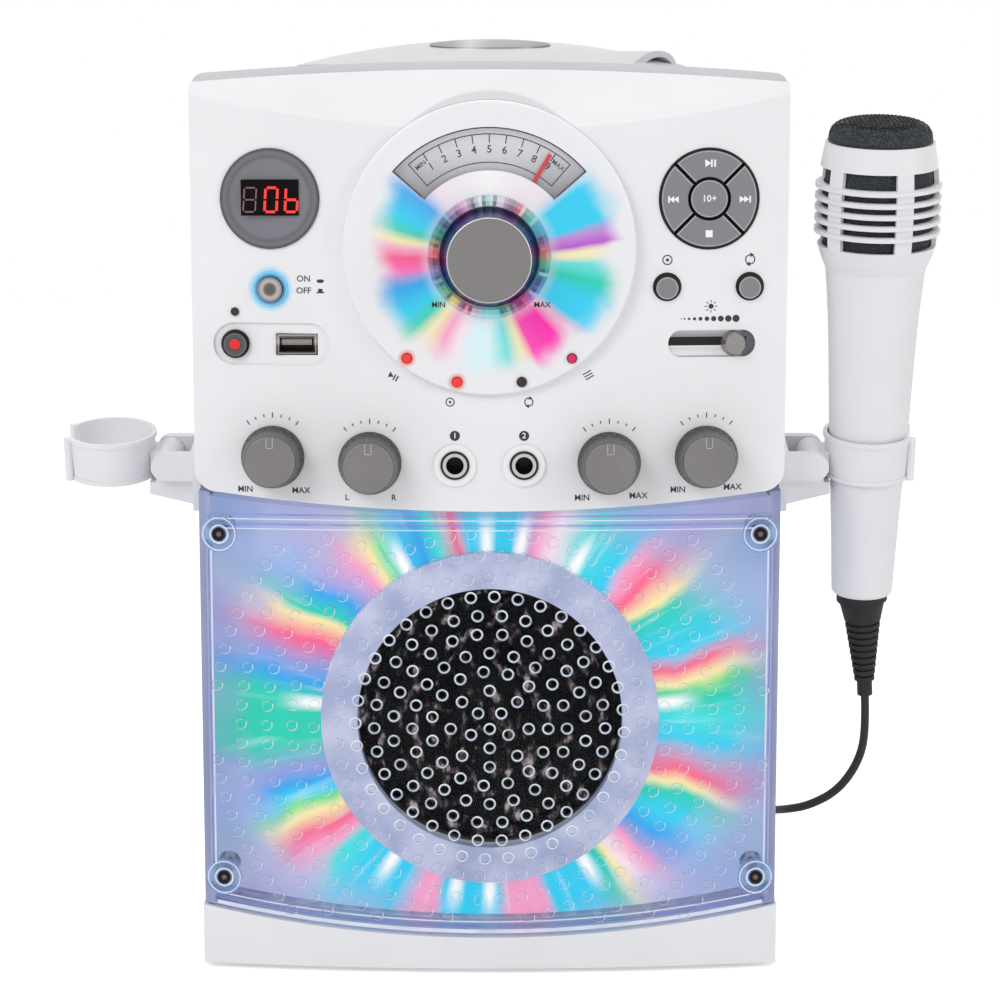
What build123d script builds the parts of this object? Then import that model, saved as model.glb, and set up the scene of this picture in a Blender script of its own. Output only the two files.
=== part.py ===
from build123d import *
import math
import os

# A karaoke machine: a white cabinet with a bowed front, a control panel around a
# lit volume dial, a clear speaker window over a light reflector, a top-loading
# disc well under a domed lid, two folding microphone holders and a microphone.
# +X is to the right of someone facing the front, +Y goes to the back, +Z is up.
# The origin is on the floor, midway between the speaker window and the back.

os.makedirs("parts", exist_ok=True)

# ---- Driving dimensions, in millimetres and degrees ----

# Cabinet
BODY_WIDTH = 221.0
BODY_DEPTH = 190.0
BOW_RADIUS = 760.0
WALL = 3.0
CORNER_ROUND = 4.0
PLINTH_BOTTOM_Z = 2.0
PLINTH_TOP_SIDE_Z = 25.2
PLINTH_TOP_MIDDLE_Z = 14.3
PANEL_PROUD = 4.0
DECK_CROWN_Z = 346.5
DECK_RISE = 10.5
DECK_SEAT_Z = DECK_CROWN_Z - DECK_RISE
PANEL_CROWN_Z = DECK_CROWN_Z - 3.0
CROWN_RADIUS = 1306.0
PANEL_EDGE_MIDDLE_Z = 180.5
PANEL_EDGE_SIDE_Z = 187.0
PANEL_CORNER_ROUND = 9.0
CORNER_RUNOUT = 0.25
BROW_Z = DECK_SEAT_Z - 14.5
BROW_SLOPE = 1.6
BROW_DEPTH = 17.0
DECK_SKIN = 2.5
DECK_ROUND = 5.0
FIT_GAP = 0.3

# Speaker window and what lies behind it
WINDOW_DEPTH = 23.0
WINDOW_WALL = 2.2
WINDOW_STEP = 2.0
WINDOW_SIDE_GAP = 0.6
WINDOW_EDGE_GAP = 0.5
PANE_TOP_Z = 176.4
PANE_SIDE_RIM = 2.7
PANE_BOTTOM_RIM = 4.0
PANE_NOTCH_RADIUS = 5.6
WINDOW_SCREW_X = BODY_WIDTH / 2 - 8.3
WINDOW_SCREW_Z = (36.4, 170.2)
WINDOW_POST_RADIUS = 4.2
SPEAKER_Z = 96.4
HOLE_RADIUS = 1.6
HOLE_RING_RADII = (7.45, 14.8, 22.2, 29.3, 36.7, 43.8, 51.0)
HOLE_RING_COUNTS = (5, 8, 15, 20, 24, 30, 36)
HOLE_RING_ANGLES = (270.0, 0.0, 0.0, 0.0, 7.5, 0.0, 8.0)
REFLECTOR_THICKNESS = 2.4
RING_INNER_RADIUS = 51.0
RING_OUTER_RADIUS = 65.0
RING_HEIGHT = 4.6
RING_SKIN = 2.0
SPEAKER_HOLE_RADIUS = 53.0
SPEAKER_SEAT_DEPTH = 8.0
SPEAKER_FLANGE_RADIUS = 62.0
SPEAKER_FLANGE = 2.0
SPEAKER_DEPTH = 23.0
MAGNET_RADIUS = 35.0
MAGNET_LENGTH = 16.0
CONE_THROAT_RADIUS = 13.0
CONE_SKIN = 0.8

# Dial on the control panel
DIAL_Z = 278.4
DIAL_RADIUS = 54.0
DIAL_PROUD = 3.0
DIAL_SKIN = 2.5
DIAL_SKIRT = 12.5
DIAL_SKIRT_WALL = 1.4
VOLUME_Z = 275.5
GAUGE_HALF_ANGLE = 49.0
GAUGE_INNER_RADIUS = 31.5
GAUGE_OUTER_RADIUS = 47.2
GAUGE_FACE_MARGIN = 1.8
CRYSTAL_OUTER_RADIUS = 22.8
CRYSTAL_INNER_RADIUS = 18.9
CRYSTAL_HEIGHT = 7.0
CRYSTAL_FACETS = 32
VOLUME_BASE_RADIUS = 18.4
VOLUME_FACE_RADIUS = 15.4
VOLUME_HEIGHT = 20.0
VOLUME_SHAFT_RADIUS = 3.0
RUN_CLEARANCE = 0.05

# Gears from the volume knob to the needle
GEAR_MODULE = 0.8
SMALL_TEETH = 12
LARGE_TEETH = 23
GEAR_WIDTH = 2.0
GEAR_PRESSURE_ANGLE = 25.0
GEAR_ADDENDUM = 0.75
GEAR_DEDENDUM = 1.0
GEAR_BACKLASH = 0.14
IDLER_PIN_RADIUS = 1.5
NEEDLE_THICKNESS = 0.6
NEEDLE_WIDTH = 1.5
NEEDLE_TIP_RADIUS = 43.4
NEEDLE_REST_ANGLE = 31.0

# Controls of the panel: places are (x, z) from the middle of the cabinet
CLUSTER_X = BODY_WIDTH / 2 - 29.6
CLUSTER_Z = 296.4
LENS_RADIUS = 18.4
LENS_PROUD = 0.8
LENS_STEP_RADIUS = 15.4
LENS_THICKNESS = 3.0
DISPLAY_SIZE = (24.0, 15.0)
KEYPAD_RADIUS = 18.6
KEY_OUTER_RADIUS = 18.2
KEY_INNER_RADIUS = 8.0
KEY_CENTRE_RADIUS = 7.0
KEY_GAP = 1.3
KEY_PROUD = 0.8
KEY_THICKNESS = 4.2
KEY_TRAVEL = 0.6
BUTTON_TRAVEL = 0.8
ROUND_BUTTON_RADIUS = 4.6
ROUND_HOLE_RADIUS = 5.3
BUTTON_PROUD = 1.4
BUTTON_LENGTH = 5.0
MODE_BUTTONS = {"source_button": (CLUSTER_X - 15.3, 264.1),
                "repeat_button": (CLUSTER_X + 15.5, 264.1)}
RECORD_BUTTON = (-CLUSTER_X - 13.5, 242.7)
RECORD_LIGHT = (RECORD_BUTTON[0], 254.7)
POWER_BUTTON = (-CLUSTER_X - 0.1, 263.2)
POWER_BUTTON_RADIUS = 4.6
POWER_RING_RADIUS = 6.4
POWER_PROUD = 2.6
POWER_LENGTH = 9.0
STADIUM_CENTRE = (-CLUSTER_X + 0.1, 242.8)
STADIUM_SIZE = (43.7, 15.8)
POCKET_DEPTH = 1.2
USB_CENTRE = (-CLUSTER_X + 9.5, 242.7)
USB_FRAME = (15.4, 7.8)
USB_SHELL = (13.2, 5.8)
USB_MOUTH = (12.5, 5.1)
USB_TONGUE = (11.1, 1.8)
USB_LENGTH = 14.0
SLIDER_CENTRE = (CLUSTER_X + 1.6, 243.0)
SLIDER_POCKET = (32.8, 10.0)
SLIDER_POCKET_DEPTH = 1.6
SLIDER_SLOT = (29.3, 3.2)
SLIDER_REST_OFFSET = 8.2
SLIDER_CAP_RADIUS = 4.7
SLIDER_CAP_TOP_RADIUS = 3.7
SLIDER_CAP_HEIGHT = 5.0
SLIDER_STEM = (2.6, 2.4)
LIGHT_RADIUS = 1.85
STATUS_LIGHT_ANGLES = (-127.1, -103.7, -76.3, -52.9)
STATUS_LIGHT_DISTANCE = 50.4
RECORD_LIGHT_RADIUS = 1.5
LIGHT_PROUD = 0.8
KNOB_BASE_RADIUS = 11.8
KNOB_FACE_RADIUS = 9.6
KNOB_HEIGHT = 14.0
KNOB_GAP = 0.6
KNOB_NOTCHES = 18
KNOB_NOTCH_RADIUS = 1.1
KNOB_SHAFT_RADIUS = 3.0
OUTER_KNOB_X = CLUSTER_X - 0.1
INNER_KNOB_X = CLUSTER_X - 36.4
KNOBS = {"voice_control_knob": (-OUTER_KNOB_X, 200.7), "balance_knob": (-INNER_KNOB_X, 198.7),
         "echo_knob": (INNER_KNOB_X, 198.7), "mic_volume_knob": (OUTER_KNOB_X, 200.7)}
JACK_X = 12.85
JACK_Z = 198.0
JACK_BORE_RADIUS = 3.23
JACK_NUT_RADIUS = 7.8
JACK_BARREL_RADIUS = 5.3
JACK_LENGTH = 22.0
BOARD_DEPTH = 19.0
BOARD_THICKNESS = 1.6
BOARD_HALF_WIDTH = BODY_WIDTH / 2 - 7.5
BOARD_Z = (191.0, DECK_SEAT_Z - 27.0)
POT_BODY = (17.0, 17.0)
POT_THICKNESS = 8.0

# Disc well, lid and mechanism
WELL_Y = 2.0
LID_RADIUS = 77.3
LID_GAP = 0.5
LID_CREST_Z = DECK_CROWN_Z + 8.9
LID_EDGE_Z = DECK_CROWN_Z - 1.1
LID_SKIN = 2.2
LID_LEDGE_Z = DECK_CROWN_Z - 5.0
LID_SKIRT_Z = LID_LEDGE_Z + 0.4
LID_WINDOW_SIZE = (47.0, 33.0)
LID_WINDOW_FORWARD = 33.0
WELL_RADIUS = 63.0
WELL_FLOOR_Z = DECK_CROWN_Z - 20.0
TURNTABLE_HOLE_RADIUS = 17.0
LASER_SLOT = (22.0, 44.0)
LASER_SLOT_FORWARD = 38.0
HINGE_Y = 84.5
HINGE_Z = DECK_CROWN_Z - 3.1
HINGE_PIN_RADIUS = 2.0
HINGE_ARM_X = 30.0
HINGE_ARM_WIDTH = 4.0
HINGE_CHEEK_GAP = 0.5
HINGE_PIN_LENGTH = 4.0
ARM_TROUGH = 0.8
LIFT_X = 65.0
LIFT_WIDTH = 42.0
LIFT_TOP_Z = DECK_CROWN_Z + 4.1
# Outline of the finger lift and of its opening, as parts of its width and rise.
LIFT_OUTLINE = ((-0.5, 0), (-0.2, 0.7), (0.22, 1.0), (0.43, 0.68), (0.5, 0))
LIFT_OPENING = ((-0.37, 0), (-0.13, 0.45), (0.2, 0.74), (0.38, 0.46), (0.44, 0))
LIFT_LENGTH = 22.0
CHASSIS_Z = WELL_FLOOR_Z - 20.5
CHASSIS_THICKNESS = 2.0
CHASSIS_HALF_WIDTH = 40.0
CHASSIS_Y = (-70.0, 28.0)
CHASSIS_POST_RADIUS = 3.5
MOTOR_RADIUS = 11.0
MOTOR_HEIGHT = 10.0
MOTOR_SHAFT_RADIUS = 1.0
TURNTABLE_RADIUS = 15.0
TURNTABLE_TOP_Z = WELL_FLOOR_Z + 4.5
DISC_BORE_RADIUS = 7.5
DISC_THICKNESS = 1.2
ROD_RADIUS = 1.5
ROD_X = 20.0
ROD_Z = CHASSIS_Z + 7.5
SLED_WIDTH = 50.0
SLED_LENGTH = 16.0
SLED_HEIGHT = 7.0
SLED_REST_FORWARD = 26.0
LASER_LENS_RADIUS = 4.0
CLAMP_RADIUS = 14.0

# Rear side and inside
SOCKET_Z = 62.0
INLET_X = 40.5 - BODY_WIDTH / 2
SOCKET_OPENING = (-2 * INLET_X + 30.0, 24.0)
SOCKET_GAP = 0.4
RCA_X = (20.0, 40.0, 60.0)
RCA_RADIUS = 4.15
RCA_BORE_RADIUS = 1.7
RCA_LENGTH = 8.0
INLET_BODY = (20.0, 12.0, 18.0)
INLET_WELL = (15.0, 8.0, 14.0)
INLET_PIN_RADIUS = 1.2
INLET_PIN_X = 3.3
INLET_PIN_LENGTH = 12.0
VENT_ROWS = 9
VENT_PITCH = 6.0
VENT_SIZE = (70.0, 2.4)
VENT_Z = 250.0
SCREW_HEAD_RADIUS = 2.6
SCREW_HEAD_HEIGHT = 1.6
SCREW_SHANK_RADIUS = 1.4
REAR_SCREW_INSET_X = 10.0
REAR_SCREW_INSET_Z = 15.0
FOOT_RADIUS = 8.0
FOOT_X = BODY_WIDTH / 2 - 22.5
FOOT_Y = 76.0

# Microphone holders: a bracket on each side, its ring leaning to the front
HOLDER_X = BODY_WIDTH / 2 + 35.5
HOLDER_Y = -58.0
HOLDER_Z = 197.4
HOLDER_LEAN = 11.5
RING_TOP_BORE = 15.8
RING_BOTTOM_BORE = 14.9
RING_WALL = 1.1
RING_FLANGE = 0.5
RING_FLANGE_HEIGHT = 1.6
HOLDER_HEIGHT = 17.0
MOUTH_HALF_ANGLE = 27.0
PIVOT_FROM_RING = 21.6
PIVOT_DROP = 2.0
PIVOT_PIN_RADIUS = 2.0
HUB_RADIUS = 5.2
EAR_GAP = 0.4
EAR_THICKNESS = 4.0
HUB_WIDTH = 17.0
PLATE_THICKNESS = 3.2
PLATE_SIZE = (32.0, 24.6)

# Microphone, measured along its axis from the middle of the holder's ring
MIC_LEAN = 8.5
HANDLE_PROFILE = ((11.8, -57.1), (13.85, -14.3), (15.3, 12.7), (17.15, 53.0), (18.8, 72.7))
HANDLE_WALL = 2.0
HEAD_PROFILE = ((18.8, 72.7), (20.6, 77.0), (22.2, 82.0), (22.7, 88.5), (22.7, 102.5),
                (21.9, 112.0), (20.4, 121.0))
HEAD_WALL = 1.8
HEAD_SLOTS = ((82.2, 86.6), (88.6, 90.9), (92.9, 95.1), (97.1, 99.3), (101.3, 103.7),
              (105.9, 111.8))
HEAD_RIBS = (87.6, 91.9, 96.1, 100.3, 104.8)
HEAD_RIB_PROUD = 0.9
HEAD_RIB_HEIGHT = 1.5
HEAD_GROUPS = 5
HEAD_GROUP_ANGLE = 54.5
HEAD_FIRST_GROUP = -107.0
GRILLE_RADIUS = 19.4
GRILLE_TOP = 128.9
CAPSULE_RADIUS = 9.0
RELIEF_LEAN = 4.0
RELIEF_FLANGE = (9.9, 3.2)
RELIEF_CONE = (9.0, 7.1, 8.4)
RELIEF_RIDGES = 9
RELIEF_RIDGE_PITCH = 2.8
RELIEF_RIDGE_TAPER = (6.8, 4.0)
RELIEF_TIP = (3.0, 6.4)
RELIEF_GROOVE = 0.8
RELIEF_GROOVE_SHARE = 0.4

# Microphone cord: it hangs from the relief, runs back along the right side and
# ends in a coil behind the cabinet
CORD_RADIUS = 1.7
CORD_FLOOR_GAP = 0.2
CORD_FIRST_RUN = 15.5
CORD_ARC_SHARE = 0.45
# x of each point is counted from the cabinet's right side.
CORD_POINTS = ((37.4, -38.6, 69.5), (29.5, -36.4, 56.8), (18.1, -33.0, 49.6),
               (9.5, -24.0, 45.6), (6.1, -6.0, 40.5), (5.7, 20.0, 31.0),
               (6.3, 51.0, 18.5), (6.7, 82.0, 7.6), (2.0, 104.0, 2.5),
               (-8.0, 119.0, 1.9), (-18.5, 125.3, 1.9))
COIL_TURN_DIAMETER = 37.4
COIL_ROWS = 4
COIL_CENTRE = (BODY_WIDTH / 2 - 52.5, 144.0)
COIL_LEAD = 25.0
COIL_SLACK = 0.15
PLUG_RADIUS = 3.17
PLUG_PIN_LENGTH = 30.0
PLUG_GRIP_RADIUS = 6.6
PLUG_GRIP_LENGTH = 34.0
PLUG_COLLAR_RADIUS = 4.2
PLUG_COLLAR_LENGTH = 12.0

# ---- Places worked out from the sizes ----
HALF_WIDTH = BODY_WIDTH / 2
FRONT_Y = -BODY_DEPTH / 2
BACK_Y = BODY_DEPTH / 2
SEAM_Y = 0.0
PANEL_Y = FRONT_Y - PANEL_PROUD
RECESS_Y = FRONT_Y + WINDOW_DEPTH
DECK_FRONT_Y = PANEL_Y + BROW_DEPTH
DIAL_Y = PANEL_Y - DIAL_PROUD
DIAL_BACK_Y = DIAL_Y + DIAL_SKIN
BOARD_Y = PANEL_Y + BOARD_DEPTH
SPEAKER_SEAT_Y = RECESS_Y + SPEAKER_SEAT_DEPTH
STATUS_LIGHTS = [(STATUS_LIGHT_DISTANCE * math.cos(math.radians(a)),
                  DIAL_Z + STATUS_LIGHT_DISTANCE * math.sin(math.radians(a)))
                 for a in STATUS_LIGHT_ANGLES]


# ---- Helpers ----
def bow(x):
    """How far the bowed front lies behind its middle at a distance x."""
    return BOW_RADIUS - math.sqrt(BOW_RADIUS**2 - x**2)


def crown(x, top):
    """Height of a crowned top at a distance x from the middle."""
    return top - CROWN_RADIUS + math.sqrt(CROWN_RADIUS**2 - x**2)


def front_plane(y):
    """Upright plane at depth y, drawn as seen from the front."""
    return Plane.XZ.offset(-y)


def bowed_block(front, back, half, bottom, top, bowed_back=False):
    """Block with a bowed front, and a straight or equally bowed back."""
    with BuildPart() as block:
        with BuildSketch(Plane.XY.offset(bottom)):
            with BuildLine():
                ThreePointArc((-half, front + bow(half)), (0, front), (half, front + bow(half)))
                if bowed_back:
                    Line((half, front + bow(half)), (half, back + bow(half)))
                    ThreePointArc((half, back + bow(half)), (0, back), (-half, back + bow(half)))
                    Line((-half, back + bow(half)), (-half, front + bow(half)))
                else:
                    Polyline((half, front + bow(half)), (half, back), (-half, back),
                             (-half, front + bow(half)))
            make_face()
        extrude(amount=top - bottom)
    return block.part


def cabinet_block(inset):
    """Front half of the cabinet as a solid, smaller by an inset all round."""
    half = HALF_WIDTH - inset
    front = PANEL_Y + inset
    top = PANEL_CROWN_Z - inset
    bottom = PLINTH_TOP_SIDE_Z
    slope_shift = inset * math.sqrt(1 + BROW_SLOPE**-2)
    with BuildPart() as block:
        add(bowed_block(front, SEAM_Y, half, bottom, top))
        with BuildSketch(front_plane(SEAM_Y)):
            with BuildLine():
                ThreePointArc((-half, crown(half, top)), (0, top), (half, crown(half, top)))
                Polyline((half, crown(half, top)), (half, bottom), (-half, bottom),
                         (-half, crown(half, top)))
            make_face()
        extrude(amount=SEAM_Y - front, mode=Mode.INTERSECT)
        with BuildSketch(Plane.YZ):
            with BuildLine():
                Polyline(
                    (PANEL_Y + slope_shift - BROW_DEPTH, BROW_Z - BROW_SLOPE * BROW_DEPTH),
                    (PANEL_Y + slope_shift + 2 * BROW_DEPTH, BROW_Z + 2 * BROW_SLOPE * BROW_DEPTH),
                    (PANEL_Y + slope_shift - BROW_DEPTH, BROW_Z + 2 * BROW_SLOPE * BROW_DEPTH),
                    close=True)
            make_face()
        extrude(amount=HALF_WIDTH, both=True, mode=Mode.SUBTRACT)
    return block.part


def window_zone(grow):
    """Space in front of the recessed wall and under the panel's lower edge."""
    side = HALF_WIDTH + WALL - grow
    corner = PANEL_CORNER_ROUND - grow
    corner_x = HALF_WIDTH - PANEL_CORNER_ROUND + CORNER_RUNOUT
    corner_z = PANEL_EDGE_SIDE_Z + PANEL_CORNER_ROUND
    diagonal = corner * math.sqrt(0.5)
    edge_z = PANEL_EDGE_SIDE_Z + grow
    outer = corner_x + corner
    with BuildPart() as zone:
        with BuildSketch(front_plane(SEAM_Y)):
            with BuildLine():
                Polyline((-side, 0), (-side, corner_z), (-outer, corner_z))
                ThreePointArc((-outer, corner_z), (-corner_x - diagonal, corner_z - diagonal),
                              (-corner_x, edge_z))
                ThreePointArc((-corner_x, edge_z), (0, PANEL_EDGE_MIDDLE_Z + grow),
                              (corner_x, edge_z))
                ThreePointArc((corner_x, edge_z), (corner_x + diagonal, corner_z - diagonal),
                              (outer, corner_z))
                Polyline((outer, corner_z), (side, corner_z), (side, 0), (-side, 0))
            make_face()
        extrude(amount=BODY_DEPTH)
        add(bowed_block(FRONT_Y - BODY_DEPTH / 2, RECESS_Y + grow, side, 0, PANEL_CROWN_Z, True),
            mode=Mode.INTERSECT)
    return zone.part


def window_outline(inset):
    """Face of the speaker window seen from the front."""
    side = HALF_WIDTH - WINDOW_SIDE_GAP - inset
    top_side = PANEL_EDGE_SIDE_Z - WINDOW_EDGE_GAP - inset
    top_middle = PANEL_EDGE_MIDDLE_Z - WINDOW_EDGE_GAP - inset
    low_side = PLINTH_TOP_SIDE_Z + WINDOW_EDGE_GAP + inset
    low_middle = PLINTH_TOP_MIDDLE_Z + WINDOW_EDGE_GAP + inset
    with BuildSketch() as outline:
        with BuildLine():
            ThreePointArc((-side, top_side), (0, top_middle), (side, top_side))
            Line((side, top_side), (side, low_side))
            ThreePointArc((side, low_side), (0, low_middle), (-side, low_side))
            Line((-side, low_side), (-side, top_side))
        make_face()
    return outline.sketch


def pane_outline(inset):
    """Raised middle of the speaker window, notched round its corner screws."""
    side = HALF_WIDTH - WINDOW_SIDE_GAP - PANE_SIDE_RIM - inset
    low_side = PLINTH_TOP_SIDE_Z + PANE_BOTTOM_RIM + inset
    low_middle = PLINTH_TOP_MIDDLE_Z + PANE_BOTTOM_RIM + inset
    top = PANE_TOP_Z - inset
    with BuildSketch() as outline:
        with BuildLine():
            ThreePointArc((side, low_side), (0, low_middle), (-side, low_side))
            Polyline((-side, low_side), (-side, top), (side, top), (side, low_side))
        make_face()
        with Locations(*window_screw_places()):
            Circle(PANE_NOTCH_RADIUS + inset, mode=Mode.SUBTRACT)
    return outline.sketch


def window_screw_places():
    """Places (x, z) of the four screws that hold the speaker window."""
    return [(x, z) for x in (-WINDOW_SCREW_X, WINDOW_SCREW_X) for z in WINDOW_SCREW_Z]


def ring_places():
    """Places (x, z) of the sound holes of the speaker window."""
    places = [(0.0, SPEAKER_Z)]
    for radius, count, start in zip(HOLE_RING_RADII, HOLE_RING_COUNTS, HOLE_RING_ANGLES):
        for step in range(count):
            angle = math.radians(start + 360 * step / count)
            places.append((radius * math.cos(angle), SPEAKER_Z + radius * math.sin(angle)))
    return places


def key_face(quarter_angle):
    """One of the keypad's four outer keys: a quarter ring with straight gaps."""
    reach = KEY_OUTER_RADIUS * 2
    with BuildSketch() as quarter:
        with BuildLine():
            Polyline((0, 0), (reach, reach), (reach, -reach), close=True)
        make_face()
    with BuildSketch() as face:
        Circle(KEY_OUTER_RADIUS)
        Circle(KEY_INNER_RADIUS, mode=Mode.SUBTRACT)
        add(quarter.sketch.rotate(Axis.Z, quarter_angle), mode=Mode.INTERSECT)
        for diagonal in (45, 135):
            Rectangle(4 * KEY_OUTER_RADIUS, KEY_GAP, rotation=diagonal, mode=Mode.SUBTRACT)
    return face.sketch


def gauge_outline(margin):
    """The gauge's window in the dial: part of a ring about the volume knob."""
    inner = GAUGE_INNER_RADIUS - margin
    outer = GAUGE_OUTER_RADIUS + margin
    half_angle = GAUGE_HALF_ANGLE + math.degrees(margin / outer)
    left = math.radians(90 + half_angle)
    right = math.radians(90 - half_angle)
    with BuildSketch() as outline:
        with BuildLine():
            ThreePointArc((outer * math.cos(left), outer * math.sin(left)), (0, outer),
                          (outer * math.cos(right), outer * math.sin(right)))
            Line((outer * math.cos(right), outer * math.sin(right)),
                 (inner * math.cos(right), inner * math.sin(right)))
            ThreePointArc((inner * math.cos(right), inner * math.sin(right)), (0, inner),
                          (inner * math.cos(left), inner * math.sin(left)))
            Line((inner * math.cos(left), inner * math.sin(left)),
                 (outer * math.cos(left), outer * math.sin(left)))
        make_face()
    return outline.sketch


def involute_angle(radius, base):
    """Polar angle of an involute flank at a radius outside its base circle."""
    roll = math.sqrt(max((radius / base)**2 - 1, 0))
    return roll - math.atan(roll)


def gear_outline(teeth, first_tooth):
    """Spur gear with involute flanks; one tooth points along first_tooth degrees."""
    pitch = GEAR_MODULE * teeth / 2
    base = pitch * math.cos(math.radians(GEAR_PRESSURE_ANGLE))
    tip = pitch + GEAR_MODULE * GEAR_ADDENDUM
    root = pitch - GEAR_MODULE * GEAR_DEDENDUM
    half_tooth = math.pi / (2 * teeth) - GEAR_BACKLASH / (2 * pitch)
    radii = [root, max(base, root + 0.02), pitch, (pitch + tip) / 2, tip]
    flank = [(r, half_tooth + involute_angle(pitch, base) - involute_angle(r, base)) for r in radii]
    points = []
    for tooth in range(teeth):
        middle = math.radians(first_tooth + 360 * tooth / teeth)
        for radius, angle in flank:
            points.append((radius * math.cos(middle - angle), radius * math.sin(middle - angle)))
        for radius, angle in reversed(flank):
            points.append((radius * math.cos(middle + angle), radius * math.sin(middle + angle)))
    with BuildSketch() as outline:
        with BuildLine():
            Polyline(*points, close=True)
        make_face()
    return outline.sketch


def panel_y(x):
    """Depth of the control panel's surface at a distance x from the middle."""
    return PANEL_Y + bow(x)


def flush_slab(proud, thickness):
    """Bowed slab that follows the panel: its front stands proud of the surface."""
    return bowed_block(PANEL_Y - proud, PANEL_Y - proud + thickness, HALF_WIDTH,
                       PANEL_EDGE_MIDDLE_Z, PANEL_CROWN_Z, True)


def leaning_plane(x, lean, drop=0.0):
    """Plane whose local y is the holder's or microphone's axis, leaning forward."""
    tilt = math.radians(lean)
    axis = Vector(0, -math.sin(tilt), math.cos(tilt))
    origin = Vector(x, HOLDER_Y, HOLDER_Z) - axis * drop
    return Plane(origin=origin, x_dir=(1, 0, 0), z_dir=(0, -math.cos(tilt), -math.sin(tilt)))


# ---- Cabinet ----
KNOB_PLACES = list(KNOBS.values())
JACK_PLACES = [(-JACK_X, JACK_Z), (JACK_X, JACK_Z)]
SLIDER_TILT = math.asin(SLIDER_CENTRE[0] / BOW_RADIUS)
SLIDER_PLANE = Plane(
    origin=(SLIDER_CENTRE[0], panel_y(SLIDER_CENTRE[0]), SLIDER_CENTRE[1]),
    x_dir=(math.cos(SLIDER_TILT), math.sin(SLIDER_TILT), 0),
    z_dir=(math.sin(SLIDER_TILT), -math.cos(SLIDER_TILT), 0))
SHAFT_HOLE_RADIUS = 4.2
USB_SEAT_Y = panel_y(USB_CENTRE[0]) + POCKET_DEPTH

with BuildPart() as front_cavity:
    add(cabinet_block(WALL))
    add(window_zone(WALL), mode=Mode.SUBTRACT)

with BuildPart() as stadium_pocket:
    with BuildSketch(front_plane(BOARD_Y)):
        with Locations(STADIUM_CENTRE):
            SlotOverall(*STADIUM_SIZE)
    extrude(amount=BOARD_DEPTH + WALL)
    add(flush_slab(WALL, WALL + POCKET_DEPTH), mode=Mode.INTERSECT)

with BuildPart() as front_cabinet:
    add(cabinet_block(0))
    add(front_cavity.part, mode=Mode.SUBTRACT)
    # The deck drops into the open top behind the brow.
    with BuildSketch(Plane.XY.offset(DECK_SEAT_Z)):
        with Locations((0, (DECK_FRONT_Y + SEAM_Y) / 2)):
            Rectangle(BODY_WIDTH, SEAM_Y - DECK_FRONT_Y)
    extrude(amount=DECK_CROWN_Z - DECK_SEAT_Z, mode=Mode.SUBTRACT)
    # Flat seat for the speaker on the bowed recess wall, and the speaker's hole.
    with BuildSketch(front_plane(SPEAKER_SEAT_Y)):
        with Locations((0, SPEAKER_Z)):
            Circle(SPEAKER_FLANGE_RADIUS + 1)
    extrude(amount=SPEAKER_SEAT_DEPTH)
    add(window_zone(0), mode=Mode.SUBTRACT)
    with BuildSketch(front_plane(SPEAKER_SEAT_Y)):
        with Locations((0, SPEAKER_Z)):
            Circle(SPEAKER_HOLE_RADIUS)
    extrude(amount=WINDOW_DEPTH, mode=Mode.SUBTRACT)
    with BuildSketch(front_plane(RECESS_Y + bow(HALF_WIDTH) + WALL)):
        with Locations(*window_screw_places()):
            Circle(SCREW_SHANK_RADIUS + 0.1)
    extrude(amount=WINDOW_DEPTH, mode=Mode.SUBTRACT)
    # Openings of the control panel.
    with BuildSketch(front_plane(BOARD_Y)):
        with Locations((0, DIAL_Z)):
            Circle(DIAL_RADIUS + 0.1)
        with Locations((-CLUSTER_X, CLUSTER_Z)):
            Circle(LENS_RADIUS + 0.1)
        with Locations((CLUSTER_X, CLUSTER_Z)):
            Circle(KEYPAD_RADIUS)
        with Locations(*MODE_BUTTONS.values(), RECORD_BUTTON):
            Circle(ROUND_HOLE_RADIUS)
        with Locations(POWER_BUTTON):
            Circle(POWER_RING_RADIUS + 0.1)
        with Locations(RECORD_LIGHT):
            Circle(RECORD_LIGHT_RADIUS + 0.1)
        with Locations(*KNOB_PLACES):
            Circle(SHAFT_HOLE_RADIUS)
        with Locations(*JACK_PLACES):
            Circle(JACK_BARREL_RADIUS + 0.1)
        with Locations(USB_CENTRE):
            Rectangle(USB_FRAME[0] + 0.2, USB_FRAME[1] + 0.2)
    extrude(amount=BOARD_DEPTH + WALL, mode=Mode.SUBTRACT)
    # Shallow pocket round the record button and the USB socket.
    add(stadium_pocket.part, mode=Mode.SUBTRACT)
    # Pocket and slot of the light slider.
    with BuildSketch(SLIDER_PLANE.offset(-SLIDER_POCKET_DEPTH)):
        SlotOverall(*SLIDER_POCKET)
    extrude(amount=WALL, mode=Mode.SUBTRACT)
    with BuildSketch(SLIDER_PLANE.offset(-2 * WALL)):
        with Locations(((SLIDER_SLOT[0] - SLIDER_POCKET[0]) / 2, 0.6)):
            Rectangle(*SLIDER_SLOT)
    extrude(amount=2 * WALL - SLIDER_POCKET_DEPTH, mode=Mode.SUBTRACT)
front_cabinet.part.label = "front_cabinet"
export_step(front_cabinet.part, "parts/front_cabinet.step")

REAR_SCREWS = [(x, z) for x in (-HALF_WIDTH + REAR_SCREW_INSET_X, HALF_WIDTH - REAR_SCREW_INSET_X)
               for z in (PLINTH_TOP_SIDE_Z + REAR_SCREW_INSET_Z,
                        DECK_SEAT_Z - REAR_SCREW_INSET_Z)]

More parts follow.
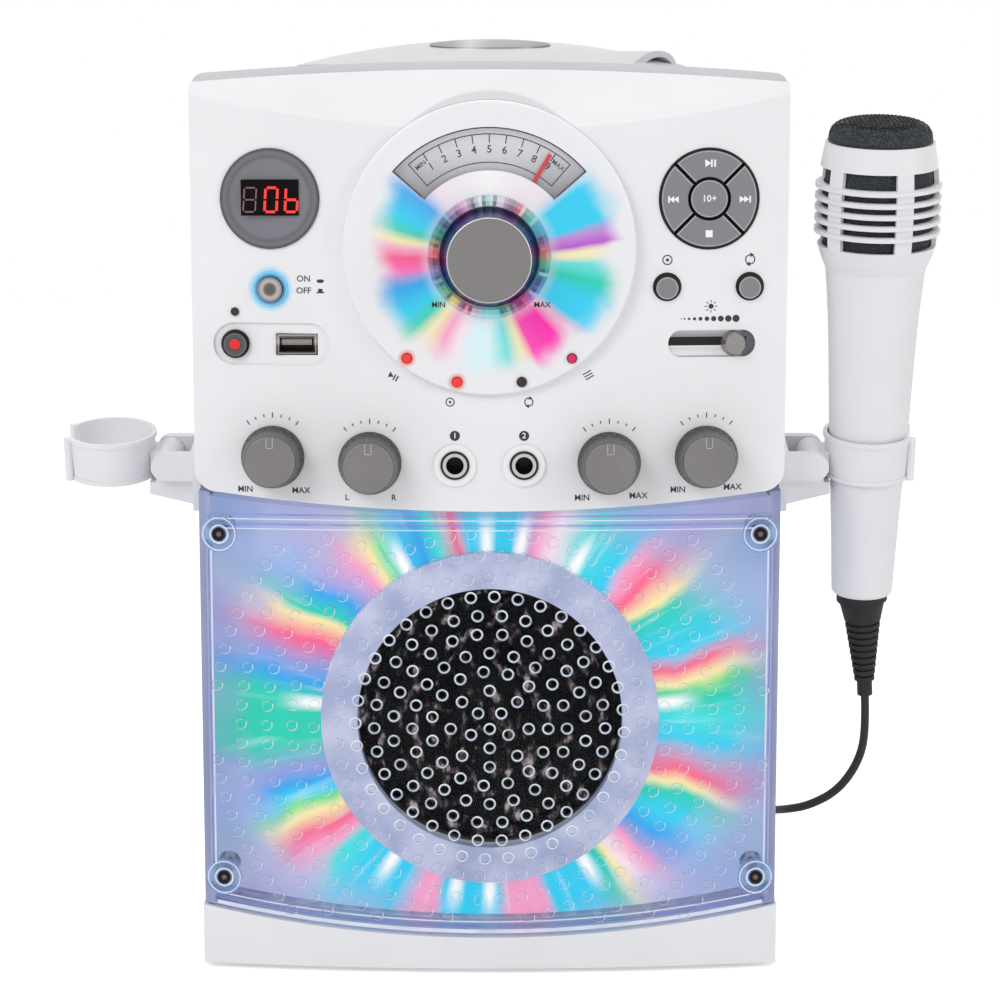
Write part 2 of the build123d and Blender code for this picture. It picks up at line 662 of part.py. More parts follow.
with BuildPart() as rear_cabinet:
    with BuildSketch(Plane.XY.offset(PLINTH_TOP_SIDE_Z)):
        with Locations((0, (SEAM_Y + BACK_Y) / 2)):
            Rectangle(BODY_WIDTH, BACK_Y - SEAM_Y)
    extrude(amount=DECK_SEAT_Z - PLINTH_TOP_SIDE_Z)
    fillet(rear_cabinet.edges().filter_by(Axis.Z).group_by(Axis.Y)[-1], CORNER_ROUND)
    with BuildSketch(Plane.XY.offset(PLINTH_TOP_SIDE_Z)):
        with Locations((0, (SEAM_Y + BACK_Y - WALL) / 2)):
            Rectangle(BODY_WIDTH - 2 * WALL, BACK_Y - WALL - SEAM_Y)
    extrude(amount=DECK_SEAT_Z - PLINTH_TOP_SIDE_Z, mode=Mode.SUBTRACT)
    # Vents, the socket plate's opening and the holes of the rear screws.
    with BuildSketch(front_plane(BACK_Y)):
        with Locations((0, VENT_Z)):
            with GridLocations(VENT_SIZE[0] + 2 * VENT_PITCH, VENT_PITCH, 2, VENT_ROWS):
                SlotOverall(*VENT_SIZE)
        with Locations((0, SOCKET_Z)):
            Rectangle(*SOCKET_OPENING)
        with Locations(*REAR_SCREWS):
            Circle(SCREW_SHANK_RADIUS + 0.1)
    extrude(amount=WALL, mode=Mode.SUBTRACT)
rear_cabinet.part.label = "rear_cabinet"
export_step(rear_cabinet.part, "parts/rear_cabinet.step")

with BuildPart() as plinth_dip:
    with BuildSketch(front_plane(SEAM_Y)):
        with BuildLine():
            ThreePointArc((-HALF_WIDTH, PLINTH_TOP_SIDE_Z), (0, PLINTH_TOP_MIDDLE_Z),
                          (HALF_WIDTH, PLINTH_TOP_SIDE_Z))
            Line((HALF_WIDTH, PLINTH_TOP_SIDE_Z), (-HALF_WIDTH, PLINTH_TOP_SIDE_Z))
        make_face()
    extrude(amount=BODY_DEPTH)
    add(bowed_block(FRONT_Y - WALL, RECESS_Y, HALF_WIDTH, PLINTH_BOTTOM_Z,
                    PLINTH_TOP_SIDE_Z, True), mode=Mode.INTERSECT)

with BuildPart() as base_plinth:
    add(bowed_block(FRONT_Y, BACK_Y, HALF_WIDTH, PLINTH_BOTTOM_Z, PLINTH_TOP_SIDE_Z))
    fillet(base_plinth.edges().filter_by(Axis.Z).group_by(Axis.Y)[-1], CORNER_ROUND)
    # The front is lower in the middle, under the speaker window.
    add(plinth_dip.part, mode=Mode.SUBTRACT)
    add(bowed_block(RECESS_Y + WALL, BACK_Y - WALL, HALF_WIDTH - WALL,
                    PLINTH_BOTTOM_Z + WALL, PLINTH_TOP_SIDE_Z), mode=Mode.SUBTRACT)
    add(bowed_block(FRONT_Y + WALL, RECESS_Y + 2 * WALL, HALF_WIDTH - WALL,
                    PLINTH_BOTTOM_Z + WALL, PLINTH_TOP_MIDDLE_Z - WALL, True),
        mode=Mode.SUBTRACT)
    with BuildSketch(Plane.XY.offset(PLINTH_BOTTOM_Z)):
        with GridLocations(2 * FOOT_X, 2 * FOOT_Y, 2, 2):
            Circle(FOOT_RADIUS)
    extrude(amount=1.0, mode=Mode.SUBTRACT)
base_plinth.part.label = "base_plinth"
export_step(base_plinth.part, "parts/base_plinth.step")

with BuildPart() as feet:
    with BuildSketch(Plane.XY):
        with GridLocations(2 * FOOT_X, 2 * FOOT_Y, 2, 2):
            Circle(FOOT_RADIUS)
    extrude(amount=PLINTH_BOTTOM_Z + 1.0)
feet.part.label = "feet"
export_step(feet.part, "parts/feet.step")

# ---- Speaker window, light reflector and speaker ----
RIM_Y = FRONT_Y + WINDOW_STEP
with BuildPart() as pane_hollow:
    with BuildSketch(front_plane(SEAM_Y)):
        add(pane_outline(WINDOW_WALL))
    extrude(amount=BODY_DEPTH)
    add(bowed_block(FRONT_Y + WINDOW_WALL, RECESS_Y, HALF_WIDTH, 0, PANEL_CROWN_Z, True),
        mode=Mode.INTERSECT)

with BuildPart() as window_hollow:
    with BuildSketch(front_plane(SEAM_Y)):
        add(window_outline(WINDOW_WALL))
    extrude(amount=BODY_DEPTH)
    add(bowed_block(RIM_Y + WINDOW_WALL, RECESS_Y, HALF_WIDTH, 0, PANEL_CROWN_Z, True),
        mode=Mode.INTERSECT)
    add(pane_hollow.part)

with BuildPart() as window_posts:
    with BuildSketch(front_plane(SEAM_Y)):
        with Locations(*window_screw_places()):
            Circle(WINDOW_POST_RADIUS)
    extrude(amount=BODY_DEPTH)
    add(bowed_block(RIM_Y, RECESS_Y, HALF_WIDTH, 0, PANEL_CROWN_Z, True), mode=Mode.INTERSECT)

with BuildPart() as raised_pane:
    with BuildSketch(front_plane(SEAM_Y)):
        add(pane_outline(0))
    extrude(amount=BODY_DEPTH)
    add(bowed_block(FRONT_Y, RIM_Y + WINDOW_WALL, HALF_WIDTH, 0, PANEL_CROWN_Z, True),
        mode=Mode.INTERSECT)

with BuildPart() as lower_window:
    with BuildSketch(front_plane(SEAM_Y)):
        add(window_outline(0))
    extrude(amount=BODY_DEPTH)
    add(bowed_block(RIM_Y, RECESS_Y, HALF_WIDTH, 0, PANEL_CROWN_Z, True), mode=Mode.INTERSECT)
    add(raised_pane.part)
    add(window_hollow.part, mode=Mode.SUBTRACT)
    add(window_posts.part)
    with BuildSketch(front_plane(RECESS_Y + bow(HALF_WIDTH))):
        with Locations(*window_screw_places()):
            Circle(SCREW_SHANK_RADIUS + 0.1)
        with Locations(*ring_places()):
            Circle(HOLE_RADIUS)
    extrude(amount=BODY_DEPTH, mode=Mode.SUBTRACT)
lower_window.part.label = "lower_window"
export_step(lower_window.part, "parts/lower_window.step")

with BuildPart() as reflector:
    with BuildSketch(front_plane(SEAM_Y)):
        add(window_outline(WINDOW_WALL + FIT_GAP))
        with Locations((0, SPEAKER_Z)):
            Circle(SPEAKER_HOLE_RADIUS, mode=Mode.SUBTRACT)
        with Locations(*window_screw_places()):
            Circle(WINDOW_POST_RADIUS + FIT_GAP, mode=Mode.SUBTRACT)
    extrude(amount=BODY_DEPTH)
    add(bowed_block(RECESS_Y - REFLECTOR_THICKNESS, RECESS_Y, HALF_WIDTH, 0, PANEL_CROWN_Z,
                    True), mode=Mode.INTERSECT)
reflector.part.label = "reflector"
export_step(reflector.part, "parts/reflector.step")

REFLECTOR_Y = RECESS_Y - REFLECTOR_THICKNESS
RING_FRONT_Y = REFLECTOR_Y - RING_HEIGHT
with BuildPart() as speaker_ring:
    with BuildSketch(front_plane(REFLECTOR_Y + bow(RING_OUTER_RADIUS))):
        with Locations((0, SPEAKER_Z)):
            Circle(RING_OUTER_RADIUS)
            Circle(RING_INNER_RADIUS, mode=Mode.SUBTRACT)
    extrude(amount=RING_HEIGHT + bow(RING_OUTER_RADIUS))
    with BuildSketch(front_plane(REFLECTOR_Y + bow(RING_OUTER_RADIUS))):
        with Locations((0, SPEAKER_Z)):
            Circle(RING_OUTER_RADIUS - RING_SKIN)
            Circle(RING_INNER_RADIUS + RING_SKIN, mode=Mode.SUBTRACT)
    extrude(amount=RING_HEIGHT + bow(RING_OUTER_RADIUS) - RING_SKIN, mode=Mode.SUBTRACT)
    add(bowed_block(REFLECTOR_Y, SEAM_Y, HALF_WIDTH, 0, PANEL_CROWN_Z), mode=Mode.SUBTRACT)
speaker_ring.part.label = "speaker_ring"
export_step(speaker_ring.part, "parts/speaker_ring.step")

# One board of lights sits in the speaker ring, the other behind the dial.
DIAL_BOARD_Y = DIAL_Y + DIAL_SKIRT - 2.0
DIAL_LIGHTS = 12
RING_LIGHTS = 24
with BuildPart() as light_boards:
    with BuildSketch(front_plane(REFLECTOR_Y)):
        with Locations((0, SPEAKER_Z)):
            Circle(RING_OUTER_RADIUS - RING_SKIN - FIT_GAP)
            Circle(RING_INNER_RADIUS + RING_SKIN + FIT_GAP, mode=Mode.SUBTRACT)
    extrude(amount=1.0)
    with BuildSketch(front_plane(REFLECTOR_Y - 1.0)):
        with Locations((0, SPEAKER_Z)):
            with PolarLocations((RING_INNER_RADIUS + RING_OUTER_RADIUS) / 2, RING_LIGHTS):
                Rectangle(3.0, 3.0)
    extrude(amount=1.2)
    with BuildSketch(front_plane(DIAL_BOARD_Y)):
        with Locations((0, DIAL_Z)):
            Circle(STATUS_LIGHT_DISTANCE - LIGHT_RADIUS - FIT_GAP)
        with Locations((0, VOLUME_Z)):
            Circle(GAUGE_INNER_RADIUS - 4.0, mode=Mode.SUBTRACT)
    extrude(amount=1.0)
    with BuildSketch(front_plane(DIAL_BOARD_Y - 1.0)):
        with Locations((0, VOLUME_Z)):
            with PolarLocations(GAUGE_INNER_RADIUS, DIAL_LIGHTS):
                Rectangle(3.0, 3.0)
    extrude(amount=1.2)
light_boards.part.label = "light_boards"
export_step(light_boards.part, "parts/light_boards.step")

MAGNET_Y = SPEAKER_SEAT_Y + SPEAKER_FLANGE + SPEAKER_DEPTH
with BuildPart() as speaker_frame:
    # Flange and basket in one revolved profile, then the basket's windows.
    with BuildSketch(Plane.XY.offset(SPEAKER_Z)):
        with BuildLine():
            Polyline(
                (SPEAKER_HOLE_RADIUS, SPEAKER_SEAT_Y), (SPEAKER_FLANGE_RADIUS, SPEAKER_SEAT_Y),
                (SPEAKER_FLANGE_RADIUS, SPEAKER_SEAT_Y + SPEAKER_FLANGE),
                (SPEAKER_HOLE_RADIUS + 1, SPEAKER_SEAT_Y + SPEAKER_FLANGE),
                (MAGNET_RADIUS, MAGNET_Y), (CONE_THROAT_RADIUS, MAGNET_Y),
                (CONE_THROAT_RADIUS, MAGNET_Y - SPEAKER_FLANGE),
                (MAGNET_RADIUS - 2, MAGNET_Y - SPEAKER_FLANGE),
                (SPEAKER_HOLE_RADIUS - 1, SPEAKER_SEAT_Y + SPEAKER_FLANGE),
                close=True)
        make_face()
    revolve(axis=Axis((0, 0, SPEAKER_Z), (0, 1, 0)))
    with BuildSketch(front_plane(SPEAKER_SEAT_Y + SPEAKER_FLANGE + 2)):
        with Locations((0, SPEAKER_Z)):
            with PolarLocations((MAGNET_RADIUS + SPEAKER_HOLE_RADIUS) / 2 + 2, 6):
                SlotOverall(24.0, 11.0, rotation=90)
    extrude(amount=-SPEAKER_DEPTH, mode=Mode.SUBTRACT)
    with BuildSketch(front_plane(MAGNET_Y)):
        with Locations((0, SPEAKER_Z)):
            Circle(MAGNET_RADIUS)
    extrude(amount=-MAGNET_LENGTH)
speaker_frame.part.label = "speaker_frame"
export_step(speaker_frame.part, "parts/speaker_frame.step")

CONE_BACK_Y = MAGNET_Y - SPEAKER_FLANGE - 0.5
with BuildPart() as speaker_cone:
    # Roll surround, paper cone and dust cap.
    with BuildSketch(Plane.XY.offset(SPEAKER_Z)):
        with BuildLine():
            Polyline((0, CONE_BACK_Y - 6), (CONE_THROAT_RADIUS, CONE_BACK_Y - 3),
                     (SPEAKER_HOLE_RADIUS - 7, SPEAKER_SEAT_Y + 1.2))
            ThreePointArc((SPEAKER_HOLE_RADIUS - 7, SPEAKER_SEAT_Y + 1.2),
                          (SPEAKER_HOLE_RADIUS - 4, SPEAKER_SEAT_Y - 1.5),
                          (SPEAKER_HOLE_RADIUS - 1.2, SPEAKER_SEAT_Y + 1.2))
            Polyline((SPEAKER_HOLE_RADIUS - 1.2, SPEAKER_SEAT_Y + 1.2),
                     (SPEAKER_HOLE_RADIUS - 1.2, SPEAKER_SEAT_Y + 1.2 + CONE_SKIN),
                     (SPEAKER_HOLE_RADIUS - 7, SPEAKER_SEAT_Y + 1.2 + CONE_SKIN),
                     (CONE_THROAT_RADIUS, CONE_BACK_Y), (0, CONE_BACK_Y), (0, CONE_BACK_Y - 6))
        make_face()
    revolve(axis=Axis((0, 0, SPEAKER_Z), (0, 1, 0)))
speaker_cone.part.label = "speaker_cone"
export_step(speaker_cone.part, "parts/speaker_cone.step")

# ---- Dial: lit disc, gauge, crystal ring, volume knob and its gears ----
GEAR_SPAN = GEAR_MODULE * (SMALL_TEETH + LARGE_TEETH) / 2
GEAR_ROOM = 0.5
NEEDLE_FRONT_Y = DIAL_BACK_Y + 0.4
NEEDLE_GEAR_Y = NEEDLE_FRONT_Y + NEEDLE_THICKNESS
VOLUME_GEAR_Y = NEEDLE_GEAR_Y + GEAR_WIDTH + GEAR_ROOM
GEAR_END_Y = VOLUME_GEAR_Y + GEAR_WIDTH
IDLER_Z = VOLUME_Z - GEAR_SPAN
VOLUME_POT_Y = GEAR_END_Y + 1.5

with BuildPart() as dial_disc:
    with BuildSketch(front_plane(DIAL_Y + DIAL_SKIRT)):
        with Locations((0, DIAL_Z)):
            Circle(DIAL_RADIUS)
    extrude(amount=DIAL_SKIRT)
    fillet(dial_disc.edges().group_by(Axis.Y)[0], 1.0)
    with BuildSketch(front_plane(DIAL_Y + DIAL_SKIRT)):
        with Locations((0, DIAL_Z)):
            Circle(DIAL_RADIUS - DIAL_SKIRT_WALL)
    extrude(amount=DIAL_SKIRT - DIAL_SKIN, mode=Mode.SUBTRACT)
    # Gauge window and the volume knob's bearing hole.
    with BuildSketch(front_plane(DIAL_BACK_Y)):
        with Locations((0, VOLUME_Z)):
            add(gauge_outline(0))
            Circle(VOLUME_SHAFT_RADIUS + RUN_CLEARANCE)
        with Locations(*STATUS_LIGHTS):
            Circle(LIGHT_RADIUS + 0.1)
    extrude(amount=DIAL_SKIN, mode=Mode.SUBTRACT)
    # Pin for the idler gear.
    with BuildSketch(front_plane(GEAR_END_Y + GEAR_ROOM)):
        with Locations((0, IDLER_Z)):
            Circle(IDLER_PIN_RADIUS)
    extrude(amount=GEAR_END_Y + GEAR_ROOM - DIAL_BACK_Y)
dial_disc.part.label = "dial_disc"
export_step(dial_disc.part, "parts/dial_disc.step")

GAUGE_FACE_Y = NEEDLE_GEAR_Y + 0.5
with BuildPart() as gauge_face:
    with BuildSketch(front_plane(GAUGE_FACE_Y + 1.0)):
        with Locations((0, VOLUME_Z)):
            add(gauge_outline(GAUGE_FACE_MARGIN))
    extrude(amount=1.0)
    # Two standing ends reach the back of the dial beside the needle's sweep.
    with BuildSketch(front_plane(GAUGE_FACE_Y)):
        with Locations((0, VOLUME_Z)):
            add(gauge_outline(GAUGE_FACE_MARGIN))
            Rectangle(2 * GAUGE_OUTER_RADIUS * math.sin(math.radians(GAUGE_HALF_ANGLE + 1.4)),
                      3 * GAUGE_OUTER_RADIUS, mode=Mode.SUBTRACT)
    extrude(amount=GAUGE_FACE_Y - DIAL_BACK_Y)
gauge_face.part.label = "gauge_face"
export_step(gauge_face.part, "parts/gauge_face.step")

with BuildPart() as gauge_lens:
    with BuildSketch(front_plane(DIAL_BACK_Y - 0.3)):
        with Locations((0, VOLUME_Z)):
            add(gauge_outline(-0.1))
    extrude(amount=1.2)
gauge_lens.part.label = "gauge_lens"
export_step(gauge_lens.part, "parts/gauge_lens.step")

with BuildPart() as gauge_needle:
    needle_angle = math.radians(90 - NEEDLE_REST_ANGLE)
    needle_middle = NEEDLE_TIP_RADIUS / 2
    with BuildSketch(front_plane(NEEDLE_GEAR_Y)):
        with Locations((0, VOLUME_Z)):
            Circle(VOLUME_SHAFT_RADIUS + 3.0)
            with Locations((needle_middle * math.cos(needle_angle),
                            needle_middle * math.sin(needle_angle))):
                Rectangle(NEEDLE_TIP_RADIUS, NEEDLE_WIDTH, rotation=90 - NEEDLE_REST_ANGLE)
    extrude(amount=NEEDLE_THICKNESS)
    with BuildSketch(front_plane(NEEDLE_GEAR_Y + GEAR_WIDTH)):
        with Locations((0, VOLUME_Z)):
            add(gear_outline(LARGE_TEETH, -90))
    extrude(amount=GEAR_WIDTH)
    with BuildSketch(front_plane(NEEDLE_GEAR_Y + GEAR_WIDTH)):
        with Locations((0, VOLUME_Z)):
            Circle(VOLUME_SHAFT_RADIUS + RUN_CLEARANCE)
    extrude(amount=GEAR_WIDTH + NEEDLE_THICKNESS, mode=Mode.SUBTRACT)
gauge_needle.part.label = "gauge_needle"
export_step(gauge_needle.part, "parts/gauge_needle.step")

with BuildPart() as idler_gear:
    with BuildSketch(front_plane(NEEDLE_GEAR_Y + GEAR_WIDTH)):
        with Locations((0, IDLER_Z)):
            add(gear_outline(SMALL_TEETH, 90 + 180 / SMALL_TEETH))
    extrude(amount=GEAR_WIDTH)
    with BuildSketch(front_plane(GEAR_END_Y)):
        with Locations((0, IDLER_Z)):
            Circle(IDLER_PIN_RADIUS + 1.5)
    extrude(amount=GEAR_END_Y - NEEDLE_GEAR_Y - GEAR_WIDTH)
    with BuildSketch(front_plane(GEAR_END_Y)):
        with Locations((0, IDLER_Z)):
            add(gear_outline(LARGE_TEETH, 90 + 180 / LARGE_TEETH))
    extrude(amount=GEAR_WIDTH)
    with BuildSketch(front_plane(GEAR_END_Y)):
        with Locations((0, IDLER_Z)):
            Circle(IDLER_PIN_RADIUS + RUN_CLEARANCE)
    extrude(amount=GEAR_END_Y - NEEDLE_GEAR_Y, mode=Mode.SUBTRACT)
idler_gear.part.label = "idler_gear"
export_step(idler_gear.part, "parts/idler_gear.step")

with BuildPart() as crystal_ring:
    with BuildSketch(front_plane(DIAL_Y)):
        with Locations((0, VOLUME_Z)):
            RegularPolygon(CRYSTAL_OUTER_RADIUS, CRYSTAL_FACETS)
    with BuildSketch(front_plane(DIAL_Y - CRYSTAL_HEIGHT)):
        with Locations((0, VOLUME_Z)):
            RegularPolygon(CRYSTAL_OUTER_RADIUS - 2.0, CRYSTAL_FACETS)
    loft()
    with BuildSketch(front_plane(DIAL_Y)):
        with Locations((0, VOLUME_Z)):
            Circle(CRYSTAL_INNER_RADIUS)
    extrude(amount=CRYSTAL_HEIGHT, mode=Mode.SUBTRACT)
crystal_ring.part.label = "crystal_ring"
export_step(crystal_ring.part, "parts/crystal_ring.step")

VOLUME_BASE_Y = DIAL_Y - 0.5
with BuildPart() as volume_knob:
    with BuildSketch(front_plane(VOLUME_BASE_Y)):
        with Locations((0, VOLUME_Z)):
            Circle(VOLUME_BASE_RADIUS)
    with BuildSketch(front_plane(VOLUME_BASE_Y - VOLUME_HEIGHT)):
        with Locations((0, VOLUME_Z)):
            Circle(VOLUME_FACE_RADIUS)
    loft()
    fillet(volume_knob.edges().group_by(Axis.Y)[0], 0.6)
    with BuildSketch(front_plane(VOLUME_POT_Y)):
        with Locations((0, VOLUME_Z)):
            Circle(VOLUME_SHAFT_RADIUS)
    extrude(amount=VOLUME_POT_Y - VOLUME_BASE_Y)
    with BuildSketch(front_plane(GEAR_END_Y)):
        with Locations((0, VOLUME_Z)):
            add(gear_outline(SMALL_TEETH, -90))
    extrude(amount=GEAR_WIDTH)
volume_knob.part.label = "volume_knob"
export_step(volume_knob.part, "parts/volume_knob.step")

# ---- Display lens, light guides, sockets and boards of the control panel ----
with BuildPart() as display_lens:
    with BuildSketch(front_plane(BOARD_Y)):
        with Locations((-CLUSTER_X, CLUSTER_Z)):
            Circle(LENS_RADIUS)
    extrude(amount=BOARD_DEPTH + WALL)
    add(flush_slab(LENS_PROUD, LENS_THICKNESS), mode=Mode.INTERSECT)
display_lens.part.label = "display_lens"
export_step(display_lens.part, "parts/display_lens.step")

with BuildPart() as indicator_lights:
    with BuildSketch(front_plane(BOARD_Y)):
        with Locations(RECORD_LIGHT):
            Circle(RECORD_LIGHT_RADIUS)
        with Locations(POWER_BUTTON):
            Circle(POWER_RING_RADIUS)
            Circle(POWER_BUTTON_RADIUS + 0.15, mode=Mode.SUBTRACT)
    extrude(amount=BOARD_DEPTH + WALL)
    add(flush_slab(LIGHT_PROUD, 2 * BOARD_DEPTH), mode=Mode.INTERSECT)
    with BuildSketch(front_plane(BOARD_Y)):
        with Locations(*STATUS_LIGHTS):
            Circle(LIGHT_RADIUS)
    extrude(amount=BOARD_Y - DIAL_Y + LIGHT_PROUD)
indicator_lights.part.label = "indicator_lights"
export_step(indicator_lights.part, "parts/indicator_lights.step")

with BuildPart() as usb_socket:
    with BuildSketch(front_plane(BOARD_Y)):
        with Locations(USB_CENTRE):
            Rectangle(*USB_FRAME)
    extrude(amount=BOARD_Y - USB_SEAT_Y)
    with BuildSketch(front_plane(USB_SEAT_Y)):
        with Locations(USB_CENTRE):
            Rectangle(*USB_SHELL)
    extrude(amount=0.6)
    with BuildSketch(front_plane(BOARD_Y - 1.0)):
        with Locations(USB_CENTRE):
            Rectangle(*USB_MOUTH)
            with Locations((0, 0.9)):
                Rectangle(*USB_TONGUE, mode=Mode.SUBTRACT)
    extrude(amount=BOARD_DEPTH, mode=Mode.SUBTRACT)
    with BuildSketch(front_plane(BOARD_Y)):
        with Locations(USB_CENTRE):
            Rectangle(USB_FRAME[0], 0.4)
    extrude(amount=0.5)
usb_socket.part.label = "usb_socket"
export_step(usb_socket.part, "parts/usb_socket.step")

JACK_FRONT_Y = PANEL_Y - 1.6
with BuildPart() as mic_jacks:
    with BuildSketch(front_plane(JACK_FRONT_Y + JACK_LENGTH)):
        with Locations(*JACK_PLACES):
            Circle(JACK_BARREL_RADIUS)
    extrude(amount=JACK_LENGTH)
    # Nut outside the panel.
    with BuildSketch(front_plane(PANEL_Y - 0.05)):
        with Locations(*JACK_PLACES):
            Circle(JACK_NUT_RADIUS)
    extrude(amount=0.9)
    with BuildSketch(front_plane(JACK_FRONT_Y + JACK_LENGTH - 1.0)):
        with Locations(*JACK_PLACES):
            Circle(JACK_BORE_RADIUS)
    extrude(amount=JACK_LENGTH, mode=Mode.SUBTRACT)
mic_jacks.part.label = "mic_jacks"
export_step(mic_jacks.part, "parts/mic_jacks.step")

# Each key presses a switch on the board; a switch ends where its key's stem begins.
SWITCH_SIZE = 5.0
SWITCH_HEIGHT = 2.0
KEY_STEPS = {"up_key": 90, "down_key": 270, "left_key": 180, "right_key": 0}
KEY_STEM_RADIUS = (KEY_INNER_RADIUS + KEY_OUTER_RADIUS) / 2
KEY_STEM_PLACES = [(CLUSTER_X, CLUSTER_Z)] + [
    (CLUSTER_X + KEY_STEM_RADIUS * math.cos(math.radians(a)),
     CLUSTER_Z + KEY_STEM_RADIUS * math.sin(math.radians(a))) for a in KEY_STEPS.values()]
DISPLAY_FRONT_Y = panel_y(CLUSTER_X + DISPLAY_SIZE[0] / 2) - LENS_PROUD + LENS_THICKNESS + 0.1
with BuildPart() as control_board:
    with BuildSketch(front_plane(BOARD_Y + BOARD_THICKNESS)):
        with Locations((0, sum(BOARD_Z) / 2)):
            Rectangle(2 * BOARD_HALF_WIDTH, BOARD_Z[1] - BOARD_Z[0])
        with Locations(*JACK_PLACES):
            Circle(JACK_BARREL_RADIUS + 0.2, mode=Mode.SUBTRACT)
    extrude(amount=BOARD_THICKNESS)
    with BuildSketch(front_plane(BOARD_Y)):
        with Locations((-CLUSTER_X, CLUSTER_Z)):
            Rectangle(*DISPLAY_SIZE)
    extrude(amount=BOARD_Y - DISPLAY_FRONT_Y)
    with BuildSketch(front_plane(BOARD_Y)):
        with Locations(*KEY_STEM_PLACES, *MODE_BUTTONS.values(), RECORD_BUTTON, POWER_BUTTON):
            Rectangle(SWITCH_SIZE, SWITCH_SIZE)
    extrude(amount=SWITCH_HEIGHT)
control_board.part.label = "control_board"
export_step(control_board.part, "parts/control_board.step")


def knob_base_y(x):
    """Depth of a small knob's base, clear of the bowed panel under it."""
    return panel_y(max(abs(x) - KNOB_BASE_RADIUS, 0)) - KNOB_GAP


POT_Y = BOARD_Y - POT_THICKNESS
with BuildPart() as potentiometers:
    with BuildSketch(front_plane(BOARD_Y)):
        with Locations(*KNOB_PLACES):
            Rectangle(*POT_BODY)
        with Locations((0, VOLUME_Z)):
            Rectangle(*POT_BODY)
    extrude(amount=POT_THICKNESS)
    # The light slider's body lies behind its slot.
    with BuildSketch(SLIDER_PLANE.offset(-WALL - 1.2)):
        with Locations(((SLIDER_SLOT[0] - SLIDER_POCKET[0]) / 2, 0.6)):
            Rectangle(SLIDER_SLOT[0] + 2, SLIDER_POCKET[1] - 2)
    extrude(amount=-4.0)
potentiometers.part.label = "potentiometers"
export_step(potentiometers.part, "parts/potentiometers.step")

# ---- Moving controls ----
for knob_name, (knob_x, knob_z) in KNOBS.items():
    base_y = knob_base_y(knob_x)
    with BuildPart() as small_knob:
        with BuildSketch(front_plane(base_y)):
            with Locations((knob_x, knob_z)):
                Circle(KNOB_BASE_RADIUS)
        with BuildSketch(front_plane(base_y - KNOB_HEIGHT)):
            with Locations((knob_x, knob_z)):
                Circle(KNOB_FACE_RADIUS)
        loft()
        fillet(small_knob.edges().group_by(Axis.Y)[0], 0.8)
        # Grip notches start above a smooth foot.
        with BuildSketch(front_plane(base_y - 2.0)):
            with Locations((knob_x, knob_z)):
                with PolarLocations(KNOB_BASE_RADIUS, KNOB_NOTCHES):
                    Circle(KNOB_NOTCH_RADIUS)
        extrude(amount=KNOB_HEIGHT, mode=Mode.SUBTRACT)
        with BuildSketch(front_plane(POT_Y - 0.1)):
            with Locations((knob_x, knob_z)):
                Circle(KNOB_SHAFT_RADIUS)
        extrude(amount=POT_Y - 0.1 - base_y)
    small_knob.part.label = knob_name
    export_step(small_knob.part, f"parts/{knob_name}.step")

SWITCH_TIP_Y = BOARD_Y - SWITCH_HEIGHT

for key_name, key_angle in KEY_STEPS.items():
    stem = (CLUSTER_X + KEY_STEM_RADIUS * math.cos(math.radians(key_angle)),
            CLUSTER_Z + KEY_STEM_RADIUS * math.sin(math.radians(key_angle)))
    with BuildPart() as key:
        with BuildSketch(front_plane(BOARD_Y)):
            with Locations((CLUSTER_X, CLUSTER_Z)):
                add(key_face(key_angle))
        extrude(amount=BOARD_DEPTH + WALL)
        add(flush_slab(KEY_PROUD, KEY_THICKNESS), mode=Mode.INTERSECT)
        with BuildSketch(front_plane(SWITCH_TIP_Y - KEY_TRAVEL - 0.2)):
            with Locations(stem):
                Circle(1.6)
        extrude(until=Until.NEXT)
    key.part.label = key_name
    export_step(key.part, f"parts/{key_name}.step")

ROUND_KEYS = {"skip_key": ((CLUSTER_X, CLUSTER_Z), KEY_CENTRE_RADIUS, KEY_PROUD, KEY_THICKNESS,
                           KEY_TRAVEL),
              "record_button": (RECORD_BUTTON, ROUND_BUTTON_RADIUS, BUTTON_PROUD, BUTTON_LENGTH,
                                BUTTON_TRAVEL),
              "power_button": (POWER_BUTTON, POWER_BUTTON_RADIUS, POWER_PROUD, POWER_LENGTH,
                               POWER_PROUD - 0.4)}
for mode_name, mode_place in MODE_BUTTONS.items():
    ROUND_KEYS[mode_name] = (mode_place, ROUND_BUTTON_RADIUS, BUTTON_PROUD, BUTTON_LENGTH,
                             BUTTON_TRAVEL)
for key_name, (place, radius, proud, length, travel) in ROUND_KEYS.items():
    with BuildPart() as round_key:
        with BuildSketch(front_plane(BOARD_Y)):
            with Locations(place):
                Circle(radius)
        extrude(amount=BOARD_DEPTH + WALL)
        add(flush_slab(proud, length), mode=Mode.INTERSECT)
        with BuildSketch(front_plane(SWITCH_TIP_Y - travel - 0.2)):
            with Locations(place):
                Circle(1.6)
        extrude(until=Until.NEXT)
    round_key.part.label = key_name
    export_step(round_key.part, f"parts/{key_name}.step")

SLIDER_FLOOR = -SLIDER_POCKET_DEPTH
with BuildPart() as light_slider:
    with BuildSketch(SLIDER_PLANE.offset(SLIDER_FLOOR + 0.2)):
        with Locations((SLIDER_REST_OFFSET, 0)):
            Circle(SLIDER_CAP_RADIUS)
    with BuildSketch(SLIDER_PLANE.offset(SLIDER_FLOOR + 0.2 + SLIDER_CAP_HEIGHT)):
        with Locations((SLIDER_REST_OFFSET, 0)):
            Circle(SLIDER_CAP_TOP_RADIUS)
    loft()
    with BuildSketch(SLIDER_PLANE.offset(-WALL - 1.1)):
        with Locations((SLIDER_REST_OFFSET, 0.6)):
            Rectangle(*SLIDER_STEM)
    extrude(amount=WALL)
light_slider.part.label = "light_slider"
export_step(light_slider.part, "parts/light_slider.step")

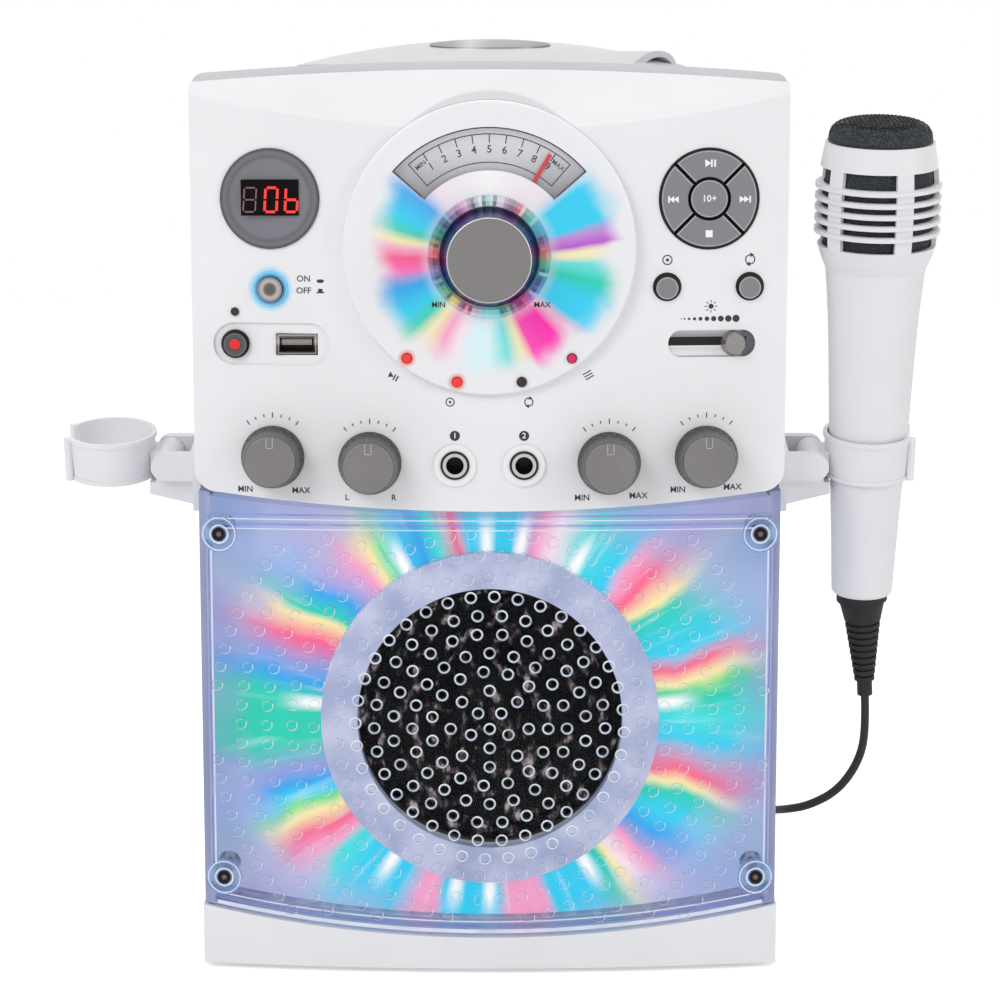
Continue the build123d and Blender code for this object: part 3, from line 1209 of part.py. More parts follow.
# ---- Top deck with the disc well ----
HINGE_OUTER_X = HINGE_ARM_X + HINGE_ARM_WIDTH / 2
CHEEK_X = HINGE_OUTER_X + HINGE_CHEEK_GAP
CHEEK_WIDTH = HINGE_PIN_LENGTH + 3.0
CHASSIS_TOP_Z = CHASSIS_Z + CHASSIS_THICKNESS
FRONT_POSTS = [(x, CHASSIS_Y[0] + 5) for x in (-CHASSIS_HALF_WIDTH + 5, CHASSIS_HALF_WIDTH - 5)]
REAR_POSTS = [(x, CHASSIS_Y[1] - 5) for x in (-CHASSIS_HALF_WIDTH + 5, CHASSIS_HALF_WIDTH - 5)]


def deck_outline(inset):
    """Crowned section of the deck, seen from the front."""
    half = HALF_WIDTH - inset
    top = DECK_CROWN_Z - inset
    with BuildSketch() as outline:
        with BuildLine():
            ThreePointArc((-half, crown(half, top)), (0, top), (half, crown(half, top)))
            Polyline((half, crown(half, top)), (half, DECK_SEAT_Z), (-half, DECK_SEAT_Z),
                     (-half, crown(half, top)))
        make_face()
    return outline.sketch


with BuildPart() as deck_block:
    with BuildSketch(front_plane(BACK_Y)):
        add(deck_outline(0))
    extrude(amount=BACK_Y - DECK_FRONT_Y)
    fillet(deck_block.edges().filter_by(Axis.Y).group_by(Axis.Z)[-1], DECK_ROUND)
    fillet(deck_block.edges().filter_by(Axis.Z).group_by(Axis.Y)[-1], CORNER_ROUND)

with BuildPart() as deck_shell:
    add(deck_block.part)
    with BuildSketch(front_plane(BACK_Y - DECK_SKIN)):
        add(deck_outline(DECK_SKIN))
    extrude(amount=BACK_Y - DECK_FRONT_Y - 2 * DECK_SKIN, mode=Mode.SUBTRACT)

with BuildPart() as top_deck:
    with BuildSketch(Plane.XY.offset(DECK_SEAT_Z)):
        with Locations((0, WELL_Y)):
            Circle(LID_RADIUS + LID_GAP + DECK_SKIN)
    extrude(amount=DECK_CROWN_Z - DECK_SEAT_Z)
    with BuildSketch(Plane.XY.offset(DECK_SEAT_Z)):
        with Locations((0, (HINGE_Y + BACK_Y) / 2)):
            Rectangle(2 * (CHEEK_X + CHEEK_WIDTH), BACK_Y - HINGE_Y + 12)
    extrude(amount=DECK_CROWN_Z - DECK_SEAT_Z)
    add(deck_block.part, mode=Mode.INTERSECT)
    add(deck_shell.part)
    # Underside of the lid's ledge is hollow outside the well.
    with BuildSketch(Plane.XY.offset(DECK_SEAT_Z)):
        with Locations((0, WELL_Y)):
            Circle(LID_RADIUS + LID_GAP + DECK_SKIN)
    extrude(amount=LID_LEDGE_Z - DECK_SKIN - DECK_SEAT_Z, mode=Mode.SUBTRACT)
    with BuildSketch(Plane.XY.offset(WELL_FLOOR_Z - DECK_SKIN)):
        with Locations((0, WELL_Y)):
            Circle(WELL_RADIUS + DECK_SKIN)
    extrude(amount=LID_LEDGE_Z - WELL_FLOOR_Z)
    # Posts down to the mechanism.
    with BuildSketch(Plane.XY.offset(CHASSIS_TOP_Z)):
        with Locations(*FRONT_POSTS):
            Circle(CHASSIS_POST_RADIUS)
    extrude(amount=LID_LEDGE_Z - 1 - CHASSIS_TOP_Z)
    with BuildSketch(Plane.XY.offset(CHASSIS_TOP_Z)):
        with Locations(*REAR_POSTS):
            Circle(CHASSIS_POST_RADIUS)
    extrude(amount=WELL_FLOOR_Z - 1 - CHASSIS_TOP_Z)
    # Rebate for the lid, the well, and the openings in its floor.
    with BuildSketch(Plane.XY.offset(LID_LEDGE_Z)):
        with Locations((0, WELL_Y)):
            Circle(LID_RADIUS + LID_GAP)
    extrude(amount=DECK_CROWN_Z - LID_LEDGE_Z, mode=Mode.SUBTRACT)
    with BuildSketch(Plane.XY.offset(WELL_FLOOR_Z)):
        with Locations((0, WELL_Y)):
            Circle(WELL_RADIUS)
    extrude(amount=LID_LEDGE_Z - WELL_FLOOR_Z, mode=Mode.SUBTRACT)
    with BuildSketch(Plane.XY.offset(WELL_FLOOR_Z - DECK_SKIN)):
        with Locations((0, WELL_Y)):
            Circle(TURNTABLE_HOLE_RADIUS)
        with Locations((0, WELL_Y - LASER_SLOT_FORWARD)):
            Rectangle(*LASER_SLOT)
    extrude(amount=DECK_SKIN, mode=Mode.SUBTRACT)
    # Trough and pin holes of the lid's hinge.
    with BuildSketch(Plane.XY.offset(LID_LEDGE_Z - ARM_TROUGH)):
        with Locations((0, HINGE_Y - 12)):
            Rectangle(2 * CHEEK_X, 10.0)
    extrude(amount=DECK_CROWN_Z - DECK_SEAT_Z, mode=Mode.SUBTRACT)
    with BuildSketch(Plane.XY.offset(DECK_SEAT_Z + DECK_SKIN)):
        with Locations((0, HINGE_Y - 2)):
            Rectangle(2 * CHEEK_X, 15.0)
    extrude(amount=DECK_CROWN_Z - DECK_SEAT_Z, mode=Mode.SUBTRACT)
    with BuildSketch(Plane.YZ):
        with Locations((HINGE_Y, HINGE_Z)):
            Circle(HINGE_PIN_RADIUS + RUN_CLEARANCE)
    extrude(amount=CHEEK_X + HINGE_PIN_LENGTH, both=True, mode=Mode.SUBTRACT)
top_deck.part.label = "top_deck"
export_step(top_deck.part, "parts/top_deck.step")

# ---- Lid ----


def dome_block(inset, radius):
    """Solid under the lid's domed surface, moved down by an inset."""
    crest = LID_CREST_Z - inset
    sphere = (LID_RADIUS**2 + (LID_CREST_Z - LID_EDGE_Z)**2) / (2 * (LID_CREST_Z - LID_EDGE_Z))
    edge = crest - sphere + math.sqrt(sphere**2 - radius**2)
    middle = crest - sphere + math.sqrt(sphere**2 - (radius / 2)**2)
    with BuildPart() as dome:
        with BuildSketch(Plane.XZ.offset(-WELL_Y)):
            with BuildLine():
                Polyline((0, crest), (0, LID_SKIRT_Z), (radius, LID_SKIRT_Z), (radius, edge))
                ThreePointArc((radius, edge), (radius / 2, middle), (0, crest))
            make_face()
        revolve(axis=Axis((0, WELL_Y, 0), (0, 0, 1)))
    return dome.part


LIFT_ANGLE = -math.asin(math.sqrt(1 - (LIFT_X / LID_RADIUS)**2))
LIFT_OUT = Vector(math.cos(LIFT_ANGLE), math.sin(LIFT_ANGLE), 0)
LIFT_DISTANCE = math.sqrt((LID_RADIUS - 0.4)**2 - (LIFT_WIDTH / 2)**2)
LIFT_PLANE = Plane(origin=Vector(0, WELL_Y, LID_SKIRT_Z) + LIFT_OUT * LIFT_DISTANCE,
                   x_dir=(-LIFT_OUT.Y, LIFT_OUT.X, 0), z_dir=LIFT_OUT)
with BuildPart() as lid:
    add(dome_block(0, LID_RADIUS))
    # Arched finger lift on the front right of the rim.
    with BuildSketch(LIFT_PLANE):
        for outline, kind in ((LIFT_OUTLINE, Mode.ADD), (LIFT_OPENING, Mode.SUBTRACT)):
            points = [(LIFT_WIDTH * s, (LIFT_TOP_Z - LID_SKIRT_Z) * h) for s, h in outline]
            with BuildLine():
                Spline(*points)
                Line(points[-1], points[0])
            make_face(mode=kind)
    extrude(amount=-LIFT_LENGTH)
    add(dome_block(LID_SKIN, LID_RADIUS - LID_SKIN), mode=Mode.SUBTRACT)
    # Window with a ledge for its lens.
    with BuildSketch(Plane.XY.offset(LID_SKIRT_Z)):
        with Locations((0, WELL_Y - LID_WINDOW_FORWARD)):
            Ellipse(LID_WINDOW_SIZE[0] / 2, LID_WINDOW_SIZE[1] / 2)
    extrude(amount=LID_CREST_Z - LID_SKIRT_Z, mode=Mode.SUBTRACT)
    # Arms and pins of the hinge.
    for side in (-1, 1):
        with BuildSketch(Plane.YZ.offset(side * HINGE_ARM_X - HINGE_ARM_WIDTH / 2)):
            with BuildLine():
                Polyline((HINGE_Y, HINGE_Z - 2.8), (WELL_Y + LID_RADIUS - 11, LID_SKIRT_Z),
                         (WELL_Y + LID_RADIUS - 11, LID_EDGE_Z - 0.5), (HINGE_Y, HINGE_Z + 2.8))
                ThreePointArc((HINGE_Y, HINGE_Z + 2.8), (HINGE_Y + 2.8, HINGE_Z),
                              (HINGE_Y, HINGE_Z - 2.8))
            make_face()
        extrude(amount=HINGE_ARM_WIDTH)
        with BuildSketch(Plane.YZ.offset(side * HINGE_OUTER_X)):
            with Locations((HINGE_Y, HINGE_Z)):
                Circle(HINGE_PIN_RADIUS)
        extrude(amount=side * HINGE_PIN_LENGTH)
lid.part.label = "lid"
export_step(lid.part, "parts/lid.step")

with BuildPart() as lid_window:
    with BuildSketch(Plane.XY.offset(LID_SKIRT_Z)):
        with Locations((0, WELL_Y - LID_WINDOW_FORWARD)):
            Ellipse(LID_WINDOW_SIZE[0] / 2 - 0.1, LID_WINDOW_SIZE[1] / 2 - 0.1)
    extrude(amount=LID_CREST_Z - LID_SKIRT_Z)
    add(dome_block(-0.5, LID_RADIUS), mode=Mode.INTERSECT)
    add(dome_block(LID_SKIN, LID_RADIUS), mode=Mode.SUBTRACT)
lid_window.part.label = "lid_window"
export_step(lid_window.part, "parts/lid_window.step")

CLAMP_Z = TURNTABLE_TOP_Z + 2.9
with BuildPart() as disc_clamp:
    with BuildSketch(Plane.XY.offset(CLAMP_Z)):
        with Locations((0, WELL_Y)):
            Circle(CLAMP_RADIUS)
    extrude(amount=4.0)
    with BuildSketch(Plane.XY.offset(CLAMP_Z)):
        with Locations((0, WELL_Y)):
            Circle(4.0)
    extrude(amount=LID_CREST_Z - LID_SKIN - 0.1 - CLAMP_Z)
    fillet(disc_clamp.edges().group_by(Axis.Z)[0], 1.0)
disc_clamp.part.label = "disc_clamp"
export_step(disc_clamp.part, "parts/disc_clamp.step")

# ---- Disc mechanism ----
ROD_BLOCK_Y = (CHASSIS_Y[0] + 4, WELL_Y - SLED_REST_FORWARD + SLED_LENGTH / 2 + 4)
with BuildPart() as mechanism_chassis:
    with BuildSketch(Plane.XY.offset(CHASSIS_Z)):
        with Locations((0, sum(CHASSIS_Y) / 2)):
            Rectangle(2 * CHASSIS_HALF_WIDTH, CHASSIS_Y[1] - CHASSIS_Y[0])
    extrude(amount=CHASSIS_THICKNESS)
    with BuildSketch(Plane.XY.offset(CHASSIS_TOP_Z)):
        for rod_y in ROD_BLOCK_Y:
            with Locations((-ROD_X, rod_y), (ROD_X, rod_y)):
                Rectangle(6.0, 4.0)
    extrude(amount=ROD_Z + 2.5 - CHASSIS_TOP_Z)
    # Guide rods between the end blocks.
    with BuildSketch(front_plane(ROD_BLOCK_Y[1])):
        with Locations((-ROD_X, ROD_Z), (ROD_X, ROD_Z)):
            Circle(ROD_RADIUS)
    extrude(amount=ROD_BLOCK_Y[1] - ROD_BLOCK_Y[0])
mechanism_chassis.part.label = "mechanism_chassis"
export_step(mechanism_chassis.part, "parts/mechanism_chassis.step")

with BuildPart() as spindle_motor:
    with BuildSketch(Plane.XY.offset(CHASSIS_TOP_Z)):
        with Locations((0, WELL_Y)):
            Circle(MOTOR_RADIUS)
    extrude(amount=MOTOR_HEIGHT)
    with BuildSketch(Plane.XY.offset(CHASSIS_TOP_Z + MOTOR_HEIGHT)):
        with Locations((0, WELL_Y)):
            Circle(MOTOR_SHAFT_RADIUS)
    extrude(amount=TURNTABLE_TOP_Z - 1.5 - CHASSIS_TOP_Z - MOTOR_HEIGHT)
spindle_motor.part.label = "spindle_motor"
export_step(spindle_motor.part, "parts/spindle_motor.step")

with BuildPart() as turntable:
    with BuildSketch(Plane.XY.offset(CHASSIS_TOP_Z + MOTOR_HEIGHT + 0.5)):
        with Locations((0, WELL_Y)):
            Circle(5.0)
    extrude(amount=TURNTABLE_TOP_Z - 1 - CHASSIS_TOP_Z - MOTOR_HEIGHT - 0.5)
    with BuildSketch(Plane.XY.offset(TURNTABLE_TOP_Z - 2.0)):
        with Locations((0, WELL_Y)):
            Circle(TURNTABLE_RADIUS)
    extrude(amount=2.0)
    # Boss that centres the disc's bore.
    with BuildSketch(Plane.XY.offset(TURNTABLE_TOP_Z)):
        with Locations((0, WELL_Y)):
            Circle(DISC_BORE_RADIUS - 0.1)
    extrude(amount=DISC_THICKNESS + 1.0)
    chamfer(turntable.edges().group_by(Axis.Z)[-1], 0.8)
    with BuildSketch(Plane.XY.offset(CHASSIS_TOP_Z + MOTOR_HEIGHT)):
        with Locations((0, WELL_Y)):
            Circle(MOTOR_SHAFT_RADIUS + RUN_CLEARANCE)
    extrude(amount=TURNTABLE_TOP_Z - 1 - CHASSIS_TOP_Z - MOTOR_HEIGHT, mode=Mode.SUBTRACT)
turntable.part.label = "turntable"
export_step(turntable.part, "parts/turntable.step")

SLED_Y = WELL_Y - SLED_REST_FORWARD
with BuildPart() as laser_sled:
    with BuildSketch(Plane.XY.offset(ROD_Z - SLED_HEIGHT / 2)):
        with Locations((0, SLED_Y)):
            Rectangle(SLED_WIDTH, SLED_LENGTH)
    extrude(amount=SLED_HEIGHT)
    with BuildSketch(Plane.XY.offset(ROD_Z + SLED_HEIGHT / 2)):
        with Locations((0, SLED_Y)):
            Circle(LASER_LENS_RADIUS)
    extrude(amount=4.0)
    with BuildSketch(front_plane(SLED_Y + SLED_LENGTH / 2)):
        with Locations((-ROD_X, ROD_Z), (ROD_X, ROD_Z)):
            Circle(ROD_RADIUS + RUN_CLEARANCE)
    extrude(amount=SLED_LENGTH, mode=Mode.SUBTRACT)
laser_sled.part.label = "laser_sled"
export_step(laser_sled.part, "parts/laser_sled.step")

# ---- Inside and rear ----
FLOOR_Z = PLINTH_BOTTOM_Z + WALL
AMP_SIZE = (130.0, 70.0)
AMP_Y = 45.0
AMP_STANDOFF = 6.0
AMP_POST_INSET = 10.0
AMP_POST_RADIUS = 3.0
AMP_EDGE = 4.0
CAPACITOR_RADIUS = 8.0
CAPACITOR_HEIGHT = 24.0
CAPACITOR_SPREAD = 20.0
TRANSFORMER_SIZE = (42.0, 36.0, 34.0)
HEAT_SINK_SIZE = (50.0, 12.0, 30.0)
with BuildPart() as amplifier_board:
    with BuildSketch(Plane.XY.offset(FLOOR_Z + AMP_STANDOFF)):
        with Locations((0, AMP_Y)):
            Rectangle(*AMP_SIZE)
    extrude(amount=BOARD_THICKNESS)
    with BuildSketch(Plane.XY.offset(FLOOR_Z)):
        with Locations((0, AMP_Y)):
            with GridLocations(AMP_SIZE[0] - AMP_POST_INSET, AMP_SIZE[1] - AMP_POST_INSET, 2, 2):
                Circle(AMP_POST_RADIUS)
    extrude(amount=AMP_STANDOFF)
    amp_top_z = FLOOR_Z + AMP_STANDOFF + BOARD_THICKNESS
    with Locations((AMP_SIZE[0] / 2 - TRANSFORMER_SIZE[0] / 2 - AMP_EDGE, AMP_Y, amp_top_z)):
        Box(*TRANSFORMER_SIZE, align=(Align.CENTER, Align.CENTER, Align.MIN))
    with Locations((-AMP_SIZE[0] / 2 + HEAT_SINK_SIZE[0] / 2 + AMP_EDGE, AMP_Y, amp_top_z)):
        Box(*HEAT_SINK_SIZE, align=(Align.CENTER, Align.CENTER, Align.MIN))
    with BuildSketch(Plane.XY.offset(amp_top_z)):
        with Locations((0, AMP_Y + CAPACITOR_SPREAD), (0, AMP_Y - CAPACITOR_SPREAD)):
            Circle(CAPACITOR_RADIUS)
    extrude(amount=CAPACITOR_HEIGHT)
amplifier_board.part.label = "amplifier_board"
export_step(amplifier_board.part, "parts/amplifier_board.step")

SOCKET_PLATE = (SOCKET_OPENING[0] - SOCKET_GAP, SOCKET_OPENING[1] - SOCKET_GAP)
SOCKET_PLATE_Y = BACK_Y - 0.5
RCA_PLACES = [(x, SOCKET_Z) for x in RCA_X]
with BuildPart() as rear_sockets:
    with BuildSketch(front_plane(SOCKET_PLATE_Y)):
        with Locations((0, SOCKET_Z)):
            Rectangle(*SOCKET_PLATE)
    extrude(amount=WALL)
    with BuildSketch(front_plane(SOCKET_PLATE_Y)):
        with Locations(*RCA_PLACES):
            Circle(RCA_RADIUS)
            Circle(RCA_BORE_RADIUS, mode=Mode.SUBTRACT)
    extrude(amount=-RCA_LENGTH)
    # Mains inlet: a rounded well with two pins.
    with BuildSketch(front_plane(SOCKET_PLATE_Y)):
        with Locations((INLET_X, SOCKET_Z)):
            SlotOverall(*INLET_BODY[:2])
    extrude(amount=INLET_BODY[2])
    with BuildSketch(front_plane(SOCKET_PLATE_Y)):
        with Locations((INLET_X, SOCKET_Z)):
            SlotOverall(*INLET_WELL[:2])
    extrude(amount=INLET_WELL[2], mode=Mode.SUBTRACT)
    with BuildSketch(front_plane(BACK_Y - 4)):
        with Locations((INLET_X - INLET_PIN_X, SOCKET_Z), (INLET_X + INLET_PIN_X, SOCKET_Z)):
            Circle(INLET_PIN_RADIUS)
    extrude(amount=INLET_PIN_LENGTH)
rear_sockets.part.label = "rear_sockets"
export_step(rear_sockets.part, "parts/rear_sockets.step")

with BuildPart() as cabinet_screws:
    # Four in the speaker window's corner posts, four through the rear wall.
    for screw_x, screw_z in window_screw_places():
        head_y = RIM_Y + bow(WINDOW_SCREW_X - PANE_NOTCH_RADIUS / 2) - SCREW_HEAD_HEIGHT - 0.3
        with BuildSketch(front_plane(head_y + SCREW_HEAD_HEIGHT)):
            with Locations((screw_x, screw_z)):
                Circle(SCREW_HEAD_RADIUS)
        extrude(amount=SCREW_HEAD_HEIGHT)
        with BuildSketch(front_plane(RECESS_Y + bow(WINDOW_SCREW_X) + 5)):
            with Locations((screw_x, screw_z)):
                Circle(SCREW_SHANK_RADIUS)
        extrude(amount=RECESS_Y + bow(WINDOW_SCREW_X) + 5 - head_y - SCREW_HEAD_HEIGHT)
    with BuildSketch(front_plane(BACK_Y + SCREW_HEAD_HEIGHT)):
        with Locations(*REAR_SCREWS):
            Circle(SCREW_HEAD_RADIUS)
    extrude(amount=SCREW_HEAD_HEIGHT)
    with BuildSketch(front_plane(BACK_Y)):
        with Locations(*REAR_SCREWS):
            Circle(SCREW_SHANK_RADIUS)
    extrude(amount=12.0)
cabinet_screws.part.label = "cabinet_screws"
export_step(cabinet_screws.part, "parts/cabinet_screws.step")

# ---- Microphone holders ----
PIVOT_X = HOLDER_X - PIVOT_FROM_RING
HUB_HALF = HUB_WIDTH / 2


def cross_plane(x, lean, height):
    """Plane across a leaning axis; its local y goes to the back."""
    tilt = math.radians(lean)
    axis = Vector(0, -math.sin(tilt), math.cos(tilt))
    return Plane(origin=Vector(x, HOLDER_Y, HOLDER_Z) + axis * height, x_dir=(1, 0, 0),
                 z_dir=axis)


def holder_ring(side):
    """C-shaped ring with rims, an arm and a hub that turns on the bracket's pin."""
    upright = leaning_plane(side * HOLDER_X, HOLDER_LEAN)
    half = HOLDER_HEIGHT / 2
    top = RING_TOP_BORE + RING_WALL
    bottom = RING_BOTTOM_BORE + RING_WALL
    rim_top = top + RING_FLANGE
    rim_bottom = bottom + RING_FLANGE
    with BuildPart() as ring:
        with BuildSketch(upright):
            with BuildLine():
                Polyline((RING_TOP_BORE, half), (rim_top, half), (rim_top, half - RING_FLANGE_HEIGHT),
                         (top - 0.1, half - RING_FLANGE_HEIGHT),
                         (bottom + 0.1, RING_FLANGE_HEIGHT - half),
                         (rim_bottom, RING_FLANGE_HEIGHT - half), (rim_bottom, -half),
                         (RING_BOTTOM_BORE, -half), close=True)
            make_face()
        revolve(axis=Axis(upright.origin, upright.y_dir))
        # Arm from the ring to the hub, with two stiffening ribs.
        arm_start = -side * PIVOT_FROM_RING
        arm_end = -side * (RING_BOTTOM_BORE + RING_WALL / 2)
        with BuildSketch(upright.offset(-HUB_HALF + 2)):
            with Locations(((arm_start + arm_end) / 2, -PIVOT_DROP)):
                Rectangle(abs(arm_end - arm_start), 2 * HUB_RADIUS - 2.4)
        extrude(amount=HUB_WIDTH - 4)
        with BuildSketch(upright.offset(-HUB_HALF)):
            with Locations((arm_start, -PIVOT_DROP)):
                Circle(HUB_RADIUS)
        extrude(amount=HUB_WIDTH)
        with BuildSketch(upright.offset(-HUB_HALF)):
            with Locations((arm_start, -PIVOT_DROP)):
                Circle(PIVOT_PIN_RADIUS + RUN_CLEARANCE)
        extrude(amount=HUB_WIDTH, mode=Mode.SUBTRACT)
        # Mouth on the outer side, between two rounded lips.
        reach = 2 * RING_TOP_BORE
        rise = reach * math.tan(math.radians(MOUTH_HALF_ANGLE))
        with BuildSketch(cross_plane(side * HOLDER_X, HOLDER_LEAN, -half)):
            with BuildLine():
                Polyline((0, 0), (side * reach, rise), (side * reach, -rise), close=True)
            make_face()
        extrude(amount=HOLDER_HEIGHT, mode=Mode.SUBTRACT)
        lip_distance = RING_TOP_BORE + 1.8
        lip_x = side * lip_distance * math.cos(math.radians(MOUTH_HALF_ANGLE))
        lip_y = lip_distance * math.sin(math.radians(MOUTH_HALF_ANGLE))
        with BuildSketch(cross_plane(side * HOLDER_X, HOLDER_LEAN, -half)):
            with Locations((lip_x, lip_y), (lip_x, -lip_y)):
                Circle(1.5)
        extrude(amount=HOLDER_HEIGHT)
    return ring.part


left_ring = holder_ring(-1)
left_ring.label = "left_holder_ring"
export_step(left_ring, "parts/left_holder_ring.step")
right_ring = holder_ring(1)
right_ring.label = "right_holder_ring"
export_step(right_ring, "parts/right_holder_ring.step")

STOP_GAP = 0.3
STOP_REACH = 6.5
STOP_STEP_X = 4.0
STOP_STEP = 1.8
STOP_TIP_DEPTH = 6.5
with BuildPart() as holder_brackets:
    for side in (-1, 1):
        upright = leaning_plane(side * PIVOT_X, HOLDER_LEAN, PIVOT_DROP)
        wall_x = side * (HALF_WIDTH - PIVOT_X)
        plate_x = side * (HALF_WIDTH + PLATE_THICKNESS - PIVOT_X)
        ear_start = HUB_HALF + EAR_GAP
        with BuildSketch(upright.offset(-PLATE_SIZE[0] / 2)):
            with Locations(((wall_x + plate_x) / 2, -PLATE_SIZE[1] / 2 + HUB_RADIUS + 3)):
                Rectangle(PLATE_THICKNESS, PLATE_SIZE[1])
        extrude(amount=PLATE_SIZE[0])
        for ear_offset in (ear_start, -ear_start - EAR_THICKNESS):
            with BuildSketch(upright.offset(ear_offset)):
                Circle(HUB_RADIUS + 0.2)
                with Locations((plate_x / 2, 0)):
                    Rectangle(abs(plate_x), 2 * HUB_RADIUS + 0.4)
            extrude(amount=EAR_THICKNESS)
        # Wedge under the hub: the arm's stop.
        stop_top = -HUB_RADIUS - STOP_GAP
        stop_bottom = -PLATE_SIZE[1] + HUB_RADIUS + 3
        with BuildSketch(upright.offset(-ear_start)):
            with BuildLine():
                Polyline((plate_x, stop_top), (side * STOP_STEP_X, stop_top),
                         (side * STOP_STEP_X, stop_top - STOP_STEP),
                         (side * STOP_REACH, stop_top - STOP_STEP),
                         (side * STOP_REACH, stop_top - STOP_TIP_DEPTH),
                         (plate_x, stop_bottom), close=True)
            make_face()
        extrude(amount=2 * ear_start)
        # Pin through both ears and the hub.
        with BuildSketch(upright.offset(-ear_start - EAR_THICKNESS)):
            Circle(PIVOT_PIN_RADIUS)
        extrude(amount=2 * (ear_start + EAR_THICKNESS))
holder_brackets.part.label = "holder_brackets"
export_step(holder_brackets.part, "parts/holder_brackets.step")

# ---- Microphone ----
MIC_UPRIGHT = leaning_plane(HOLDER_X, MIC_LEAN)
MIC_AXIS = Axis(MIC_UPRIGHT.origin, MIC_UPRIGHT.y_dir)
with BuildPart() as mic_handle:
    with BuildSketch(MIC_UPRIGHT):
        with BuildLine():
            Polyline((0, HANDLE_PROFILE[0][1]), HANDLE_PROFILE[0])
            Spline(*HANDLE_PROFILE)
            Polyline(HANDLE_PROFILE[-1], (HANDLE_PROFILE[-1][0] - HANDLE_WALL, HANDLE_PROFILE[-1][1]))
            Polyline((HANDLE_PROFILE[-1][0] - HANDLE_WALL, HANDLE_PROFILE[-1][1]),
                     (HANDLE_PROFILE[0][0] - HANDLE_WALL, HANDLE_PROFILE[0][1] + 3),
                     (0, HANDLE_PROFILE[0][1] + 3), (0, HANDLE_PROFILE[0][1]))
        make_face()
    revolve(axis=MIC_AXIS)
    fillet(mic_handle.edges().group_by(Axis.Z)[0], 1.5)
mic_handle.part.label = "mic_handle"
export_step(mic_handle.part, "parts/mic_handle.step")

HEAD_SEAT_Z = HEAD_PROFILE[0][1]
HEAD_GROUP_RISE = 2 * GRILLE_RADIUS * math.tan(math.radians(HEAD_GROUP_ANGLE / 2))
with BuildPart() as head_shell:
    with BuildSketch(MIC_UPRIGHT):
        with BuildLine():
            Polyline(*HEAD_PROFILE, (HEAD_PROFILE[-1][0] - HEAD_WALL, HEAD_PROFILE[-1][1]),
                     *[(r - HEAD_WALL, s) for r, s in reversed(HEAD_PROFILE[1:-1])],
                     (HEAD_PROFILE[0][0] - HEAD_WALL, HEAD_SEAT_Z), close=True)
        make_face()
        for rib in HEAD_RIBS:
            with Locations((HEAD_PROFILE[3][0], rib)):
                Rectangle(2 * HEAD_RIB_PROUD, HEAD_RIB_HEIGHT)
    revolve(axis=MIC_AXIS)
    # Slots in groups round the head.
    for slot_low, slot_high in HEAD_SLOTS:
        with BuildSketch(cross_plane(HOLDER_X, MIC_LEAN, slot_low)):
            with PolarLocations(0, HEAD_GROUPS, start_angle=HEAD_FIRST_GROUP):
                Polygon((0, 0), (2 * GRILLE_RADIUS, -HEAD_GROUP_RISE),
                        (2 * GRILLE_RADIUS, HEAD_GROUP_RISE), align=None)
        extrude(amount=slot_high - slot_low, mode=Mode.SUBTRACT)
head_shell.part.label = "head_shell"
export_step(head_shell.part, "parts/head_shell.step")

GRILLE_BASE = HEAD_PROFILE[-1][1]
GRILLE_SHOULDER = (GRILLE_RADIUS - 1.2, GRILLE_BASE + 4.5)
with BuildPart() as mic_grille:
    with BuildSketch(MIC_UPRIGHT):
        with BuildLine():
            Line((0, GRILLE_BASE), (GRILLE_RADIUS, GRILLE_BASE))
            Spline((GRILLE_RADIUS, GRILLE_BASE), GRILLE_SHOULDER,
                   (GRILLE_RADIUS * 0.62, GRILLE_TOP - 1.8), (0, GRILLE_TOP),
                   tangents=((0, 1), (-1, 0)))
            Line((0, GRILLE_TOP), (0, GRILLE_BASE))
        make_face()
    revolve(axis=MIC_AXIS)
mic_grille.part.label = "mic_grille"
export_step(mic_grille.part, "parts/mic_grille.step")

FOAM_RADIUS = HEAD_PROFILE[-1][0] - HEAD_WALL - 0.3
FOAM_BOTTOM = HEAD_PROFILE[1][1]
CAPSULE_SPAN = (FOAM_BOTTOM + 6, GRILLE_BASE - 8)
with BuildPart() as mic_foam:
    with BuildSketch(MIC_UPRIGHT):
        with BuildLine():
            Polyline((CAPSULE_RADIUS + 0.1, FOAM_BOTTOM), (FOAM_RADIUS, FOAM_BOTTOM),
                     (FOAM_RADIUS, GRILLE_BASE), (0, GRILLE_BASE), (0, CAPSULE_SPAN[1] + 0.1),
                     (CAPSULE_RADIUS + 0.1, CAPSULE_SPAN[1] + 0.1), close=True)
        make_face()
    revolve(axis=MIC_AXIS)
mic_foam.part.label = "mic_foam"
export_step(mic_foam.part, "parts/mic_foam.step")

with BuildPart() as mic_capsule:
    with BuildSketch(MIC_UPRIGHT):
        with BuildLine():
            Polyline((0, CAPSULE_SPAN[0]), (CAPSULE_RADIUS, CAPSULE_SPAN[0]),
                     (CAPSULE_RADIUS, CAPSULE_SPAN[1]), (0, CAPSULE_SPAN[1]), close=True)
        make_face()
    revolve(axis=MIC_AXIS)
mic_capsule.part.label = "mic_capsule"
export_step(mic_capsule.part, "parts/mic_capsule.step")

# ---- Strain relief, cord, coil and plug ----
lean = math.radians(MIC_LEAN)
swing = math.radians(RELIEF_LEAN)
MIC_DOWN = Vector(0, math.sin(lean), -math.cos(lean))
RELIEF_START = MIC_UPRIGHT.origin - MIC_DOWN * HANDLE_PROFILE[0][1]
RELIEF_DOWN = MIC_DOWN * math.cos(swing) + Vector(math.sin(swing), 0, 0)
RELIEF_LENGTH = (RELIEF_FLANGE[1] + RELIEF_CONE[2] + RELIEF_RIDGES * RELIEF_RIDGE_PITCH
                 + RELIEF_TIP[1])

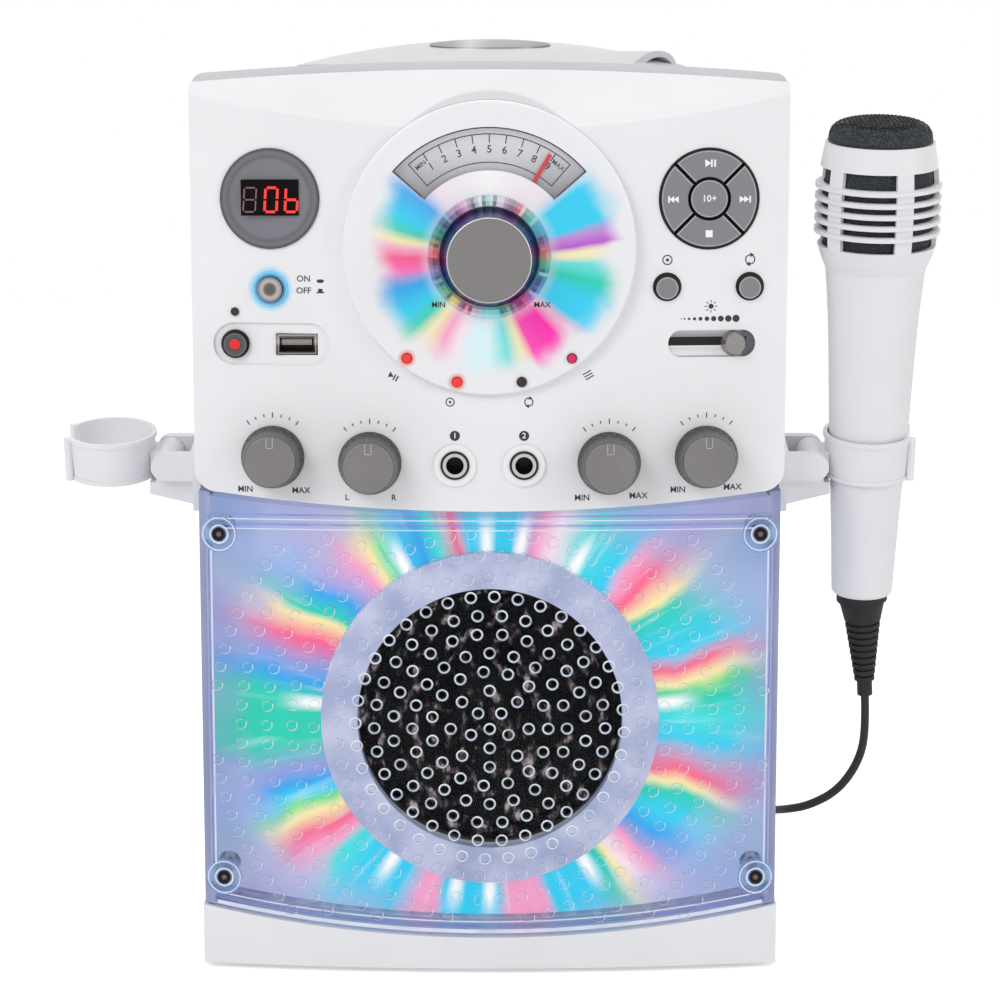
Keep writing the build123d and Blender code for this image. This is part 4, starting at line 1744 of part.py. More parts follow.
RELIEF_ACROSS = Vector(math.cos(swing), 0, 0) - MIC_DOWN * math.sin(swing)
RELIEF_PLANE = Plane(origin=RELIEF_START, x_dir=RELIEF_ACROSS,
                     z_dir=RELIEF_ACROSS.cross(RELIEF_DOWN))
RELIEF_SINK = RELIEF_FLANGE[0] * math.sin(swing) + 0.1


def relief_profile():
    """Half section of the strain relief: flange, cone, ridges and a thin tip."""
    height = RELIEF_FLANGE[1]
    points = [(0, -RELIEF_SINK), (RELIEF_FLANGE[0], -RELIEF_SINK), RELIEF_FLANGE,
              (RELIEF_CONE[0], height), (RELIEF_CONE[1], height + RELIEF_CONE[2])]
    height += RELIEF_CONE[2]
    drop = (RELIEF_RIDGE_TAPER[0] - RELIEF_RIDGE_TAPER[1]) / (RELIEF_RIDGES - 1)
    for ridge in range(RELIEF_RIDGES):
        radius = RELIEF_RIDGE_TAPER[0] - drop * ridge
        points += [(radius - RELIEF_GROOVE, height),
                   (radius - RELIEF_GROOVE, height + RELIEF_RIDGE_PITCH * RELIEF_GROOVE_SHARE),
                   (radius, height + RELIEF_RIDGE_PITCH * RELIEF_GROOVE_SHARE),
                   (radius, height + RELIEF_RIDGE_PITCH)]
        height += RELIEF_RIDGE_PITCH
    points += [(RELIEF_TIP[0], height), (RELIEF_TIP[0], height + RELIEF_TIP[1]),
               (0, height + RELIEF_TIP[1])]
    return points


with BuildPart() as strain_relief:
    with BuildSketch(RELIEF_PLANE):
        with BuildLine():
            Polyline(*relief_profile(), close=True)
        make_face()
    revolve(axis=Axis(RELIEF_START, RELIEF_DOWN))
    # Its upper face lies flat on the handle's end.
    with BuildSketch(cross_plane(HOLDER_X, MIC_LEAN, HANDLE_PROFILE[0][1])):
        Circle(2 * RELIEF_FLANGE[0])
    extrude(amount=2 * RELIEF_FLANGE[1], mode=Mode.SUBTRACT)
strain_relief.part.label = "strain_relief"
export_step(strain_relief.part, "parts/strain_relief.step")

TURN_RADIUS = COIL_TURN_DIAMETER / 2
COIL_HALF = COIL_ROWS * CORD_RADIUS
LEAD_Y = COIL_CENTRE[1] - TURN_RADIUS
FLOOR_ROW_Z = CORD_RADIUS + CORD_FLOOR_GAP
RELIEF_END = RELIEF_START + RELIEF_DOWN * RELIEF_LENGTH
CORD_ROUTE = ([RELIEF_END, RELIEF_END + RELIEF_DOWN * CORD_FIRST_RUN]
              + [Vector(HALF_WIDTH + x, y, z) for x, y, z in CORD_POINTS]
              + [Vector(COIL_CENTRE[0] + COIL_LEAD, LEAD_Y, FLOOR_ROW_Z)])
cord_radii = []
for before, corner, after in zip(CORD_ROUTE, CORD_ROUTE[1:], CORD_ROUTE[2:]):
    run_in = corner - before
    run_out = after - corner
    half_turn = math.radians(run_in.get_angle(run_out)) / 2
    cord_radii.append(CORD_ARC_SHARE * min(run_in.length, run_out.length) / math.tan(half_turn))
print("cord radii", [round(radius, 1) for radius in cord_radii])

with BuildPart() as mic_cord:
    with BuildLine() as cord_path:
        FilletPolyline(*CORD_ROUTE, radius=cord_radii)
    with BuildSketch(Plane(origin=RELIEF_END, z_dir=RELIEF_DOWN)):
        Circle(CORD_RADIUS)
    sweep()
cord_length = sum(edge.length for edge in cord_path.line.edges())
print("cord length", round(cord_length, 1), "volume over section times length",
      round(mic_cord.part.volume / (math.pi * CORD_RADIUS**2 * cord_length), 4))
mic_cord.part.label = "mic_cord"
export_step(mic_cord.part, "parts/mic_cord.step")

PLUG_Z = PLUG_GRIP_RADIUS + CORD_FLOOR_GAP
with BuildPart() as cord_coil:
    with BuildSketch(Plane.XY.offset(CORD_FLOOR_GAP - COIL_SLACK)):
        with Locations(COIL_CENTRE):
            Circle(TURN_RADIUS + COIL_HALF)
            Circle(TURN_RADIUS - COIL_HALF, mode=Mode.SUBTRACT)
    extrude(amount=2 * (COIL_HALF + COIL_SLACK))
    # The cord runs in and out along the same tangent.
    with BuildSketch(Plane.YZ.offset(COIL_CENTRE[0])):
        with Locations((LEAD_Y, FLOOR_ROW_Z)):
            Circle(CORD_RADIUS)
    extrude(amount=COIL_LEAD)
    with BuildSketch(Plane.YZ.offset(COIL_CENTRE[0])):
        with Locations((LEAD_Y, PLUG_Z)):
            Circle(CORD_RADIUS)
    extrude(amount=-COIL_LEAD)
cord_coil.part.label = "cord_coil"
export_step(cord_coil.part, "parts/cord_coil.step")

PLUG_X = COIL_CENTRE[0] - COIL_LEAD
with BuildPart() as mic_plug:
    with BuildSketch(Plane.YZ.offset(PLUG_X)):
        with Locations((LEAD_Y, PLUG_Z)):
            Circle(PLUG_COLLAR_RADIUS)
    extrude(amount=-PLUG_COLLAR_LENGTH)
    with BuildSketch(Plane.YZ.offset(PLUG_X - PLUG_COLLAR_LENGTH)):
        with Locations((LEAD_Y, PLUG_Z)):
            Circle(PLUG_GRIP_RADIUS)
    extrude(amount=-PLUG_GRIP_LENGTH)
    chamfer(mic_plug.edges().group_by(Axis.X)[0], 1.0)
    with BuildSketch(Plane.YZ.offset(PLUG_X - PLUG_COLLAR_LENGTH - PLUG_GRIP_LENGTH)):
        with Locations((LEAD_Y, PLUG_Z)):
            Circle(PLUG_RADIUS)
    extrude(amount=-PLUG_PIN_LENGTH)
    chamfer(mic_plug.edges().group_by(Axis.X)[0], 1.6)
mic_plug.part.label = "mic_plug"
export_step(mic_plug.part, "parts/mic_plug.step")
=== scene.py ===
import math

import bmesh
import bpy
from mathutils import Matrix, Vector


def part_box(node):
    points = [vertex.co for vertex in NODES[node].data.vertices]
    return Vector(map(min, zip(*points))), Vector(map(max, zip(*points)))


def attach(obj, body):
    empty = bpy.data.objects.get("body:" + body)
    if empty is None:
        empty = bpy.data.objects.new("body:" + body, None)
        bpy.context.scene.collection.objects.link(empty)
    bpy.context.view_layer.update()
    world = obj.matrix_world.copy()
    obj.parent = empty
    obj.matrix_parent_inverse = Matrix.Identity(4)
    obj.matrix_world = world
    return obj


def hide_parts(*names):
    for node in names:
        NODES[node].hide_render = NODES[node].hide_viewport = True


bl_info = {
    "name": "Karaoke machine",
    "version": (1, 0, 0),
    "blender": (4, 5, 0),
    "location": "View3D > Sidebar > Karaoke",
    "description": "Dresses the packed karaoke machine with its finishes, marks, lights and cord",
    "category": "Object",
}

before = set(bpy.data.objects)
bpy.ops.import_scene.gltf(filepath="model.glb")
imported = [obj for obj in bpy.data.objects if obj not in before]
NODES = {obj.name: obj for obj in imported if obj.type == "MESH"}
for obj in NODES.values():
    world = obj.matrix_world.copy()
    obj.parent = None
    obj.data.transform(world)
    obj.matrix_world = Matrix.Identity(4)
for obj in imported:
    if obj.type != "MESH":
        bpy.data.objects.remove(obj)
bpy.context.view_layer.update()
MM = 0.001

# Places of the fixed parts, in millimetres: x to the right, y to the back, z up.
PANEL_Y, BOW = -99.0, 760.0
DIAL_Z, DIAL_FACE_Y = 278.4, -102.0
KNOB_Z, KNOB_FACE_Y = 275.5, -122.3
GAUGE_Y = -98.0
CLUSTER_X, CLUSTER_Z = 80.9, 296.4
SOURCE, REPEAT, RECORD = (65.6, 264.1), (96.4, 264.1), (-94.4, 242.7)
POWER, USB, SLIDER = (-81.0, 263.2), (-71.4, 242.7), (82.5, 243.0)
KNOBS = {"voice_control": (-80.8, 200.7), "balance": (-44.5, 198.7),
         "echo": (44.5, 198.7), "mic_volume": (80.8, 200.7)}
LAMPS = [(50.4 * math.cos(math.radians(a)), DIAL_Z + 50.4 * math.sin(math.radians(a)))
         for a in (-127.1, -103.7, -76.3, -52.9)]
JACKS, JACK_Z, JACK_SIGN_Z = (-12.85, 12.85), 198.0, 209.0
SPEAKER_Z = 96.4
PANE_Y = -95.0
SCREW_X, SCREW_MIDDLE_Z, SCREW_RISE = 102.2, 103.3, 66.9
MIC_FOOT, MIC_LEAN = (146.0, -58.0, 197.4), math.radians(8.5)
HEAD_RIM = 121.0
# How far print stands off the face that it lies on.
PRINT = 0.06


def bow(x):
    """How far the bowed front lies back at x, in millimetres."""
    return BOW - math.sqrt(BOW * BOW - x * x)


def span(across, up):
    """Length of a direction, for numbers and for a material's values."""
    return (across * across + up * up) ** 0.5


def from_screw(x, z):
    """Distance from the nearest of the window's four screws."""
    return span(abs(x) - SCREW_X, abs(z - SCREW_MIDDLE_Z) - SCREW_RISE)


def spoke(reach, degrees, px=0.0, pz=KNOB_Z):
    """The point at that reach from (px, pz), turned to the left from straight up."""
    a = math.radians(degrees)
    return px - reach * math.sin(a), pz + reach * math.cos(a)


def srgb(red, green, blue):
    """A screen colour, 0 to 255 a channel, as the linear colour that a shader takes."""
    def linear(channel):
        c = channel / 255
        return c / 12.92 if c <= 0.04045 else ((c + 0.055) / 1.055) ** 2.4
    return linear(red), linear(green), linear(blue), 1.0


def level(amount):
    """A number as the grey that a ramp can hold."""
    return (amount,) * 3 + (1.0,)


def scaled(colour, factor):
    """That colour, darker or lighter, with no channel over 1."""
    return [min(1.0, channel * factor) for channel in colour[:3]] + [1.0]


BLACK = (0, 0, 0, 1)
HUES = {"cyan": srgb(40, 206, 242), "aqua": srgb(60, 222, 222), "teal": srgb(16, 206, 178),
        "green": srgb(110, 220, 140), "blue": srgb(40, 164, 236), "lilac": srgb(146, 154, 220),
        "violet": srgb(184, 84, 206), "pink": srgb(248, 160, 200), "rose": srgb(250, 92, 140),
        "magenta": srgb(255, 20, 176), "cream": srgb(250, 234, 170), "blush": srgb(250, 224, 238),
        "ice": srgb(214, 244, 250), "white": srgb(255, 255, 255)}


# ---- Materials ----
class Value:
    """A socket of a material's nodes. Python's operators on it add Math nodes."""

    def __init__(self, tree, socket):
        self.tree, self.socket = tree, socket

    def math(self, operation, *terms, clamp=False):
        node = self.tree.nodes.new("ShaderNodeMath")
        node.operation, node.use_clamp = operation, clamp
        for slot, term in zip(node.inputs, terms):
            if isinstance(term, Value):
                self.tree.links.new(term.socket, slot)
            else:
                slot.default_value = term
        return Value(self.tree, node.outputs[0])

    def __add__(self, other):
        return self.math("ADD", self, other)

    def __sub__(self, other):
        return self.math("SUBTRACT", self, other)

    def __rsub__(self, other):
        return self.math("SUBTRACT", other, self)

    def __mul__(self, other):
        return self.math("MULTIPLY", self, other)

    def __truediv__(self, other):
        return self.math("DIVIDE", self, other)

    def __pow__(self, other):
        return self.math("POWER", self, other)

    def __gt__(self, other):
        return self.math("GREATER_THAN", self, other)

    def __lt__(self, other):
        return self.math("LESS_THAN", self, other)

    def __abs__(self):
        return self.math("ABSOLUTE", self)

    __radd__, __rmul__ = __add__, __mul__

    def angle_to(self, other):
        """The angle of the direction (other, self), from 0 at -180 degrees to 1 at +180."""
        return self.math("ARCTAN2", self, other) / (2 * math.pi) + 0.5

    def clamped(self):
        return self.math("ADD", self, 0.0, clamp=True)

    def larger(self, other):
        return self.math("MAXIMUM", self, other)

    def smaller(self, other):
        return self.math("MINIMUM", self, other)


class Finish:
    """A material built from nodes, with one shader on its output."""

    def __init__(self, name, **constants):
        self.material = bpy.data.materials.new(name)
        self.material.use_nodes = True
        self.tree = self.material.node_tree
        self.tree.nodes.clear()
        self.shader = self.tree.nodes.new("ShaderNodeBsdfPrincipled")
        output = self.tree.nodes.new("ShaderNodeOutputMaterial")
        self.tree.links.new(self.shader.outputs[0], output.inputs["Surface"])
        self.object = self.add("ShaderNodeTexCoord", {}, {}, "Object")
        for label, value in constants.items():
            self.set(label.replace("_", " ").title().replace("Ior", "IOR"), value)

    def add(self, kind, settings, sockets, output=0):
        """A node of that kind: its settings first, then its sockets' values or links."""
        node = self.tree.nodes.new(kind)
        for name, value in settings.items():
            if name == "stops":
                ramp = node.color_ramp
                ramp.elements.remove(ramp.elements[1])
                ramp.elements[0].position, ramp.elements[0].color = value[0]
                for place, colour in value[1:]:
                    ramp.elements.new(place).color = colour
            elif name == "interpolation" and kind == "ShaderNodeValToRGB":
                node.color_ramp.interpolation = value
            else:
                setattr(node, name, value)
        for name, value in sockets.items():
            if isinstance(value, Value):
                self.tree.links.new(value.socket, node.inputs[name])
            else:
                node.inputs[name].default_value = value
        return Value(self.tree, node.outputs[output])

    def set(self, label, value):
        """Sets or links one socket of the shader."""
        if isinstance(value, Value):
            self.tree.links.new(value.socket, self.shader.inputs[label])
        else:
            self.shader.inputs[label].default_value = value
        return self

    def parts(self, vector):
        """x, y and z of a vector."""
        split = self.tree.nodes.new("ShaderNodeSeparateXYZ")
        self.tree.links.new(vector.socket, split.inputs[0])
        return [Value(self.tree, socket) for socket in split.outputs]

    def place(self):
        """x, y and z of the surface, in millimetres."""
        return self.parts(self.add("ShaderNodeVectorMath", {"operation": "SCALE"},
                                   {0: self.object, "Scale": 1000.0}))

    def around(self, px, pz):
        """How far the surface lies from (px, pz), seen from the front."""
        x, y, z = self.place()
        return span(x - px, z - pz)

    def facing(self):
        """x, y and z of the surface's own direction."""
        return self.parts(self.add("ShaderNodeTexCoord", {}, {}, "Normal"))

    def noise(self, size, detail=2.0, stretch=None):
        """Noise whose grains are size millimetres across."""
        vector = self.object
        if stretch:
            vector = self.add("ShaderNodeMapping", {}, {"Vector": vector, "Scale": stretch})
        return self.add("ShaderNodeTexNoise", {},
                        {"Vector": vector, "Scale": 1000.0 / size, "Detail": detail}, "Fac")

    def soft_step(self, value, low, high):
        """0 below low and 1 above high, smooth between them."""
        return self.add("ShaderNodeMapRange", {"interpolation_type": "SMOOTHSTEP"},
                        {0: value, 1: low, 2: high, 3: 0.0, 4: 1.0})

    def mix(self, amount, first, second):
        return self.add("ShaderNodeMix", {"data_type": "RGBA"}, {0: amount, 6: first, 7: second}, 2)

    def ramp(self, value, stops, interpolation="LINEAR"):
        return self.add("ShaderNodeValToRGB", {"stops": stops, "interpolation": interpolation},
                        {"Fac": value})

    def fan(self, turn, beams):
        """Colours by angle: beams are (degrees, colour) from -180 to 180, with one at 0."""
        halves = [self.ramp(turn * 2.0 - shift, [
            ((angle - low) / 180, colour) for angle, colour in beams if low <= angle <= low + 180])
            for low, shift in ((-180, 0.0), (0, 1.0))]
        return self.mix(turn > 0.5, *halves)

    def bump(self, height, depth, strength=1.0):
        """Relief of that depth in millimetres."""
        return self.set("Normal", self.add("ShaderNodeBump", {}, {
            "Height": height, "Distance": depth * MM, "Strength": strength}, "Normal"))

    def wear(self, *nodes):
        """Puts this finish on CAD nodes."""
        for node in nodes:
            slots = NODES[node].data.materials
            slots.clear()
            slots.append(self.material)
        return self


def speckled(name, size, first, second, share=1.0, **constants):
    """A finish that wavers between two colours over so many millimetres."""
    finish = Finish(name, **constants)
    return finish.set("Base Color", finish.mix(finish.noise(size) * share, first, second))


def moulded(name, colour, roughness, grain=0.35, depth=0.012, shade=None, **constants):
    """Moulded plastic: a fine spark-eroded grain, soft shade changes and uneven gloss."""
    finish = Finish(name, **constants)
    cloud = finish.noise(45.0)
    tone = finish.mix(finish.soft_step(cloud, 0.3, 0.75), colour, scaled(colour, 0.96))
    if shade:
        tone = finish.mix(shade(finish), tone, scaled(colour, 0.45))
    finish.set("Base Color", tone)
    finish.set("Roughness", roughness - 0.05 + 0.1 * finish.noise(6.0, 3.0))
    return finish.bump(finish.noise(grain, 3.0), depth)


def printed(name, ink):
    """Dull printing ink."""
    return speckled(name, 0.6, ink, srgb(74, 74, 80), 0.35, roughness=0.55)


def hood_shade(finish):
    """A soft crescent of shade in the brow over the lit disc."""
    x, y, z = finish.place()
    reach = 57.7 - (x / 31.0) * (x / 31.0) * 3.7
    return finish.soft_step(reach - span(x, z - DIAL_Z), -0.3, 1.1) * (z > 310.0) * 0.34


# ---- Meshes ----
def shaped(mesh, name, body, finish, smooth=35.0):
    """Turns a bmesh in millimetres into a piece that rides on a body."""
    data = bpy.data.meshes.new(name)
    bmesh.ops.scale(mesh, vec=(MM,) * 3, verts=mesh.verts)
    mesh.to_mesh(data)
    mesh.free()
    data.shade_smooth()
    data.set_sharp_from_angle(angle=math.radians(smooth))
    piece = bpy.data.objects.new(name, data)
    bpy.context.scene.collection.objects.link(piece)
    data.materials.append(finish.material)
    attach(piece, body)


def upright(x, z, turn=0.0, wide=1.0, high=1.0):
    """Stands a flat shape up to face the front at (x, z), turned and stretched."""
    return (Matrix.Translation((x, 0, z)) @ Matrix.Rotation(math.radians(90), 4, "X")
            @ Matrix.Rotation(math.radians(turn), 4, "Z") @ Matrix.Diagonal((wide, high, 1, 1)))


def plate(mesh, x, z, sides, radius, turn=0.0, wide=1.0, high=1.0, tilt=0.0):
    """A flat regular shape facing the front: a bar, a triangle or a disc."""
    spin = Matrix.Rotation(math.radians(tilt), 4, "Z")
    made = bmesh.ops.create_circle(mesh, cap_ends=True, segments=sides, radius=radius,
                                   matrix=upright(x, z, turn, wide, high) @ spin)
    return made["verts"]


def bar(mesh, x, z, wide, high, turn=0.0):
    plate(mesh, x, z, 4, math.sqrt(0.5), turn, wide, high, 45.0)


def arrow(mesh, x, z, size, way):
    """A triangle that points right, or left where way is -1."""
    plate(mesh, x, z, 3, size, -90.0 * way, 1.15)


def hoop(mesh, x, z, radius, width, sides=32):
    """A flat ring of that outer radius and width."""
    face = plate(mesh, x, z, sides, radius)[0].link_faces[0]
    bmesh.ops.inset_region(mesh, faces=[face], thickness=width, use_boundary=True,
                           use_even_offset=True)
    bmesh.ops.delete(mesh, geom=[face], context="FACES")


def lay(mesh, depth):
    """Moves flat marks on to the surface whose depth at x is depth(x)."""
    for vertex in mesh.verts:
        vertex.co.y = depth(vertex.co.x)
    return mesh


def on_panel(proud=PRINT):
    return lambda x: PANEL_Y + bow(x) - proud


def words(mesh, text, x, z, height, turn=0.0):
    """Adds flat letters whose middle is at (x, z)."""
    curve = bpy.data.curves.new("letters", "FONT")
    curve.body, curve.size = text, height * 1.45
    curve.offset = height * 0.02
    curve.align_x, curve.align_y = "CENTER", "CENTER"
    curve.resolution_u = 3
    holder = bpy.data.objects.new("letters", curve)
    flat = bpy.data.meshes.new_from_object(holder)
    flat.transform(upright(x, z, turn))
    mesh.from_mesh(flat)
    bpy.data.objects.remove(holder)
    bpy.data.curves.remove(curve)
    bpy.data.meshes.remove(flat)


def turned(mesh, profile, centre, axis, segments=48):
    """Spins an open profile of (radius, height) points about an axis through centre."""
    turn = Vector((0, 0, 1)).rotation_difference(Vector(axis)).to_matrix().to_4x4()
    place = Matrix.Translation(centre) @ turn
    points = [mesh.verts.new(place @ Vector((r, 0, h))) for r, h in profile]
    lines = [mesh.edges.new(pair) for pair in zip(points, points[1:])]
    bmesh.ops.spin(mesh, geom=points + lines, cent=centre, axis=axis, angle=2 * math.pi,
                   steps=segments, use_merge=True)
    bmesh.ops.remove_doubles(mesh, verts=mesh.verts, dist=1e-4)
    bmesh.ops.recalc_face_normals(mesh, faces=mesh.faces)


# ---- What a user may change ----
class ShellSettings(bpy.types.PropertyGroup):
    colour: bpy.props.FloatVectorProperty(
        name="Shell colour", description="Colour of the white mouldings", subtype="COLOR",
        size=4, min=0.0, max=1.0, default=srgb(236, 236, 239))
    roughness: bpy.props.FloatProperty(
        name="Shell roughness", description="Gloss of the white mouldings", min=0.0, max=1.0,
        default=0.36)
    key_colour: bpy.props.FloatVectorProperty(
        name="Key colour", description="Colour of the keys and small knobs", subtype="COLOR",
        size=4, min=0.0, max=1.0, default=srgb(139, 137, 141))


class GlowSettings(bpy.types.PropertyGroup):
    dial: bpy.props.FloatProperty(
        name="Dial glow", description="Strength of the light around the volume knob",
        min=0.0, max=4.0, default=0.45)
    window: bpy.props.FloatProperty(
        name="Window glow", description="Strength of the light behind the speaker window",
        min=0.0, max=4.0, default=0.66)


class MarkSettings(bpy.types.PropertyGroup):
    ink: bpy.props.FloatVectorProperty(
        name="Ink", description="Colour of the printed marks", subtype="COLOR", size=4,
        min=0.0, max=1.0, default=srgb(38, 38, 42))
    height: bpy.props.FloatProperty(
        name="Letter height", description="Height of the printed capitals", subtype="DISTANCE",
        unit="LENGTH", min=0.001, max=0.006, default=0.0022)


class StageSettings(bpy.types.PropertyGroup):
    key: bpy.props.FloatProperty(
        name="Key lamp", description="Power of the large lamp", unit="POWER", min=0.0,
        default=8.5)
    fill: bpy.props.FloatProperty(
        name="Surrounding light", description="Strength of the light from all around", min=0.0,
        max=2.0, default=0.64)


# ---- Cabinet ----
def silvered_window():
    """The lid's oval window: a silvered plate with fine turning marks and a painted reflection across
    it.
    """
    oval = Finish("silvered plate", metallic=0.75)
    x, y, z = oval.place()
    lines = oval.noise(1.4, stretch=(1, 9, 1))
    # Painted reflection: dark at the ends, brightest a third of the way across.
    painted_shine = oval.ramp((x + 24.0) / 48.0, [
        (0.0, srgb(70, 64, 60)), (0.2, srgb(128, 120, 116)), (0.34, srgb(206, 202, 196)),
        (0.5, srgb(150, 144, 140)), (0.8, srgb(128, 122, 118)), (1.0, srgb(66, 60, 58))])
    oval.set("Base Color", oval.mix(lines * 0.35, painted_shine, srgb(196, 192, 188)))
    oval.set("Roughness", 0.22 + 0.16 * lines).bump(lines, 0.01).wear("lid_window")


def slider_recess():
    """Silvered floor of the light slider's recess with painted reflections and painted shade at its
    right end, and the slot in it as a sheet of painted shadow.
    """
    middle, level_z = SLIDER
    half_run, end_radius, sunk = 11.4, 4.9, 1.4
    tray = Finish("slider tray", metallic=0.3)
    x, y, z = tray.place()
    brushed = tray.noise(0.5, stretch=(0.06, 1, 1))
    # Painted reflection: light and dark bands up the metal floor.
    painted_shine = tray.ramp((z - 238.0) / 10.0, [
        (0.0, srgb(150, 150, 154)), (0.08, srgb(236, 236, 238)), (0.32, srgb(214, 214, 217)),
        (0.44, srgb(238, 238, 240)), (0.72, srgb(136, 136, 141)), (0.88, srgb(170, 170, 174)),
        (1.0, srgb(226, 226, 229))])
    # Painted shade darkens the floor's right end round the cap.
    tray.set("Base Color", tray.mix(tray.soft_step(x, 91.0, 94.5), painted_shine, srgb(98, 98, 104)))
    tray.set("Roughness", 0.25 + 0.15 * brushed).bump(brushed, 0.004)
    mesh = bmesh.new()
    for end in (-1, 1):
        made = plate(mesh, middle + end * half_run, level_z, 24, end_radius)
        inner = [v for v in made if (v.co.x - middle - end * half_run) * end < -0.01]
        bmesh.ops.delete(mesh, geom=inner, context="VERTS")
    bmesh.ops.contextual_create(mesh, geom=mesh.verts[:])
    slope = math.tan(math.asin(middle / BOW))

    def floor(x):
        return PANEL_Y + bow(middle) + (x - middle) * slope + sunk
    shaped(lay(mesh, floor), "slider_tray", "cabinet_body", tray)
    # The slot is a dark sheet of painted shadow.
    dark = Finish("slot shadow", roughness=0.8)
    dark.set("Base Color", dark.ramp(dark.noise(1.0), [(0.3, srgb(8, 8, 9)), (0.7, srgb(20, 20, 22))]))
    mesh = bmesh.new()
    bar(mesh, 80.75, 243.8, 29.3, 3.2)
    lay(mesh, lambda x: floor(x) - PRINT)
    shaped(mesh, "slider_slot", "cabinet_body", dark)


class KARAOKE_OT_cabinet(bpy.types.Operator):
    """White shell, deck, lid, plinth and feet"""
    bl_idname = "karaoke.cabinet"
    bl_label = "Cabinet"

    def execute(self, context):
        shell = context.scene.karaoke_shell
        gloss = {"coat_weight": 0.2, "coat_roughness": 0.25}
        moulded("white shell", shell.colour, shell.roughness, **gloss).wear("base_plinth")
        moulded("panel shell", shell.colour, shell.roughness, shade=hood_shade,
                **gloss).wear("front_cabinet")
        # Painted shade: the lid and deck are the shell's white plastic, painted greyer where they face
        # away from the light.
        moulded("lid and deck in painted shade", srgb(207, 207, 211), shell.roughness, **gloss).wear("top_deck", "lid")
        moulded("rear shell", srgb(226, 226, 229), 0.5, grain=0.7, depth=0.03).wear("rear_cabinet")
        moulded("foot rubber", srgb(38, 38, 40), 0.75, grain=0.5, depth=0.04).wear("feet")
        silvered_window()
        slider_recess()
        return {"FINISHED"}


# ---- Speaker window ----
def clear_pane():
    """Clear moulding: almost unseen face on, bluish at its edges and screw posts; these tints are
    painted light bent in the clear plastic.
    """
    clear = Finish("clear acrylic", roughness=0.06, coat_weight=0.3, coat_roughness=0.03)
    x, y, z = clear.place()
    turned_to_front = abs(clear.facing()[1])
    edge = clear.soft_step(1.0 - turned_to_front, 0.05, 0.6)
    post = clear.soft_step(from_screw(x, z), 7.6, 6.4)
    border = clear.soft_step(abs(x), 104.9, 106.6)
    streaks = clear.noise(14.0, 3.0, stretch=(1, 1, 0.25))
    # Painted light: the bluish tint on slanted faces and posts and the lavender border stand for light
    # bent in the plastic.
    tone = clear.mix(edge, srgb(236, 242, 255), srgb(186, 198, 240))
    tone = clear.mix(border, tone, clear.mix(streaks, srgb(140, 148, 200), srgb(196, 204, 236)))
    clear.set("Base Color", clear.mix(post, tone, srgb(158, 190, 226)))
    face = clear.soft_step(turned_to_front, 0.8, 0.95)
    clear.set("Alpha", (0.002 + 0.3 * edge * (1.0 - post) + 0.003 * streaks + 0.74 * border
                        + 0.5 * post * face).clamped())
    clear.wear("lower_window")


# Where each colour of the fanned light stands, in degrees from the right.
BEAMS = [(-180, "teal"), (-174, "teal"), (-165, "lilac"), (-160, "blue"), (-156, "cyan"),
         (-153, "green"), (-149.5, "cream"), (-144, "rose"), (-139, "pink"), (-135, "aqua"),
         (-128, "cyan"), (-118, "cyan"), (-112, "pink"), (-108, "pink"), (-104.5, "cyan"),
         (-88, "cyan"), (-84, "pink"), (-73, "pink"), (-69.5, "cyan"), (-60, "cyan"),
         (-54, "teal"), (-51, "cream"), (-47.5, "blush"), (-43, "pink"), (-40, "lilac"),
         (-36, "blue"), (-30, "cyan"), (-24, "teal"), (-21.5, "cream"), (-18, "rose"),
         (-8, "cyan"), (0, "aqua"), (6, "teal"), (8.5, "green"), (10.5, "cream"), (14.5, "rose"),
         (19, "cyan"), (33, "teal"), (36, "cream"), (42, "rose"), (47, "pink"), (49.5, "cyan"),
         (61, "aqua"), (69, "blush"), (74, "pink"), (78, "lilac"), (81, "cyan"), (96, "cyan"),
         (100, "rose"), (107, "aqua"), (112, "blue"), (118, "cyan"), (123, "green"),
         (126.5, "cream"), (131, "pink"), (142, "blue"), (149, "teal"), (151.5, "cream"),
         (158, "rose"), (165, "lilac"), (170, "blue"), (175, "teal"), (180, "teal")]
GLINTS = (-123.5, -101, -90, -57.5, 4, 61, 80, 91, 119, 176)


def beams_behind(glow):
    """Coloured beams on the reflector, fanned round the speaker, and their white glints."""
    glints = [(-180, 0), (0, 0), (180, 0)]
    for angle in GLINTS:
        glints += [(angle - 3, 0), (angle, 1), (angle + 3, 0)]
    lit = Finish("beams behind the window", roughness=0.35)
    x, y, z = lit.place()
    dz = z - SPEAKER_Z
    radius = span(x, dz)
    sideways = x / radius
    way = lit.add("ShaderNodeCombineXYZ", {}, {0: sideways, 1: dz / radius, 2: radius * 0.0016})
    streak = lit.add("ShaderNodeTexNoise", {}, {"Vector": way, "Scale": 17.0, "Detail": 4.0}, "Fac")
    turn = dz.angle_to(x)
    colour = lit.fan(turn + (lit.noise(34.0) - 0.5) * 0.035,
                     [(angle, HUES[hue]) for angle, hue in BEAMS])
    core = lit.fan(turn, [(angle, level(glint)) for angle, glint in sorted(glints)])
    veil = lit.mix(lit.soft_step(streak, 0.52, 0.8) * 0.45, colour, HUES["ice"])
    haze = lit.mix(lit.noise(44.0), srgb(132, 150, 210), srgb(196, 206, 236))
    spread = (sideways * sideways) ** 4 * 16.0 + 80.0 + (lit.noise(18.0) - 0.5) * 26.0
    pale = lit.mix(lit.soft_step(radius - spread, -4.0, 24.0) * 0.92, veil, haze)
    near = lit.soft_step(radius + streak * 14.0, 92.0, 74.0)
    shown = lit.mix((near * core * 1.3).clamped(), pale, HUES["white"])
    lit.set("Base Color", lit.mix(0.6, shown, BLACK))
    lit.set("Emission Color", shown).set("Emission Strength", glow.window).wear("reflector")


